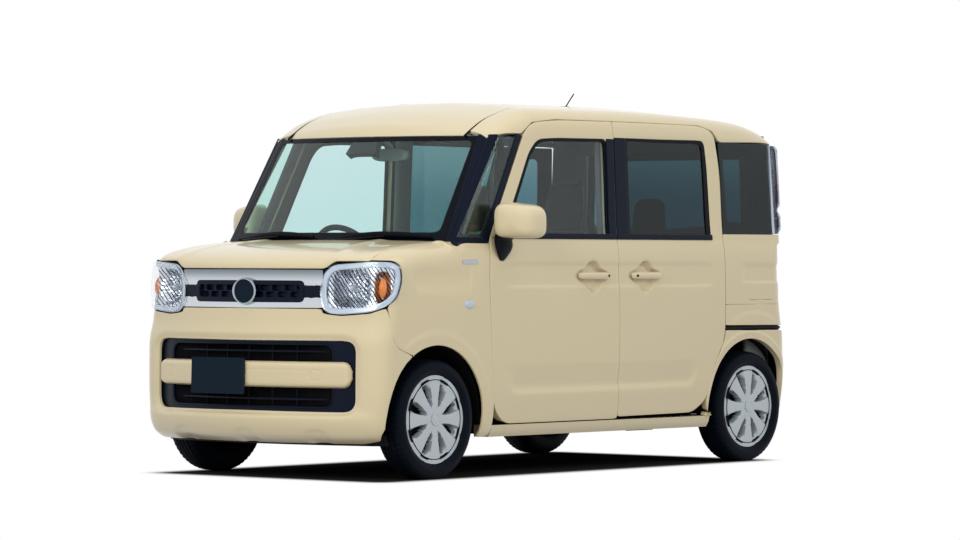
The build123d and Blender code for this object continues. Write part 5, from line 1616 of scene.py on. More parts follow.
@dataclass
class Headlamp:
    """A headlamp: clear cover, pale rim, main reflector with bulb, amber lamp and outer reflector."""

    maker: Maker
    finish: dict
    middle: tuple[float, float] = (0.622, 0.884)

    @staticmethod
    def loop(shrink: float, parts: int = 8) -> Array:
        """The lamp's outline shrunk by a distance, as an even closed path."""
        edge = np.array(LAMP_EDGE)[::-1]
        return path(inset(edge, shrink), 0.022, (parts,) * len(edge), True)

    def disc(self, shrink: float, push: Callable[[Array, Array], Array], rows: int = 18) -> Array:
        """A grid from near the lamp's middle out to its outline, pushed in along -Y by a function."""
        outer = self.loop(shrink)
        v = np.linspace(0.02, 1, rows)[:, None, None]
        flat = (1 - v) * np.array(self.middle) + v * outer[None]
        s, z = flat[..., 0], flat[..., 1]
        p = FORM.wrap(s, z)
        e = 1e-3
        n = unit(np.cross(FORM.wrap(s + e, z) - FORM.wrap(s - e, z),
                          FORM.wrap(s, z + e) - FORM.wrap(s, z - e)))
        return p - n * push(s, z)[..., None], n

    def cover(self) -> tuple:
        """The clear cover: a crowned skin 2.5 mm thick, standing proud of the body."""
        def proud(s: Array, z: Array) -> Array:
            """The crown: highest in the middle, flush at the rim."""
            d = np.hypot((s - self.middle[0]) / 0.21, (z - self.middle[1]) / 0.125)
            return -0.012 - 0.010 * (1 - np.clip(d, 0, 1) ** 2)

        p, n = self.disc(0.004, proud)
        q = p - n * 0.0025
        skirt = p[-1:] - n[-1:] * 0.014
        grid = np.concatenate([p, skirt, q[-1:] * 0.35 + skirt * 0.65, q[::-1]])
        return capped(grid)

    def rim(self) -> tuple:
        """The pale rim inside the cover."""
        outer, inner = self.loop(0.004), self.loop(0.024)
        flat = sector(inner, outer, np.linspace(0, 1, 6))
        return hoop(on(FORM.wrap, flat), 0.012, 0.003)

    def housing(self) -> tuple:
        """The dark gasket round the lamp."""
        outer, inner = self.loop(-0.0045), self.loop(0.006)
        flat = sector(inner, outer, np.linspace(0, 1, 4))
        return hoop(on(FORM.wrap, flat) + np.array([0.0, 0.004, 0.0]), 0.02, 0.002)

    def reflector(self) -> tuple:
        """The bright inner shell: a main bowl with steps, a smaller bowl outboard, and a wall between."""
        def deep(s: Array, z: Array) -> Array:
            """Depth below the skin: two bowls with facets, joined by a raised wall."""
            main = box_distance(s, z, 0.470, 0.668, 0.792, 0.968, 0.060)
            amber = box_distance(s, z, 0.690, 0.785, 0.805, 0.958, 0.040)
            d = 0.012 + 0.085 * step(0.004, -0.055, main) + 0.040 * step(0.004, -0.030, amber)
            facets = 0.010 * np.abs(np.mod((s - 0.47) / 0.020 + 0.6 * np.sin(z * 40), 1.0) - 0.5)
            fan = 0.012 * np.abs(np.mod(np.arctan2(z - 0.88, s - 0.565) * 5, 1.0) - 0.5)
            return d + facets * step(0.0, -0.02, main) + fan * step(0.0, -0.02, main)

        p, n = self.disc(0.022, deep, 38)
        front = np.concatenate([p, p[-1:] - n[-1:] * 0.02])
        back = front[::-1] - np.concatenate([n, n[-1:]])[::-1] * 0.003
        return capped(np.concatenate([front, back]))

    def bulb(self) -> tuple:
        """The bulb's shade: a small turned form on the bowl's axis."""
        t = np.linspace(0, 1, 16)
        r = 0.016 * np.sqrt(np.clip(1 - t ** 3, 0.02, 1))
        centre = FORM.wrap(np.array([0.565]), np.array([0.880]))[0]
        line = centre + np.array([[-0.25, 1.0, 0.0]]) * (0.070 - 0.050 * t)[:, None]
        return outward(tube(line, r, 20))

    def amber(self) -> tuple:
        """The amber lamp: an upright oval dome outboard of the bowl."""
        angle = full_turn(40)
        r = np.array([0.03, 0.4, 0.7, 0.9, 1.0, 1.0])[:, None]
        s = 0.7335 + 0.021 * r * np.cos(angle)
        z = 0.880 + 0.044 * r * np.sin(angle)
        p = FORM.wrap(s, z)
        e = 1e-3
        n = unit(np.cross(FORM.wrap(s + e, z) - FORM.wrap(s - e, z),
                          FORM.wrap(s, z + e) - FORM.wrap(s, z - e)))
        depth = 0.010 + np.array([-0.012, -0.010, -0.006, 0.0, 0.006, 0.040])[:, None]
        p = p - n * depth[..., None]
        return capped(p)

    def build(self) -> None:
        """Both headlamps."""
        f, m = self.finish, self.maker
        both = ("chassis", "chassis")
        node_pair = (("headlamps",), ("headlamps",))
        m.pair("lamp_reflector", self.reflector(), [f["lamp_chrome"]], both, Slot.CHROME)
        m.pair("lamp_rim", self.rim(), [f["lamp_rim"]], both, Slot.CHROME)
        m.pair("lamp_gasket", self.housing(), [f["trim_black"]], both, Slot.BLACK_PLASTIC)
        m.pair("lamp_bulb", self.bulb(), [f["lamp_rim"]], both, Slot.CHROME)
        m.pair("lamp_amber", self.amber(), [f["amber_lens"]], both, Slot.LAMP_CLEAR)
        m.pair("lamp_cover", self.cover(), [f["lamp_clear"]], both, Slot.LAMP_CLEAR, node_pair)


@dataclass
class Bonnet:
    """The bonnet: crowned, with two ridges, rolled down to the grille at the front and over the shoulders."""

    maker: Maker
    finish: dict

    def panel(self) -> tuple:
        """x across, t along: plan runs to the screen, and the front edge rolls on a parabola to the nose."""
        half = 0.652
        u = crowd(80, (0.0, 0.06, 1.5), (1.0, 0.06, 1.5)) * 2 - 1
        t = crowd(70, (1.0, 0.20, 2.5))
        uu, tt = np.meshgrid(u, t[::-1])
        x = uu * half
        rear = -1.052 - (FORM.screen_arc - np.sqrt(FORM.screen_arc ** 2 - half ** 2)) + (
            FORM.screen_arc - np.sqrt(FORM.screen_arc ** 2 - np.minimum(np.abs(x), half) ** 2))
        low = 0.9705 + 0.034 * step(0.43, 0.50, np.abs(x))
        front = FORM.nose_y(x, low)
        knee = front + 0.095
        q = np.clip((tt - 0.72) / 0.28, 0, 1)
        y_flat = rear + (knee - rear) * np.clip(tt / 0.72, 0, 1)
        z_flat = self.height(x, y_flat)
        z_knee = self.height(x, knee)
        slope = (self.height(x, knee + 0.01) - z_knee) / 0.01
        corner_z = z_knee - slope * (knee - front)
        y = np.where(q > 0, (1 - q) ** 2 * knee + 2 * q * (1 - q) * front + q ** 2 * front, y_flat)
        z = np.where(q > 0, (1 - q) ** 2 * z_knee + 2 * q * (1 - q) * corner_z + q ** 2 * low, z_flat)
        outer = step(0.56, 0.62, np.abs(x))
        z = z * (1 - outer) + np.maximum(np.minimum(z, self.height(x, y)), low + 0.020 * (1 - q)) * outer
        return shell(np.stack([x, y, z], axis=-1), 0.020)

    @staticmethod
    def height(x: Array, y: Array) -> Array:
        """Crown height inside the rail, the shoulder's parabola outside it, and two long ridges."""
        rail, slope, side = FORM.crown(FORM.bonnet_rail, y, FORM.bonnet, FORM.bonnet_rail)
        z0 = side - 0.030
        foot = FORM.side_x(y, z0)
        a = np.abs(x)
        qq = np.sqrt(np.clip((foot - a) / np.maximum(foot - FORM.bonnet_rail, 1e-3), 0, 1))
        corner = rail - slope * (foot - FORM.bonnet_rail)
        shoulder = (1 - qq) ** 2 * z0 + 2 * qq * (1 - qq) * corner + qq ** 2 * rail
        crown = FORM.bonnet_z(x, y)
        ridge_x = 0.50 - 0.16 * (y + 1.65) / 0.6
        ridge = 0.006 * np.exp(-((a - ridge_x) / 0.035) ** 2) * step(-1.62, -1.50, y)
        return np.where(a > FORM.bonnet_rail, shoulder, crown) + ridge

    def build(self) -> None:
        """The bonnet."""
        f, m = self.finish, self.maker
        m.put("bonnet_skin", self.panel(), [f["cream_paint"], f["underbody_black"]], "bonnet_lid",
              Slot.BODY_PAINT, ("bonnet",))


# ---------------------------------------------------------------- windscreen and front pillars
@dataclass
class Windscreen:
    """The windscreen with its dark border, camera box, inside mirror, wipers, cowl and front pillars."""

    maker: Maker
    finish: dict
    low: float = 1.094
    high: float = 1.5935

    @staticmethod
    def edge_x(z: Array) -> Array:
        """Half the windscreen's width at a height: it narrows upwards on a straight line."""
        return 0.676 - (np.asarray(z, float) - 1.094) * 0.118

    def point(self, x: Array, z: Array) -> Array:
        """A point on the screen's surface."""
        return np.stack([x, FORM.nose_y(x, z, True), z], axis=-1)

    def pane(self) -> tuple:
        """The glass: x = u * half(z), with a flat thickness of 5 mm."""
        u, v = np.meshgrid(np.linspace(-1, 1, 70), np.linspace(0, 1, 40))
        z = self.low + (self.high - self.low) * v
        x = u * (self.edge_x(z) - 0.002)
        return shell(self.point(x, z), 0.005, 0.0012)

    def frit(self) -> tuple:
        """The dark border behind the glass, wider at the bottom."""
        parts = (66, 36, 66, 36)
        w0, w1 = float(self.edge_x(1.100)), float(self.edge_x(1.588))
        outer = path(((-w0, 1.097), (w0, 1.097), (w1, 1.590), (-w1, 1.590)), 0.004, parts, True)
        inner = path(((-w0 + 0.058, 1.136), (w0 - 0.058, 1.136), (w1 - 0.024, 1.5700), (-w1 + 0.024, 1.5700)),
                     0.030,
                     parts, True)
        flat = sector(inner, outer, np.linspace(0, 1, 5))
        p = self.point(flat[..., 0], flat[..., 1])
        return hoop(p - np.array([0, 0.0007, 0]), 0.002, 0.0004)

    def camera_box(self) -> tuple:
        """The camera's cover behind the top of the screen: a rounded, tapering box, and a dark patch."""
        u, v = np.meshgrid(np.linspace(-1, 1, 40), np.linspace(-1, 1, 30))
        x = -0.015 + 0.088 * u * (1 - 0.18 * (v + 1) / 2)
        z = 1.546 + 0.032 * v
        swell = (1 - np.abs(u) ** 6) * (1 - np.abs(v) ** 6)
        y = FORM.nose_y(x, z, True) + 0.012
        front = np.stack([x, y, z], axis=-1)
        return shell(front + np.array([0, 0.0, 0]), 0.045, 0.004, depth=-0.002 * swell)

    def inside_mirror(self) -> list[tuple]:
        """The rear-view mirror: a superellipse |a|^3.2 + |b|^3.2 = 1 with a rounded rim, and its stalk."""
        a = full_turn(72)
        form = [np.abs(c) ** (2 / 3.2) * np.sign(c) for c in (np.cos(a), np.sin(a))]
        scale = np.array([0.02, 0.6, 0.9, 0.97, 1.0, 1.0, 0.97, 0.90, 0.5, 0.02])[:, None]
        y = np.array([-0.016, -0.016, -0.014, -0.009, -0.002, 0.004, 0.010, 0.013, 0.013, 0.013])[:, None]
        x = 0.02 + 0.116 * scale * form[0]
        z = 1.508 + 0.031 * scale * form[1]
        p = np.stack([x, np.broadcast_to(-0.640 + y, x.shape), z], axis=-1)
        ends = [tuple(range(72)), tuple(range(648, 720))[::-1]]
        faces = list(map(tuple, grid_faces(10, 72, False, True))) + ends
        t = np.linspace(0, 1, 10)[:, None]
        stalk = (1 - t) * np.array([0.02, -0.632, 1.515]) + t * np.array([0.02, -0.690, 1.575]) + np.array(
            [0, 0.02, 0.02]) * t * (1 - t)
        return [outward((p.reshape(-1, 3), faces)), outward(tube(stalk, 0.010, 14))]

    def wiper(self, pivot: float, tip: float) -> tuple:
        """A parked wiper: a tapering arm, a hinge cap and a slightly bowed blade just above the screen."""
        t = np.linspace(0, 1, 40)
        x = pivot + (tip - pivot) * t
        z = 1.103 + 0.012 * t + 0.018 * np.sin(math.pi * t)
        y = FORM.nose_y(x, z, True) - 0.016 - 0.006 * np.sin(math.pi * t)
        blade = tube(np.stack([x, y, z], 1), 0.0065 + 0.0035 * np.sin(math.pi * t), 10, 1.5)
        s = np.linspace(0, 1, 30)
        ax = pivot + (tip - pivot) * (0.55 * s)
        az = 1.097 + 0.020 * s
        ay = FORM.nose_y(ax, np.maximum(az, 1.095), True) - 0.030 - 0.010 * np.sin(math.pi * s)
        arm = tube(np.stack([ax, ay, az], 1), 0.010 - 0.004 * s, 12, 0.7)
        cap = lathe_z(((0.001, 0.020), (0.012, 0.018), (0.017, 0.008), (0.018, -0.030), (0.001, -0.030)),
                      (pivot, float(ay[0]), 1.090))
        return joined(outward(blade), outward(arm), cap)

    def cowl(self) -> tuple:
        """The black cowl under the screen's lower edge, with slots."""
        u, v = np.meshgrid(np.linspace(-1, 1, 130), np.linspace(0, 1, 10))
        x = u * 0.672
        y0 = FORM.nose_y(x, 1.1 + 0 * x, True) + 0.004
        bonnet = -1.052 - (FORM.screen_arc - np.sqrt(FORM.screen_arc ** 2 - 0.652 ** 2)) + (
            FORM.screen_arc - np.sqrt(FORM.screen_arc ** 2 - np.minimum(np.abs(x), 0.652) ** 2))
        y1 = bonnet - 0.012
        y = y1 * (1 - v) + y0 * v
        z = 1.075 + 0.020 * v - 0.006 * np.sin(math.pi * v)
        slots = step(0.30, 0.45,
                     np.abs(np.mod(x / 0.016, 1.0) - 0.5)) * step(0.25, 0.35, v) * (1 - step(0.65, 0.75, v))
        return shell(np.stack([x, y, z - 0.003 * slots], axis=-1), 0.012, 0.002)

    def pillar(self) -> tuple:
        """The black front pillar from the screen's edge round to the quarter glass: a strip on the loop."""
        v = np.linspace(0, 1, 70)[:, None]
        z = 1.0945 + (1.5955 - 1.0945) * v
        s0 = FORM.wrap_from_x(self.edge_x(z) - 0.007, z, True)
        s1 = FORM.wrap_from_y(-0.9935 + (z - 1.094) * 0.672, z, True)
        u = crowd(26)[None, :]
        s = s0 + (s1 - s0) * u
        groove = 0.004 * np.exp(-((u - 0.46) / 0.07) ** 2) - 0.0015 * step(0.16, 0.08, u)
        return shell(FORM.wrap(s, np.broadcast_to(z, s.shape), True), 0.030, 0.003,
                     depth=np.broadcast_to(groove, s.shape))

    def rear_strip(self) -> tuple:
        """The black strip between the quarter glass and the door."""
        v = np.linspace(0, 1, 60)[:, None]
        z = 1.096 + (1.5955 - 1.096) * v
        y1 = np.interp(z, (1.096, 1.5955), (-0.7635, -0.4855))
        y = y1 - 0.040 * (1 - crowd(10))[None, :] + 0 * z
        return shell(side_point(y, np.broadcast_to(z, y.shape)), 0.030, 0.0025)

    def quarter_glass(self) -> tuple:
        """The triangle glass between pillar and door."""
        v = np.linspace(0, 1, 50)[:, None]
        z = 1.106 + (1.586 - 1.106) * v
        y0 = -0.9935 + (z - 1.094) * 0.672 - 0.004
        y1 = np.interp(z, (1.096, 1.5955), (-0.7635, -0.4855)) - 0.036
        y = y0 + (y1 - y0) * np.linspace(0, 1, 24)[None, :]
        return shell(side_point(y, np.broadcast_to(z, y.shape)) - np.array([0.003, 0, 0]), 0.004, 0.001)

    def quarter_base(self) -> tuple:
        """The black foot of the quarter glass, level with the belt."""
        u, v = np.meshgrid(np.linspace(-1.002, -0.7665, 24), np.linspace(1.087, 1.112, 6))
        return shell(side_point(u, v), 0.03, 0.003)

    def build(self) -> None:
        """The screen and all round it."""
        f, m = self.finish, self.maker
        both = ("chassis", "chassis")
        m.put("windscreen_pane", self.pane(), [f["screen_glass"]], "chassis", Slot.GLASS, ("windscreen",))
        m.put("windscreen_frit", self.frit(), [f["frit_black"]], "chassis", Slot.BLACK_PLASTIC)
        m.put("camera_box", self.camera_box(), [f["dash_moulding"]], "chassis", Slot.DASH_PLASTIC)
        glass, stalk = self.inside_mirror()
        m.put("inside_mirror", glass, [f["cabin_trim"]], "chassis", Slot.DASH_PLASTIC)
        m.put("inside_mirror_stalk", stalk, [f["cabin_trim"]], "chassis", Slot.DASH_PLASTIC)
        m.put("wiper_right", self.wiper(-0.555, -0.055), [f["trim_black"]], "chassis", Slot.BLACK_PLASTIC)
        m.put("wiper_left", self.wiper(0.075, 0.600), [f["trim_black"]], "chassis", Slot.BLACK_PLASTIC)
        m.put("cowl_cover", self.cowl(), [f["trim_black"]], "chassis", Slot.BLACK_PLASTIC)
        m.pair("front_pillar_skin", self.pillar(), [f["pillar_film"]], both, Slot.BLACK_PLASTIC)
        m.pair("front_pillar_strip", self.rear_strip(), [f["pillar_film"]], both, Slot.BLACK_PLASTIC)
        m.pair("quarter_light", self.quarter_glass(), [f["screen_glass"]], both, Slot.GLASS,
               (("side_glass",), ("side_glass",)))
        m.pair("quarter_foot", self.quarter_base(), [f["pillar_film"]], both, Slot.BLACK_PLASTIC)


def lathe_z(profile: Sequence, centre: Sequence[float], sides: int = 32) -> tuple:
    """A profile of (radius, height) turned about an upright axis and closed at both ends."""
    q = np.asarray(profile, float)
    a = full_turn(sides)
    p = np.stack([centre[0] + q[:, :1] * np.cos(a), centre[1] + q[:, :1] * np.sin(a),
                  np.broadcast_to(centre[2] + q[:, 1:], (len(q), sides))], axis=-1)
    return capped(p)


# ---------------------------------------------------------------- mirrors, wheels and housings
@dataclass
class DoorMirror:
    """A door mirror: a domed painted head, its glass, and a black foot on the door."""

    maker: Maker
    finish: dict
    middle: tuple[float, float] = (0.842, 1.186)
    sweep: float = 0.35

    def head(self) -> tuple:
        """The shell: sections in x whose outline is a superellipse, domed towards the front."""
        a = full_turn(64)
        grow = np.array([0.03, 0.45, 0.72, 0.86, 0.94, 0.98, 1.0, 1.0, 1.0, 0.97, 0.92, 0.90, 0.0])[:, None]
        y = np.array([-0.766, -0.764, -0.757, -0.746, -0.730, -0.712, -0.690, -0.665, -0.640, -0.632, -0.635,
                      -0.645,
                      -0.646])[:, None]
        ca, sa = np.cos(a), np.sin(a)
        ex = 2 / 4.5
        x0, z0 = self.middle
        x = x0 + 0.0945 * grow * signed_power(ca, ex)
        crown = 0.010 * (1 - ca ** 2) * (sa > 0) * grow
        z = z0 + 0.0765 * grow * signed_power(sa, ex * 1.1) + crown
        lean = self.sweep * (x - x0) * (0.4 + 0.6 * grow)
        p = np.stack([x, y + lean, z - 0.012 * (x - x0) / 0.095 * (sa > 0)], axis=-1)
        return capped(p)

    def glass(self) -> tuple:
        """The mirror itself, facing back."""
        a = full_turn(48)
        r = np.array([0.03, 0.5, 0.95, 1.0, 0.98, 0.03])[:, None]
        y = np.array([-0.6375, -0.6377, -0.6385, -0.6400, -0.6435, -0.6435])[:, None]
        ca, sa = np.cos(a), np.sin(a)
        x0, z0 = self.middle
        x = x0 + 0.084 * r * signed_power(ca, 0.45)
        z = z0 + 0.067 * r * signed_power(sa, 0.45)
        p = np.stack([x, y + self.sweep * (x - x0), z], axis=-1)
        return capped(p)

    def foot(self) -> tuple:
        """The black foot: sections in z that shrink to a point on the door and lean out under the head."""
        z = np.linspace(1.006, 1.128, 30)
        t = (z - 1.006) / 0.122
        half_y = 0.014 + 0.044 * np.sin(np.clip(t * 1.5, 0, 1) * math.pi / 2)
        reach = 0.010 + 0.040 * np.sin(np.clip(t * 1.4, 0, 1) * math.pi / 2) + 0.030 * step(0.75, 1.0, t)
        a = full_turn(36)
        base = FORM.side_x(-0.68, z)[:, None] - 0.004
        x = base + np.maximum(reach[:, None] * (0.5 + 0.5 * np.cos(a)), 0)
        y = -0.680 + half_y[:, None] * signed_power(np.sin(a), 0.8)
        p = np.stack([x, y, np.broadcast_to(z[:, None], x.shape)], axis=-1)
        return capped(p)

    def build(self) -> None:
        """Both mirrors."""
        f, m = self.finish, self.maker
        bodies = ("door_front_left", "door_front_right")
        m.pair("mirror_shell", self.head(), [f["cream_paint"]], bodies, Slot.BODY_PAINT,
               (("mirror_left",), ("mirror_right",)))
        m.pair("mirror_glass", self.glass(), [f["mirror_face"]], bodies, Slot.GLASS)
        m.pair("mirror_foot", self.foot(), [f["trim_black"]], bodies, Slot.BLACK_PLASTIC)


@dataclass
class RoadWheel:
    """A wheel: tyre with tread blocks, steel rim, and eight-spoke cover with a blank cap."""

    maker: Maker
    finish: dict
    track: float = 0.6475
    radius: float = 0.276

    def tyre(self, centre: tuple, side: float) -> tuple:
        """The tyre: a turned section whose tread is cut by grooves round it and blocks across it."""
        section = [(0.182, -0.066), (0.190, -0.073), (0.205, -0.0765), (0.232, -0.0775), (0.250, -0.0745),
                   (0.262, -0.0690), (0.2700, -0.0610), (0.2742, -0.0500), (0.2757, -0.0380),
                   (0.2757, -0.0350), (0.2690, -0.0345), (0.2690, -0.0300), (0.2760, -0.0295),
                   (0.2760, -0.0120), (0.2690, -0.0115), (0.2690, -0.0070), (0.2760, -0.0065),
                   (0.2760, 0.0065), (0.2690, 0.0070), (0.2690, 0.0115), (0.2760, 0.0120), (0.2760, 0.0295),
                   (0.2690, 0.0300), (0.2690, 0.0345), (0.2757, 0.0350), (0.2757, 0.0380), (0.2742, 0.0500),
                   (0.2700, 0.0610), (0.262, 0.0690), (0.2560, 0.0722), (0.2545, 0.0722), (0.250, 0.0745),
                   (0.236, 0.0772), (0.225, 0.0762), (0.2235, 0.0750), (0.214, 0.0705), (0.2065, 0.0625),
                   (0.196, 0.052), (0.182, 0.066), (0.176, 0.050), (0.174, 0.0), (0.176, -0.050)]
        q = np.array(section)
        sides = 180
        angle = full_turn(sides)[:, None]
        shoulder = (q[:, 0] > 0.2695)[None] * (np.abs(q[:, 1]) > 0.0349)[None]
        lug = 1 - step(0.25, 0.40, np.abs(np.mod(np.arange(sides) / 3.0, 1.0) - 0.5))[:, None]
        r = q[None, :, 0] - 0.0045 * shoulder * (1 - lug)
        x = centre[0] + side * np.broadcast_to(q[None, :, 1], r.shape)
        p = np.stack([x, centre[1] + r * np.cos(angle), centre[2] + r * np.sin(angle)], axis=-1)
        return outward((p.reshape(-1, 3), list(map(tuple, grid_faces(sides, len(q), True, True)))))

    def rim(self, centre: tuple, side: float) -> tuple:
        """The steel barrel and its dished wheel disc."""
        profile = [(0.186, 0.046), (0.181, 0.048), (0.176, 0.046), (0.170, 0.042), (0.166, 0.034),
                   (0.160, 0.024), (0.110, 0.022), (0.080, 0.018), (0.035, 0.020), (0.018, 0.020),
                   (0.018, 0.014), (0.080, 0.010), (0.112, 0.014), (0.156, 0.016), (0.160, 0.0),
                   (0.160, -0.060), (0.176, -0.066), (0.186, -0.068), (0.184, -0.060), (0.170, -0.055),
                   (0.168, 0.0), (0.174, 0.036), (0.184, 0.041)]
        return outward(lathe(profile, centre, side, 96))

    def cover(self, centre: tuple, side: float) -> tuple:
        """The cover: r from the cap to the rim, angle round, eight flat spokes and a dark hollow for a hole
        between each two, partly the black steel wheel behind it and partly painted shade.

        A spoke's half width grows with r, a ramp climbs from the hole to the rim, and a ring closes it.
        """
        rows, cols = 38, 176
        cap, rim = 0.0285, 0.2035
        r = crowd(rows, (0.97, 0.03, 4.0))[:, None] * (rim - cap) + cap
        a = full_turn(cols)[None, :]
        k = np.abs(np.mod(a / (math.pi / 4) + 0.5, 1.0) - 0.5) * (math.pi / 4)
        half = np.interp(r, (0.03, 0.06, 0.10, 0.15, 0.19, 0.204),
                         (0.0115, 0.0185, 0.0265, 0.0350, 0.0425, 0.0440))
        between = step(0.0, 0.0065, k * r - half) * (1 - step(0.1955, 0.1985, r))
        deep = between * step(0.046, 0.075, r) * (1 - 0.80 * step(0.150, 0.198, r))
        gap = np.maximum(math.pi / 8 * r - half, 0.0)
        across = (math.pi / 8 - k) * r / (0.92 * gap + 0.0030)
        reach = np.abs((r - 0.116) / 0.050) ** 2.6 + np.abs(across) ** 2.6
        hole = 1 - step(0.80, 1.10, reach)
        x = 0.0648 - 0.0040 * ((r - 0.05) / 0.155) ** 2 + 0.0012 * (1 - (k * r / half) ** 2) * (1 - between)
        x = x - 0.015 * deep - 0.030 * hole
        p = np.stack([x + 0 * a, r * np.cos(a), r * np.sin(a)], axis=-1)
        rimmed = [p[-1] + np.array([-0.004, 0, 0]) + p[-1] * np.array([0, 0.010, 0.010]),
                  p[-1] * np.array([0, 1, 1]) + np.array([0.040, 0, 0])]
        back = p[::-1][::9] * np.array([0, 1, 1]) + np.array([0.012, 0, 0])
        grid = np.concatenate([p, np.stack(rimmed), back])
        grid = grid * np.array([side, 1, 1]) + np.array(centre)
        total = len(grid)
        faces = grid_faces(total, cols, True, True)
        marks = np.zeros(len(faces), int)
        dark = np.zeros((total, cols), bool)
        # The hollows take the dark finish: partly the black steel wheel seen through a hole, partly painted
        # shade inside the wheel.
        dark[:rows] = hole > 0.5
        marks[dark.reshape(-1)[faces].all(axis=1)] = 1
        marks[np.repeat(np.arange(total), cols) > rows + 1] = 1
        return outward((grid.reshape(-1, 3), list(map(tuple, faces)), marks))

    def cap(self, centre: tuple, side: float) -> tuple:
        """The blank cap in the middle: a low dome inside a raised ring."""
        profile = [(0.0005, 0.0715), (0.008, 0.0713), (0.016, 0.0705), (0.021, 0.0690), (0.0225, 0.0705),
                   (0.0255, 0.0710), (0.0285, 0.0690), (0.0290, 0.060), (0.0005, 0.060)]
        return outward(lathe(profile, centre, side, 64))

    def build(self) -> None:
        """All four wheels."""
        f, m = self.finish, self.maker
        for place, y in (("front", -1.140), ("rear", 1.320)):
            for hand, side in (("left", 1.0), ("right", -1.0)):
                tag = place + "_" + hand
                body = "wheel_" + place[0] + hand[0]
                centre = (side * self.track, y, self.radius)
                m.put("road_tyre_" + tag, self.tyre(centre, side), [f["rubber"]], body, Slot.TYRE,
                      ("tyre_" + tag,))
                m.put("steel_rim_" + tag, self.rim(centre, side), [f["underbody_black"]], body,
                      Slot.WHEEL_SILVER)
                m.put("wheel_cover_" + tag, self.cover(centre, side),
                      [f["cover_silver"], f["underbody_black"]], body,
                      Slot.WHEEL_SILVER, ("wheel_" + tag,))
                m.put("wheel_cap_" + tag, self.cap(centre, side), [f["cover_silver"]], body,
                      Slot.WHEEL_SILVER)


@dataclass
class Housings:
    """The dark housings over the wheels, and the inner posts of the cabin."""

    maker: Maker
    finish: dict

    def arch(self, centre: tuple[float, float], x0: float, low: float) -> tuple:
        """Half a barrel over a wheel: radius R, from the body's skin in to x0, with a flat inner wall."""
        a0 = math.asin((low - centre[1]) / ARCH_R)
        a = np.linspace(a0, math.pi - a0, 60)[:, None]
        x = np.concatenate([np.full(10, x0), np.linspace(x0, 0.700, 16)])[None, :]
        r = np.concatenate([np.linspace(0.02, ARCH_R + 0.004, 10), np.full(16, ARCH_R + 0.004)])[None, :]
        y, z = centre[0] + r * np.cos(a), centre[1] + r * np.sin(a)
        x = np.minimum(x + 0 * a, np.interp(np.abs(y), (1.44, 1.56, 1.66), (0.700, 0.660, 0.570)))
        return shell(np.stack([x, y, z], axis=-1), 0.004, 0.001)

    def post(self, y: float, inward: float, half: float) -> tuple:
        """The inner trim of a pillar: a rounded section carried up it.

        Args:
            y: where it stands.
            inward: how far it lies inside the side's line.
            half: its half width along the car.
        """
        z = np.linspace(0.240, 1.640, 60)
        x = np.interp(z, (0.24, 0.45, 1.10, 1.62), (0.655, 0.672, 0.662, 0.640)) - inward
        a = full_turn(28)
        ca, sa = np.cos(a), np.sin(a)
        px = x[:, None] - 0.015 + 0.020 * signed_power(ca, 0.6)
        py = y + half * signed_power(sa, 0.6)
        p = np.stack(np.broadcast_arrays(px, py, z[:, None]), axis=-1)
        return capped(p)

    def build(self) -> None:
        """Housings and posts on both sides."""
        f, m = self.finish, self.maker
        both = ("chassis", "chassis")
        m.pair("front_housing", self.arch(FRONT_ARCH, 0.385, 0.250), [f["underbody_black"]], both,
               Slot.UNDERBODY,
               (("fender_left",), ("fender_right",)))
        m.pair("rear_housing", self.arch(REAR_ARCH, 0.475, 0.250), [f["underbody_black"]], both,
               Slot.UNDERBODY,
               (("body_side_left",), ("body_side_right",)))
        m.pair("centre_post", self.post(0.223, 0.0, 0.055), [f["cabin_trim"]], both, Slot.DASH_PLASTIC)
        m.pair("rear_post", self.post(1.500, 0.030, 0.100), [f["cabin_trim"]], both, Slot.DASH_PLASTIC)


# ---------------------------------------------------------------- the tail
def tail_skin(x: Array, reach: Array) -> Array:
    """The tail: the wall up to 1.52 m, a parabola over its top edge, and then forward on the roof's crown.

    reach is the height on the wall; q = (reach - 1.52) / 0.17 runs the parabola, and the rest goes forward.
    """
    wall = FORM.tail_y(x, np.minimum(reach, 1.52))
    edge = FORM.tail_y(x, np.full_like(x, 1.60))
    knee = edge - 0.095
    q = np.clip((reach - 1.52) / 0.17, 0, 1)
    ahead = np.maximum(reach - 1.69, 0)
    y = (1 - q) ** 2 * wall + 2 * q * (1 - q) * edge + q ** 2 * knee - ahead
    top_edge, top_knee = (FORM.crown(x, at, FORM.roof, FORM.roof_rail)[0] for at in (edge, knee))
    z = (1 - q) ** 2 * 1.52 + 2 * q * (1 - q) * top_edge + q ** 2 * top_knee
    z = np.where(reach < 1.52, reach, np.where(ahead > 0, FORM.crown(x, y, FORM.roof, FORM.roof_rail)[0], z))
    return np.stack([x, y, z], axis=-1)


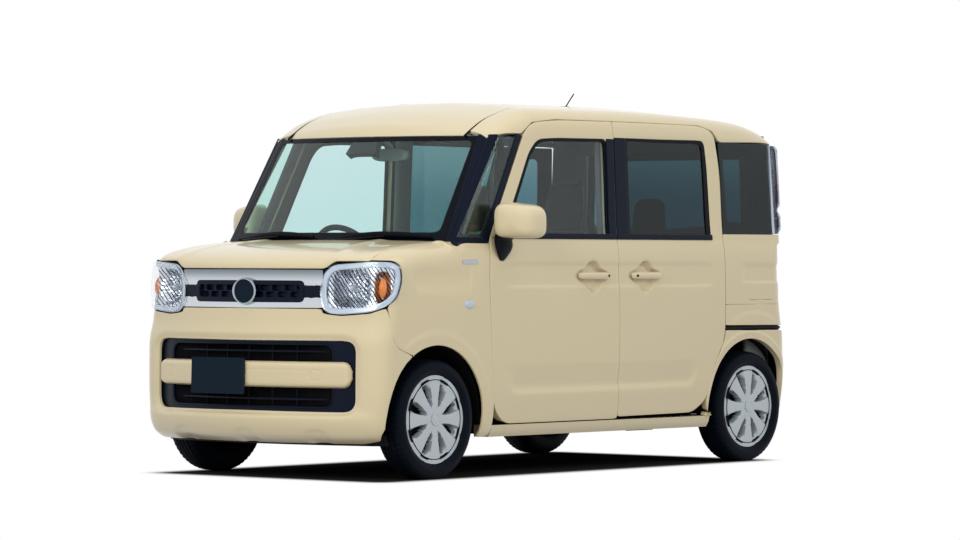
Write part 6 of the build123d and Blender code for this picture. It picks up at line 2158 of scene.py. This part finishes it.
@dataclass
class Tailgate:
    """The tailgate: painted panel with its plate recess, frame, glass, wiper, handle bar and blank plate."""

    maker: Maker
    finish: dict
    pane: tuple = ((-0.556, 1.122), (0.556, 1.122), (0.536, 1.572), (-0.536, 1.572))

    def lower(self) -> tuple:
        """The panel under the glass, with a recess for the plate and a soft crease."""
        sides = quad(((-0.6365, 0.662), (0.6365, 0.662), (0.6225, 1.104), (-0.6225, 1.104)), 0.012,
                     (0, 1, 2, 3))
        flat = coons(*sides, crowd(90, (0.31, 0.02, 3.0), (0.69, 0.02, 3.0)),
                     crowd(56, (0.16, 0.05, 2.0), (0.68, 0.05, 2.0)))
        x, z = flat[..., 0], flat[..., 1]
        depth = 0.026 * step(0.004, -0.030, box_distance(x, z, -0.245, 0.245, 0.735, 0.962, 0.045))
        depth -= 0.005 * step(0.985, 1.02, z) * (1 - step(1.05, 1.09, z))
        return shell(tail_skin(x, z), 0.040, depth=depth)

    def frame(self) -> tuple:
        """The painted frame round the glass and over the top."""
        parts = (70, 70, 70, 70)
        outer = path(((-0.6225, 1.1085), (0.6225, 1.1085), (0.6000, 1.7030), (-0.6000, 1.7030)), 0.012, parts,
                     True)
        outer[:, 1] += 0.026 * (1 - (outer[:, 0] / 0.6) ** 2) * (outer[:, 1] > 1.69)
        inner = path(inset(self.pane, -0.003), 0.040, parts, True)
        flat = sector(inner, outer, np.linspace(0, 1, 12))
        return hoop(tail_skin(flat[..., 0], flat[..., 1]), 0.040)

    def glass(self) -> tuple:
        """The dark pane, flush with the frame."""
        flat = coons(*quad(self.pane, 0.038, (0, 1, 2, 3)), np.linspace(0, 1, 60), np.linspace(0, 1, 40))
        return shell(tail_skin(flat[..., 0], flat[..., 1]), 0.004, 0.001)

    def frit(self) -> tuple:
        """The black border behind the pane."""
        parts = (50, 40, 50, 40)
        outer = path(inset(self.pane, 0.003), 0.036, parts, True)
        inner = path(inset(self.pane, 0.048), 0.050, parts, True)
        flat = sector(inner, outer, np.linspace(0, 1, 5))
        return hoop(tail_skin(flat[..., 0], flat[..., 1]) - np.array([0, 0.0055, 0]), 0.002, 0.0005)

    def garnish(self) -> tuple:
        """The bright bar over the plate: a half-round section along x."""
        x = np.linspace(-0.265, 0.265, 60)
        y = FORM.tail_y(x, np.full_like(x, 0.972)) + 0.004
        return outward(tube(np.stack([x, y, np.full_like(x, 0.972)], 1),
                            0.016 * (1 - 0.5 * (x / 0.265) ** 10), 18, 0.9))

    def plate(self) -> tuple:
        """The blank plate in its recess, with a pressed rim."""
        u, v = np.meshgrid(np.linspace(-0.165, 0.165, 40), np.linspace(0.767, 0.932, 24))
        y = float(FORM.tail_y(np.array(0.0), np.array(0.85))) - 0.0145
        rim = 0.0016 * step(0.009, 0.005,
                            np.abs(box_distance(u, v, -0.165, 0.165, 0.767, 0.932, 0.010) + 0.008))
        return shell(np.stack([u, y + rim, v], axis=-1), 0.003, 0.0008)

    def wiper(self) -> tuple:
        """The rear wiper: a boss low on the glass, an arm and a blade."""
        t = np.linspace(0, 1, 30)
        x = 0.02 + 0.40 * t
        z = 1.150 + 0.018 * t
        y = FORM.tail_y(x, z) + 0.020 + 0.006 * np.sin(math.pi * t)
        arm = tube(np.stack([x, y, z], 1), 0.011 - 0.006 * t, 12, 0.7)
        bx = 0.08 + 0.34 * t
        blade = tube(np.stack([bx, FORM.tail_y(bx, 1.176 + 0 * bx) + 0.008,
                               1.172 + 0.006 * np.sin(math.pi * t)], 1),
                     0.005 + 0.003 * np.sin(math.pi * t), 10)
        boss = tube(np.array([[0.02, FORM.tail_y(np.array(0.02), np.array(1.15)) + k, 1.150]
                              for k in (-0.004, 0.012, 0.024, 0.028)], float),
                              np.array([0.026, 0.026, 0.020, 0.012]), 28)
        return joined(outward(arm), outward(blade), outward(boss))

    def build(self) -> None:
        """The whole tailgate."""
        f, m = self.finish, self.maker
        paint = [f["cream_paint"], f["cabin_trim"]]
        body = "tailgate_lid"
        m.put("tailgate_skin", self.lower(), paint, body, Slot.BODY_PAINT, ("tailgate",))
        m.put("tailgate_frame", self.frame(), paint, body, Slot.BODY_PAINT, ("tailgate",))
        m.put("tailgate_pane", self.glass(), [f["privacy_glass"]], body, Slot.GLASS, ("tailgate_glass",))
        m.put("tailgate_frit", self.frit(), [f["frit_black"]], body, Slot.BLACK_PLASTIC)
        m.put("tailgate_garnish", self.garnish(), [f["bright_chrome"]], body, Slot.CHROME)
        m.put("rear_plate", self.plate(), [f["plate_black"]], body, Slot.BLACK_PLASTIC)
        m.put("rear_wiper", self.wiper(), [f["trim_black"]], body, Slot.BLACK_PLASTIC)


@dataclass
class TailLamp:
    """An upright tail lamp round the rear corner: silver edge, ribbed ladder, and a lens of two lobes."""

    maker: Maker
    finish: dict
    low: float = 1.1445
    high: float = 1.5885

    def sheet(self, s0: float, s1: float, out: Callable[[Array, Array], Array], thick: float,
              count: int = 26) -> tuple:
        """A strip of the corner between two loop distances, raised by out(u, z)."""
        u, z = np.meshgrid(np.linspace(0, 1, count), np.linspace(self.low, self.high, 80))
        lean = (z - self.low) * 0.045
        p = Quarter.skin(s0 + (s1 - s0) * u - lean * (0.25 + 0.75 * u), z)
        return shell(p, thick, 0.0015, depth=-out(u, z))

    @staticmethod
    def rungs(u: Array, z: Array) -> Array:
        """How deep the ladder behind the lens lies: one raised rung every 14.5 mm."""
        return -0.010 + 0.005 * step(-0.2, 0.2, np.sin(z * 2 * math.pi / 0.0145))

    @staticmethod
    def lobes(u: Array, z: Array) -> Array:
        """How far the lens stands out: two lobes with a notch between them, fading at the sides."""
        upper = step(1.268, 1.292, z) * (1 - step(1.572, 1.590, z))
        lower = step(1.150, 1.170, z) * (1 - step(1.236, 1.256, z))
        return 0.001 + 0.013 * np.maximum(upper, lower) * step(0.0, 0.22, u) * (1 - step(0.86, 1.0, u))

    def build(self) -> None:
        """Both lamps."""
        f, m = self.finish, self.maker
        both = ("chassis", "chassis")
        nodes = (("tail_lamps",), ("tail_lamps",))
        ladder = self.sheet(1.541, 1.690, self.rungs, 0.004)
        edge = self.sheet(1.5225, 1.5405, lambda u, z: 0.002 + 0 * u, 0.012, 8)
        flank = self.sheet(1.5415, 1.612, lambda u, z: self.lobes(u * 0.5, z), 0.003)
        lens = self.sheet(1.613, 1.690, lambda u, z: self.lobes(0.5 + u * 0.5, z), 0.003)
        m.pair("tail_lamp_edge", edge, [f["lamp_rim"]], both, Slot.CHROME, nodes)
        m.pair("tail_lamp_ladder", ladder, [f["ladder_blue"]], both, Slot.LAMP_RED)
        m.pair("tail_lamp_side", flank, [f["lamp_smoke"]], both, Slot.LAMP_CLEAR)
        m.pair("tail_lamp_lens", lens, [f["red_lens"]], both, Slot.LAMP_RED)


@dataclass
class RearBumper:
    """The rear bumper between the quarters, with a black valance and reflectors."""

    maker: Maker
    finish: dict

    def skin(self) -> tuple:
        """The painted cover: stands out a little in the middle band and rolls under at the bottom."""
        u, v = np.meshgrid(np.linspace(-1, 1, 96), crowd(44, (0.0, 0.08, 2.0), (0.55, 0.06, 2.0)))
        z = 0.184 + (0.6515 - 0.184) * v
        x = u * np.interp(z, (0.18, 0.21, 0.30, 0.65), (0.585, 0.60, 0.628, 0.634))
        depth = 0.010 * step(0.470, 0.452, z) * step(0.62, 0.56, np.abs(x))
        depth -= 0.004 * step(0.50, 0.53, z) * (1 - step(0.62, 0.65, z))
        depth += 0.012 * step(0.310, 0.300, z) * step(0.47, 0.44, np.abs(x))
        return shell(np.stack([x, FORM.tail_y(x, z), z], axis=-1), 0.030, depth=depth)

    def valance(self) -> tuple:
        """The black insert low in the middle, with shallow ribs."""
        u, v = np.meshgrid(np.linspace(-0.43, 0.43, 120), np.linspace(0.170, 0.300, 24))
        depth = 0.003 * step(0.30, 0.40, np.abs(np.mod(u / 0.05, 1.0) - 0.5))
        return shell(np.stack([u, FORM.tail_y(u, np.maximum(v, 0.185)) - 0.010, v], axis=-1), 0.02, 0.004,
                     depth=depth)

    def reflector(self) -> tuple:
        """A red reflector low on the corner."""
        u, v = np.meshgrid(np.linspace(0.520, 0.600, 20), np.linspace(0.372, 0.402, 10))
        return shell(np.stack([u, FORM.tail_y(u, v) + 0.001, v], axis=-1), 0.008, 0.003)

    def build(self) -> None:
        """The bumper and what it carries."""
        f, m = self.finish, self.maker
        m.put("rear_bumper_skin", self.skin(), [f["cream_paint"], f["underbody_black"]], "chassis",
              Slot.BODY_PAINT,
              ("rear_bumper",))
        m.put("rear_valance", self.valance(), [f["trim_black"]], "chassis", Slot.BLACK_PLASTIC)
        m.pair("rear_reflector", self.reflector(), [f["red_lens"]], ("chassis", "chassis"), Slot.LAMP_RED)


# ---------------------------------------------------------------- the cabin
def pillow(centre: Sequence[float], half: Sequence[float], round_: float = 0.30, taper: float = 0.0,
           lean: float = 0.0, rows: int = 30, cols: int = 52) -> tuple:
    """A rounded box: (a C(v) C(u), b C(v) S(u), c S(v)), where C and S are cosine and sine to a power.

    Args:
        centre: its middle.
        half: half sizes in x, y and z.
        round_: the power; smaller is squarer.
        taper: how much narrower it is at the top than in the middle, as a share.
        lean: how far y moves back for each metre up.
        rows: points from bottom to top.
        cols: points round.
    """
    u, v = np.meshgrid(full_turn(cols), np.linspace(-1.5, 1.5, rows))
    w = signed_power(np.sin(v), round_)
    wide = signed_power(np.cos(v), round_)
    narrow = 1 - taper * (w + 1) / 2
    x = half[0] * wide * signed_power(np.cos(u), round_) * narrow
    y = half[1] * wide * signed_power(np.sin(u), round_) + lean * half[2] * w
    p = np.stack([x, y, half[2] * w], axis=-1) + np.asarray(centre, float)
    return capped(p)


def fill_with_air(piece: bpy.types.Object, voxel: float = 0.0125, cap: float = 0.014,
                  pressure: float = 4.0) -> None:
    """Remeshes a pad evenly, swells it as cloth under pressure, and keeps each point within the cap.

    Args:
        piece: the pad, a closed mesh.
        voxel: size of the even mesh.
        cap: the furthest that a point may move.
        pressure: pressure inside the cloth.
    """
    scene = bpy.context.scene
    even = piece.modifiers.new("even", "REMESH")
    even.mode, even.voxel_size = "VOXEL", voxel
    base = bpy.data.meshes.new_from_object(piece.evaluated_get(bpy.context.evaluated_depsgraph_get()))
    piece.modifiers.clear()
    finish = piece.data.materials[0]
    piece.data = base
    base.materials.clear()
    base.materials.append(finish)
    before = np.empty(len(base.vertices) * 3)
    base.vertices.foreach_get("co", before)
    cloth = piece.modifiers.new("air", "CLOTH")
    cloth.settings.use_pressure = True
    cloth.settings.uniform_pressure_force = pressure
    cloth.settings.effector_weights.gravity = 0.0
    cloth.settings.quality = 4
    cloth.point_cache.frame_start, cloth.point_cache.frame_end = 1, 20
    for frame in range(1, 21):
        scene.frame_set(frame)
    swollen = piece.evaluated_get(bpy.context.evaluated_depsgraph_get()).to_mesh()
    after = np.empty_like(before)
    swollen.vertices.foreach_get("co", after)
    piece.modifiers.clear()
    scene.frame_set(1)
    move = (after - before).reshape(-1, 3)
    length = np.linalg.norm(move, axis=1, keepdims=True)
    move = move * np.minimum(1.0, cap / np.maximum(length, 1e-9))
    base.vertices.foreach_set("co", (before.reshape(-1, 3) + move).ravel())
    base.update()
    soft = piece.modifiers.new("soft", "SMOOTH")
    soft.factor, soft.iterations = 0.5, 14
    piece.data = bpy.data.meshes.new_from_object(piece.evaluated_get(bpy.context.evaluated_depsgraph_get()))
    piece.modifiers.clear()


@dataclass
class Seats:
    """Front and rear seats: padded cushions, backs and headrests with sewn channels, on moulded plinths."""

    maker: Maker
    finish: dict
    seat_x: float = 0.300

    def pad(self, name: str, shape: tuple, fill: float, node_name: str, seams: tuple = (),
            twin: bool = True) -> None:
        """One pad, swollen, sewn and put on both sides.

        Args:
            name: the pad's name.
            shape: its closed mesh.
            fill: how tight it is; not used.
            node_name: the CAD node that it stands for.
            seams: (axis, place) of each sewn channel.
            twin: whether there is another on the far side.
        """
        f, m = self.finish, self.maker
        piece = m.put(name + ("_left" if twin else ""), shape, [f["seat_cloth"]], "chassis", Slot.SEAT_FABRIC,
                      (node_name,), 3.0)
        fill_with_air(piece)
        data = piece.data
        co = np.empty(len(data.vertices) * 3)
        normal = np.empty_like(co)
        data.vertices.foreach_get("co", co)
        data.vertices.foreach_get("normal", normal)
        co, normal = co.reshape(-1, 3), normal.reshape(-1, 3)
        press = sum((np.exp(-((co[:, axis] - at) / 0.008) ** 2) for axis, at in seams), np.zeros(len(co)))
        co = co - normal * 0.007 * np.minimum(press, 1.0)[:, None]
        data.vertices.foreach_set("co", co.ravel())
        data.polygons.foreach_set("use_smooth", np.ones(len(data.polygons), dtype=bool))
        data.update()
        if twin:
            faces = [tuple(p.vertices) for p in data.polygons]
            other = m.put(name + "_right", flipped((co, faces)), [f["seat_cloth"]], "chassis",
                          Slot.SEAT_FABRIC,
                          (node_name,), 3.0)

    def build(self) -> None:
        """All the seats."""
        x = self.seat_x
        inner, outer = x - 0.150, x + 0.150
        self.pad("front_cushion", pillow((x, -0.070, 0.545), (0.222, 0.245, 0.058), 0.36), 0.7, "front_seats",
                 ((0, inner), (0, outer)))
        self.pad("front_back", pillow((x, 0.262, 0.870), (0.212, 0.056, 0.285), 0.36, 0.16, 0.35), 0.7,
                 "front_seats",
                 ((0, inner + 0.02), (0, outer - 0.02), (2, 1.02)))
        self.pad("front_headrest", pillow((x, 0.335, 1.268), (0.128, 0.036, 0.125), 0.42, 0.24, 0.18), 0.8,
                 "front_seats")
        self.pad("rear_cushion", pillow((0.283, 0.752, 0.530), (0.266, 0.180, 0.052), 0.36), 0.7,
                 "rear_seats",
                 ((0, 0.12), (0, 0.44)))
        self.pad("rear_back", pillow((0.283, 0.975, 0.850), (0.264, 0.042, 0.262), 0.36, 0.0, 0.17), 0.7,
                 "rear_seats",
                 ((0, 0.12), (0, 0.44)))
        self.pad("rear_headrest", pillow((x, 1.033, 1.222), (0.110, 0.030, 0.100), 0.42, 0.2, 0.10), 0.8,
                 "rear_seats")
        m, f = self.maker, self.finish
        both = ("chassis", "chassis")
        m.pair("front_plinth", pillow((x, -0.050, 0.378), (0.168, 0.196, 0.108), 0.16), [f["dash_moulding"]],
               both,
               Slot.DASH_PLASTIC)
        m.pair("rear_plinth", pillow((0.235, 0.775, 0.366), (0.200, 0.150, 0.098), 0.16),
               [f["dash_moulding"]], both,
               Slot.DASH_PLASTIC)
        t = np.linspace(0, 1, 40)
        belt = np.stack([0.642 - 0.030 * t, 0.215 + 0.010 * np.sin(t * 6), 1.420 - 0.82 * t], 1)
        m.pair("seat_belt", outward(tube(belt, 0.0022, 12, 10.0)), [f["belt_webbing"]], both,
               Slot.SEAT_FABRIC)


@dataclass
class Dash:
    """The dashboard with its instrument hood and screen, and the steering wheel on its column."""

    maker: Maker
    finish: dict
    hub: tuple = (-0.350, -0.520, 1.018)

    def top(self) -> tuple:
        """The moulding: a rounded section in y and z carried across, bowed to follow the windscreen."""
        x = np.linspace(-0.586, 0.586, 60)
        corners = ((-0.880, 0.775), (-0.660, 0.765), (-0.628, 0.830), (-0.624, 0.930), (-0.655, 1.010),
                   (-0.880, 1.000))
        line, _ = rounded(corners, (0.01, 0.03, 0.05, 0.05, 0.05, 0.02), True)
        ring = walk(line, np.linspace(0, 1, 64, endpoint=False) * outline_length(line))
        y = ring[None, :, 0] + 0.018 * (x[:, None] / 0.586) ** 2
        shelf = step(-0.66, -0.635, ring[None, :, 0]) * step(0.865, 0.885, ring[None, :, 1]) * (
            1 - step(0.915, 0.935, ring[None, :, 1]))
        y = y - 0.020 * shelf * step(0.52, 0.48, np.abs(x[:, None]))
        p = np.stack([np.broadcast_to(x[:, None], y.shape), y, np.broadcast_to(ring[None, :, 1], y.shape)],
                     axis=-1)
        return capped(p)

    def wheel(self) -> tuple:
        """The steering wheel: ring c + (R + r cos b)(e1 cos a + e2 sin a) + axis r sin b, spokes and pad."""
        axis = np.array([0, 0.83, 0.56]) / math.hypot(0.83, 0.56)
        e1, centre = np.array([1.0, 0, 0]), np.array(self.hub)
        e2 = np.cross(axis, e1)
        a, b = np.meshgrid(full_turn(72), full_turn(14))
        spread = (0.176 + 0.0145 * np.cos(b))[..., None] * (e1 * np.cos(a)[..., None] +
                                                            e2 * np.sin(a)[..., None])
        ring = centre + spread + axis * (0.0145 * np.sin(b))[..., None]
        parts = [outward((ring.reshape(-1, 3), list(map(tuple, grid_faces(14, 72, True, True)))))]
        t = np.linspace(0, 1, 14)[:, None]
        down = e2 if e2[2] < 0 else -e2
        for aim in (e1, -e1, down):
            line = centre + aim * (0.045 + 0.126 * t) - axis * 0.014 * (1 - t)
            parts.append(outward(tube(line, 0.016 + 0.006 * (1 - t[:, 0]), 12, 0.45)))
        pad = pillow((0, 0, 0), (0.072, 0.060, 0.024), 0.5)
        turn = np.stack([e1, -down, axis])
        parts.append(outward((pad[0] @ turn + centre - axis * 0.006, pad[1])))
        return joined(*parts)

    def column(self) -> tuple:
        """The shroud round the column."""
        axis = np.array([0, 0.83, 0.56]) / math.hypot(0.83, 0.56)
        t = np.linspace(0.028, 0.190, 16)[:, None]
        return outward(tube(np.array(self.hub) - axis * t, 0.034 + 0.014 * np.clip(t[:, 0] / 0.19, 0, 1), 28,
                            1.1))

    def build(self) -> None:
        """Everything on the dashboard."""
        f, m = self.finish, self.maker
        m.put("dash_top", self.top(), [f["dash_moulding"]], "chassis", Slot.DASH_PLASTIC, ("dashboard",))
        m.put("instrument_hood", pillow((-0.345, -0.715, 1.046), (0.150, 0.085, 0.070), 0.35, 0.14),
              [f["dash_moulding"]],
              "chassis", Slot.DASH_PLASTIC, ("dashboard",))
        m.put("centre_screen", pillow((0.0, -0.662, 0.985), (0.120, 0.014, 0.072), 0.20), [f["frit_black"]],
              "chassis",
              Slot.DASH_PLASTIC)
        m.put("column_shroud", self.column(), [f["dash_moulding"]], "chassis", Slot.DASH_PLASTIC)
        m.put("steering_wheel_rim", self.wheel(), [f["dash_moulding"]], "steering", Slot.DASH_PLASTIC,
              ("steering_wheel",))
        m.put("carpet", self.carpet(), [f["belt_webbing"]], "chassis", Slot.UNDERBODY)

    @staticmethod
    def carpet() -> tuple:
        """A loose carpet on the floor: a thin sheet with a soft swell along its middle."""
        u, v = np.meshgrid(np.linspace(-0.585, 0.585, 40), np.linspace(-0.80, 0.93, 56))
        z = 0.272 + 0.035 * np.exp(-(u / 0.09) ** 2) + 0.002 * np.sin(u * 40) * np.sin(v * 31)
        return shell(np.stack([u, v, z], axis=-1), 0.004, 0.001)


# ---------------------------------------------------------------- the stage
@dataclass
class Studio:
    """A white floor and backdrop, soft overhead and side lights, and the camera."""

    spot: tuple[float, float, float] = (13.548, -16.572, 1.019)
    azimuth: float = 39.17
    elevation: float = 0.16
    roll: float = 0.12
    lens: float = 164.03

    def camera(self) -> None:
        """A camera whose back vector is (sin a cos e, -cos a cos e, sin e), turned a little about it."""
        a, e, r = (math.radians(v) for v in (self.azimuth, self.elevation, self.roll))
        back = Vector((math.sin(a) * math.cos(e), -math.cos(a) * math.cos(e), math.sin(e)))
        right = Vector((math.cos(a), math.sin(a), 0.0))
        up = back.cross(right)
        right2 = right * math.cos(r) + up * math.sin(r)
        up2 = up * math.cos(r) - right * math.sin(r)
        data = bpy.data.cameras.new("camera")
        data.lens, data.sensor_width = self.lens, 36.0
        data.clip_end = 200.0
        made = bpy.data.objects.new("camera", data)
        made.matrix_world = Matrix((
            (right2.x, up2.x, back.x, self.spot[0]), (right2.y, up2.y, back.y, self.spot[1]),
            (right2.z, up2.z, back.z, self.spot[2]), (0, 0, 0, 1)))
        bpy.context.scene.collection.objects.link(made)
        bpy.context.scene.camera = made

    def lamp(self, name: str, place: tuple, aim: tuple, size: tuple[float, float], power: float) -> None:
        """One soft rectangular light, aimed at a point."""
        data = bpy.data.lights.new(name, "AREA")
        data.shape, data.size, data.size_y, data.energy = "RECTANGLE", size[0], size[1], power
        data.color = (1.0, 0.985, 0.96)
        made = bpy.data.objects.new(name, data)
        made.location = place
        made.visible_glossy = False
        made.rotation_euler = (Vector(aim) - Vector(place)).to_track_quat("-Z", "Y").to_euler()
        bpy.context.scene.collection.objects.link(made)

    def floor(self) -> None:
        """A wide floor that catches the shadow and shows white to the camera, with a painted shadow: near
        black under the car's footprint.
        """
        u = np.linspace(-1, 1, 9)
        x, y = np.meshgrid(40 * u, 40 * u)
        mesh = bpy.data.meshes.new("floor")
        verts = np.stack([x, y, np.full_like(x, -0.0005)], axis=-1).reshape(-1, 3)
        mesh.from_pydata(verts.tolist(), [], grid_faces(9, 9).tolist())
        made = bpy.data.objects.new("floor", mesh)
        paint = bpy.data.materials.new("studio_floor")
        paint.use_nodes = True
        tree = paint.node_tree
        tree.nodes.clear()
        ray = node(tree, "ShaderNodeLightPath")
        seen = math_node(tree, "MAXIMUM", ray.outputs["Is Camera Ray"], math_node(
            tree, "MAXIMUM", ray.outputs["Is Glossy Ray"], ray.outputs["Is Transmission Ray"]))
        place = node(tree, "ShaderNodeTexCoord").outputs["Object"]
        parts = node(tree, "ShaderNodeSeparateXYZ", {0: place})
        # Distance past the car's footprint; inside it the floor gets a painted shadow.
        outside = [math_node(tree, "MAXIMUM", math_node(tree, "SUBTRACT", math_node(tree, "ABSOLUTE", s),
                                                        edge), 0.0)
                   for s, edge in ((parts.outputs[0], 0.62), (parts.outputs[1], 1.42))]
        reach = node(tree, "ShaderNodeVectorMath", {0: node(tree, "ShaderNodeCombineXYZ", {
            0: outside[0], 1: outside[1]}).outputs[0]}, operation="LENGTH").outputs["Value"]
        near = node(tree, "ShaderNodeMapRange", {0: reach, 1: 0.02, 2: 0.26},
                    interpolation_type="SMOOTHSTEP").outputs[0]
        far = node(tree, "ShaderNodeMapRange", {0: reach, 1: 0.04, 2: 0.22},
                   interpolation_type="SMOOTHSTEP").outputs[0]
        # Painted shadow: the colour is near black under the car and fades to white past its footprint.
        under = mix_color(tree, near, (0.035, 0.032, 0.032, 1), (0.95, 0.95, 0.95, 1))
        tint = mix_color(tree, seen, (0.30, 0.29, 0.28, 1), under)
        diffuse = node(tree, "ShaderNodeBsdfDiffuse", {"Color": tint})
        white = node(tree, "ShaderNodeEmission", {"Color": (1, 1, 1, 1), "Strength": 1.0})
        share_ = math_node(tree, "MULTIPLY", seen, far)
        both = node(tree, "ShaderNodeMixShader", {0: share_, 1: diffuse.outputs[0], 2: white.outputs[0]})
        node(tree, "ShaderNodeOutputMaterial", {"Surface": both.outputs[0]})
        mesh.materials.append(paint)
        bpy.context.scene.collection.objects.link(made)

    def sky(self) -> None:
        """A white background, with a plain soft light of its own for everything else."""
        world = bpy.data.worlds.new("studio")
        bpy.context.scene.world = world
        world.use_nodes = True
        tree = world.node_tree
        tree.nodes.clear()
        ray = node(tree, "ShaderNodeLightPath")
        seen = math_node(tree, "MAXIMUM", ray.outputs["Is Camera Ray"], math_node(
            tree, "MAXIMUM", ray.outputs["Is Glossy Ray"], ray.outputs["Is Transmission Ray"]))
        strength = math_node(tree, "ADD", math_node(tree, "MULTIPLY", seen, 0.55), 0.45)
        shade = node(tree, "ShaderNodeBackground", {"Color": (1, 1, 1, 1), "Strength": strength})
        node(tree, "ShaderNodeOutputWorld", {"Surface": shade.outputs[0]})

    def build(self) -> None:
        """Everything that isn't the car."""
        self.camera()
        self.floor()
        self.sky()
        self.lamp("overhead", (0.5, -0.5, 5.0), (0, 0, 0), (6.0, 7.0), 108.0)
        self.lamp("front_fill", (2.5, -8.0, 3.2), (0, 0, 0.8), (5.0, 3.0), 345.0)
        self.lamp("side_fill", (8.0, 1.0, 3.4), (0, 0, 0.9), (6.0, 3.0), 212.0)
        bpy.context.scene.view_settings.view_transform = "Standard"


ASSEMBLIES = (FrontDoor, SlidingDoor, Fender, Quarter, RoofAndSills, Bumper, UpperGrille, Headlamp, Bonnet,
              Windscreen,
              DoorMirror, RoadWheel, Housings, Tailgate, TailLamp, RearBumper, Seats, Dash)


def dress_nodes(nodes: dict, finish: dict) -> None:
    """Gives each CAD node that stays in view its finish."""
    kinds = (("tyre", "rubber"), ("wheel", "cover_silver"), ("glass", "privacy_glass"),
             ("windscreen", "screen_glass"),
             ("seats", "seat_cloth"), ("dashboard", "dash_moulding"), ("steering", "dash_moulding"),
             ("knuckle", "steel_grey"), ("axle", "steel_grey"), ("body_side", "underbody_black"),
             ("mirror", "cream_paint"), ("tailgate", "cream_paint"), ("tail_lamps", "red_lens"),
             ("rear_bumper", "cream_paint"), ("antenna", "trim_black"))
    for name, item in nodes.items():
        chosen = next((k[1] for k in kinds if k[0] in name), "underbody_black")
        item.data.materials.clear()
        item.data.materials.append(finish[chosen])


def main() -> None:
    """Loads the frame and builds each sub-assembly in order."""
    logging.basicConfig(level=logging.INFO, format="%(name)s: %(message)s")
    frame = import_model()
    studio = Studio()
    studio.build()
    finish = build_finishes()
    dress_nodes(frame["nodes"], finish)
    maker = Maker()
    for kind in ASSEMBLIES:
        kind(maker, finish).build()
    total = sum(len(p.vertices) - 2 for o in bpy.data.objects if o.type == "MESH" for p in o.data.polygons)
    log.info("%d pieces made, %d triangles in all", maker.made, total)
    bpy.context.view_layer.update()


if __name__ == "__main__":
    main()
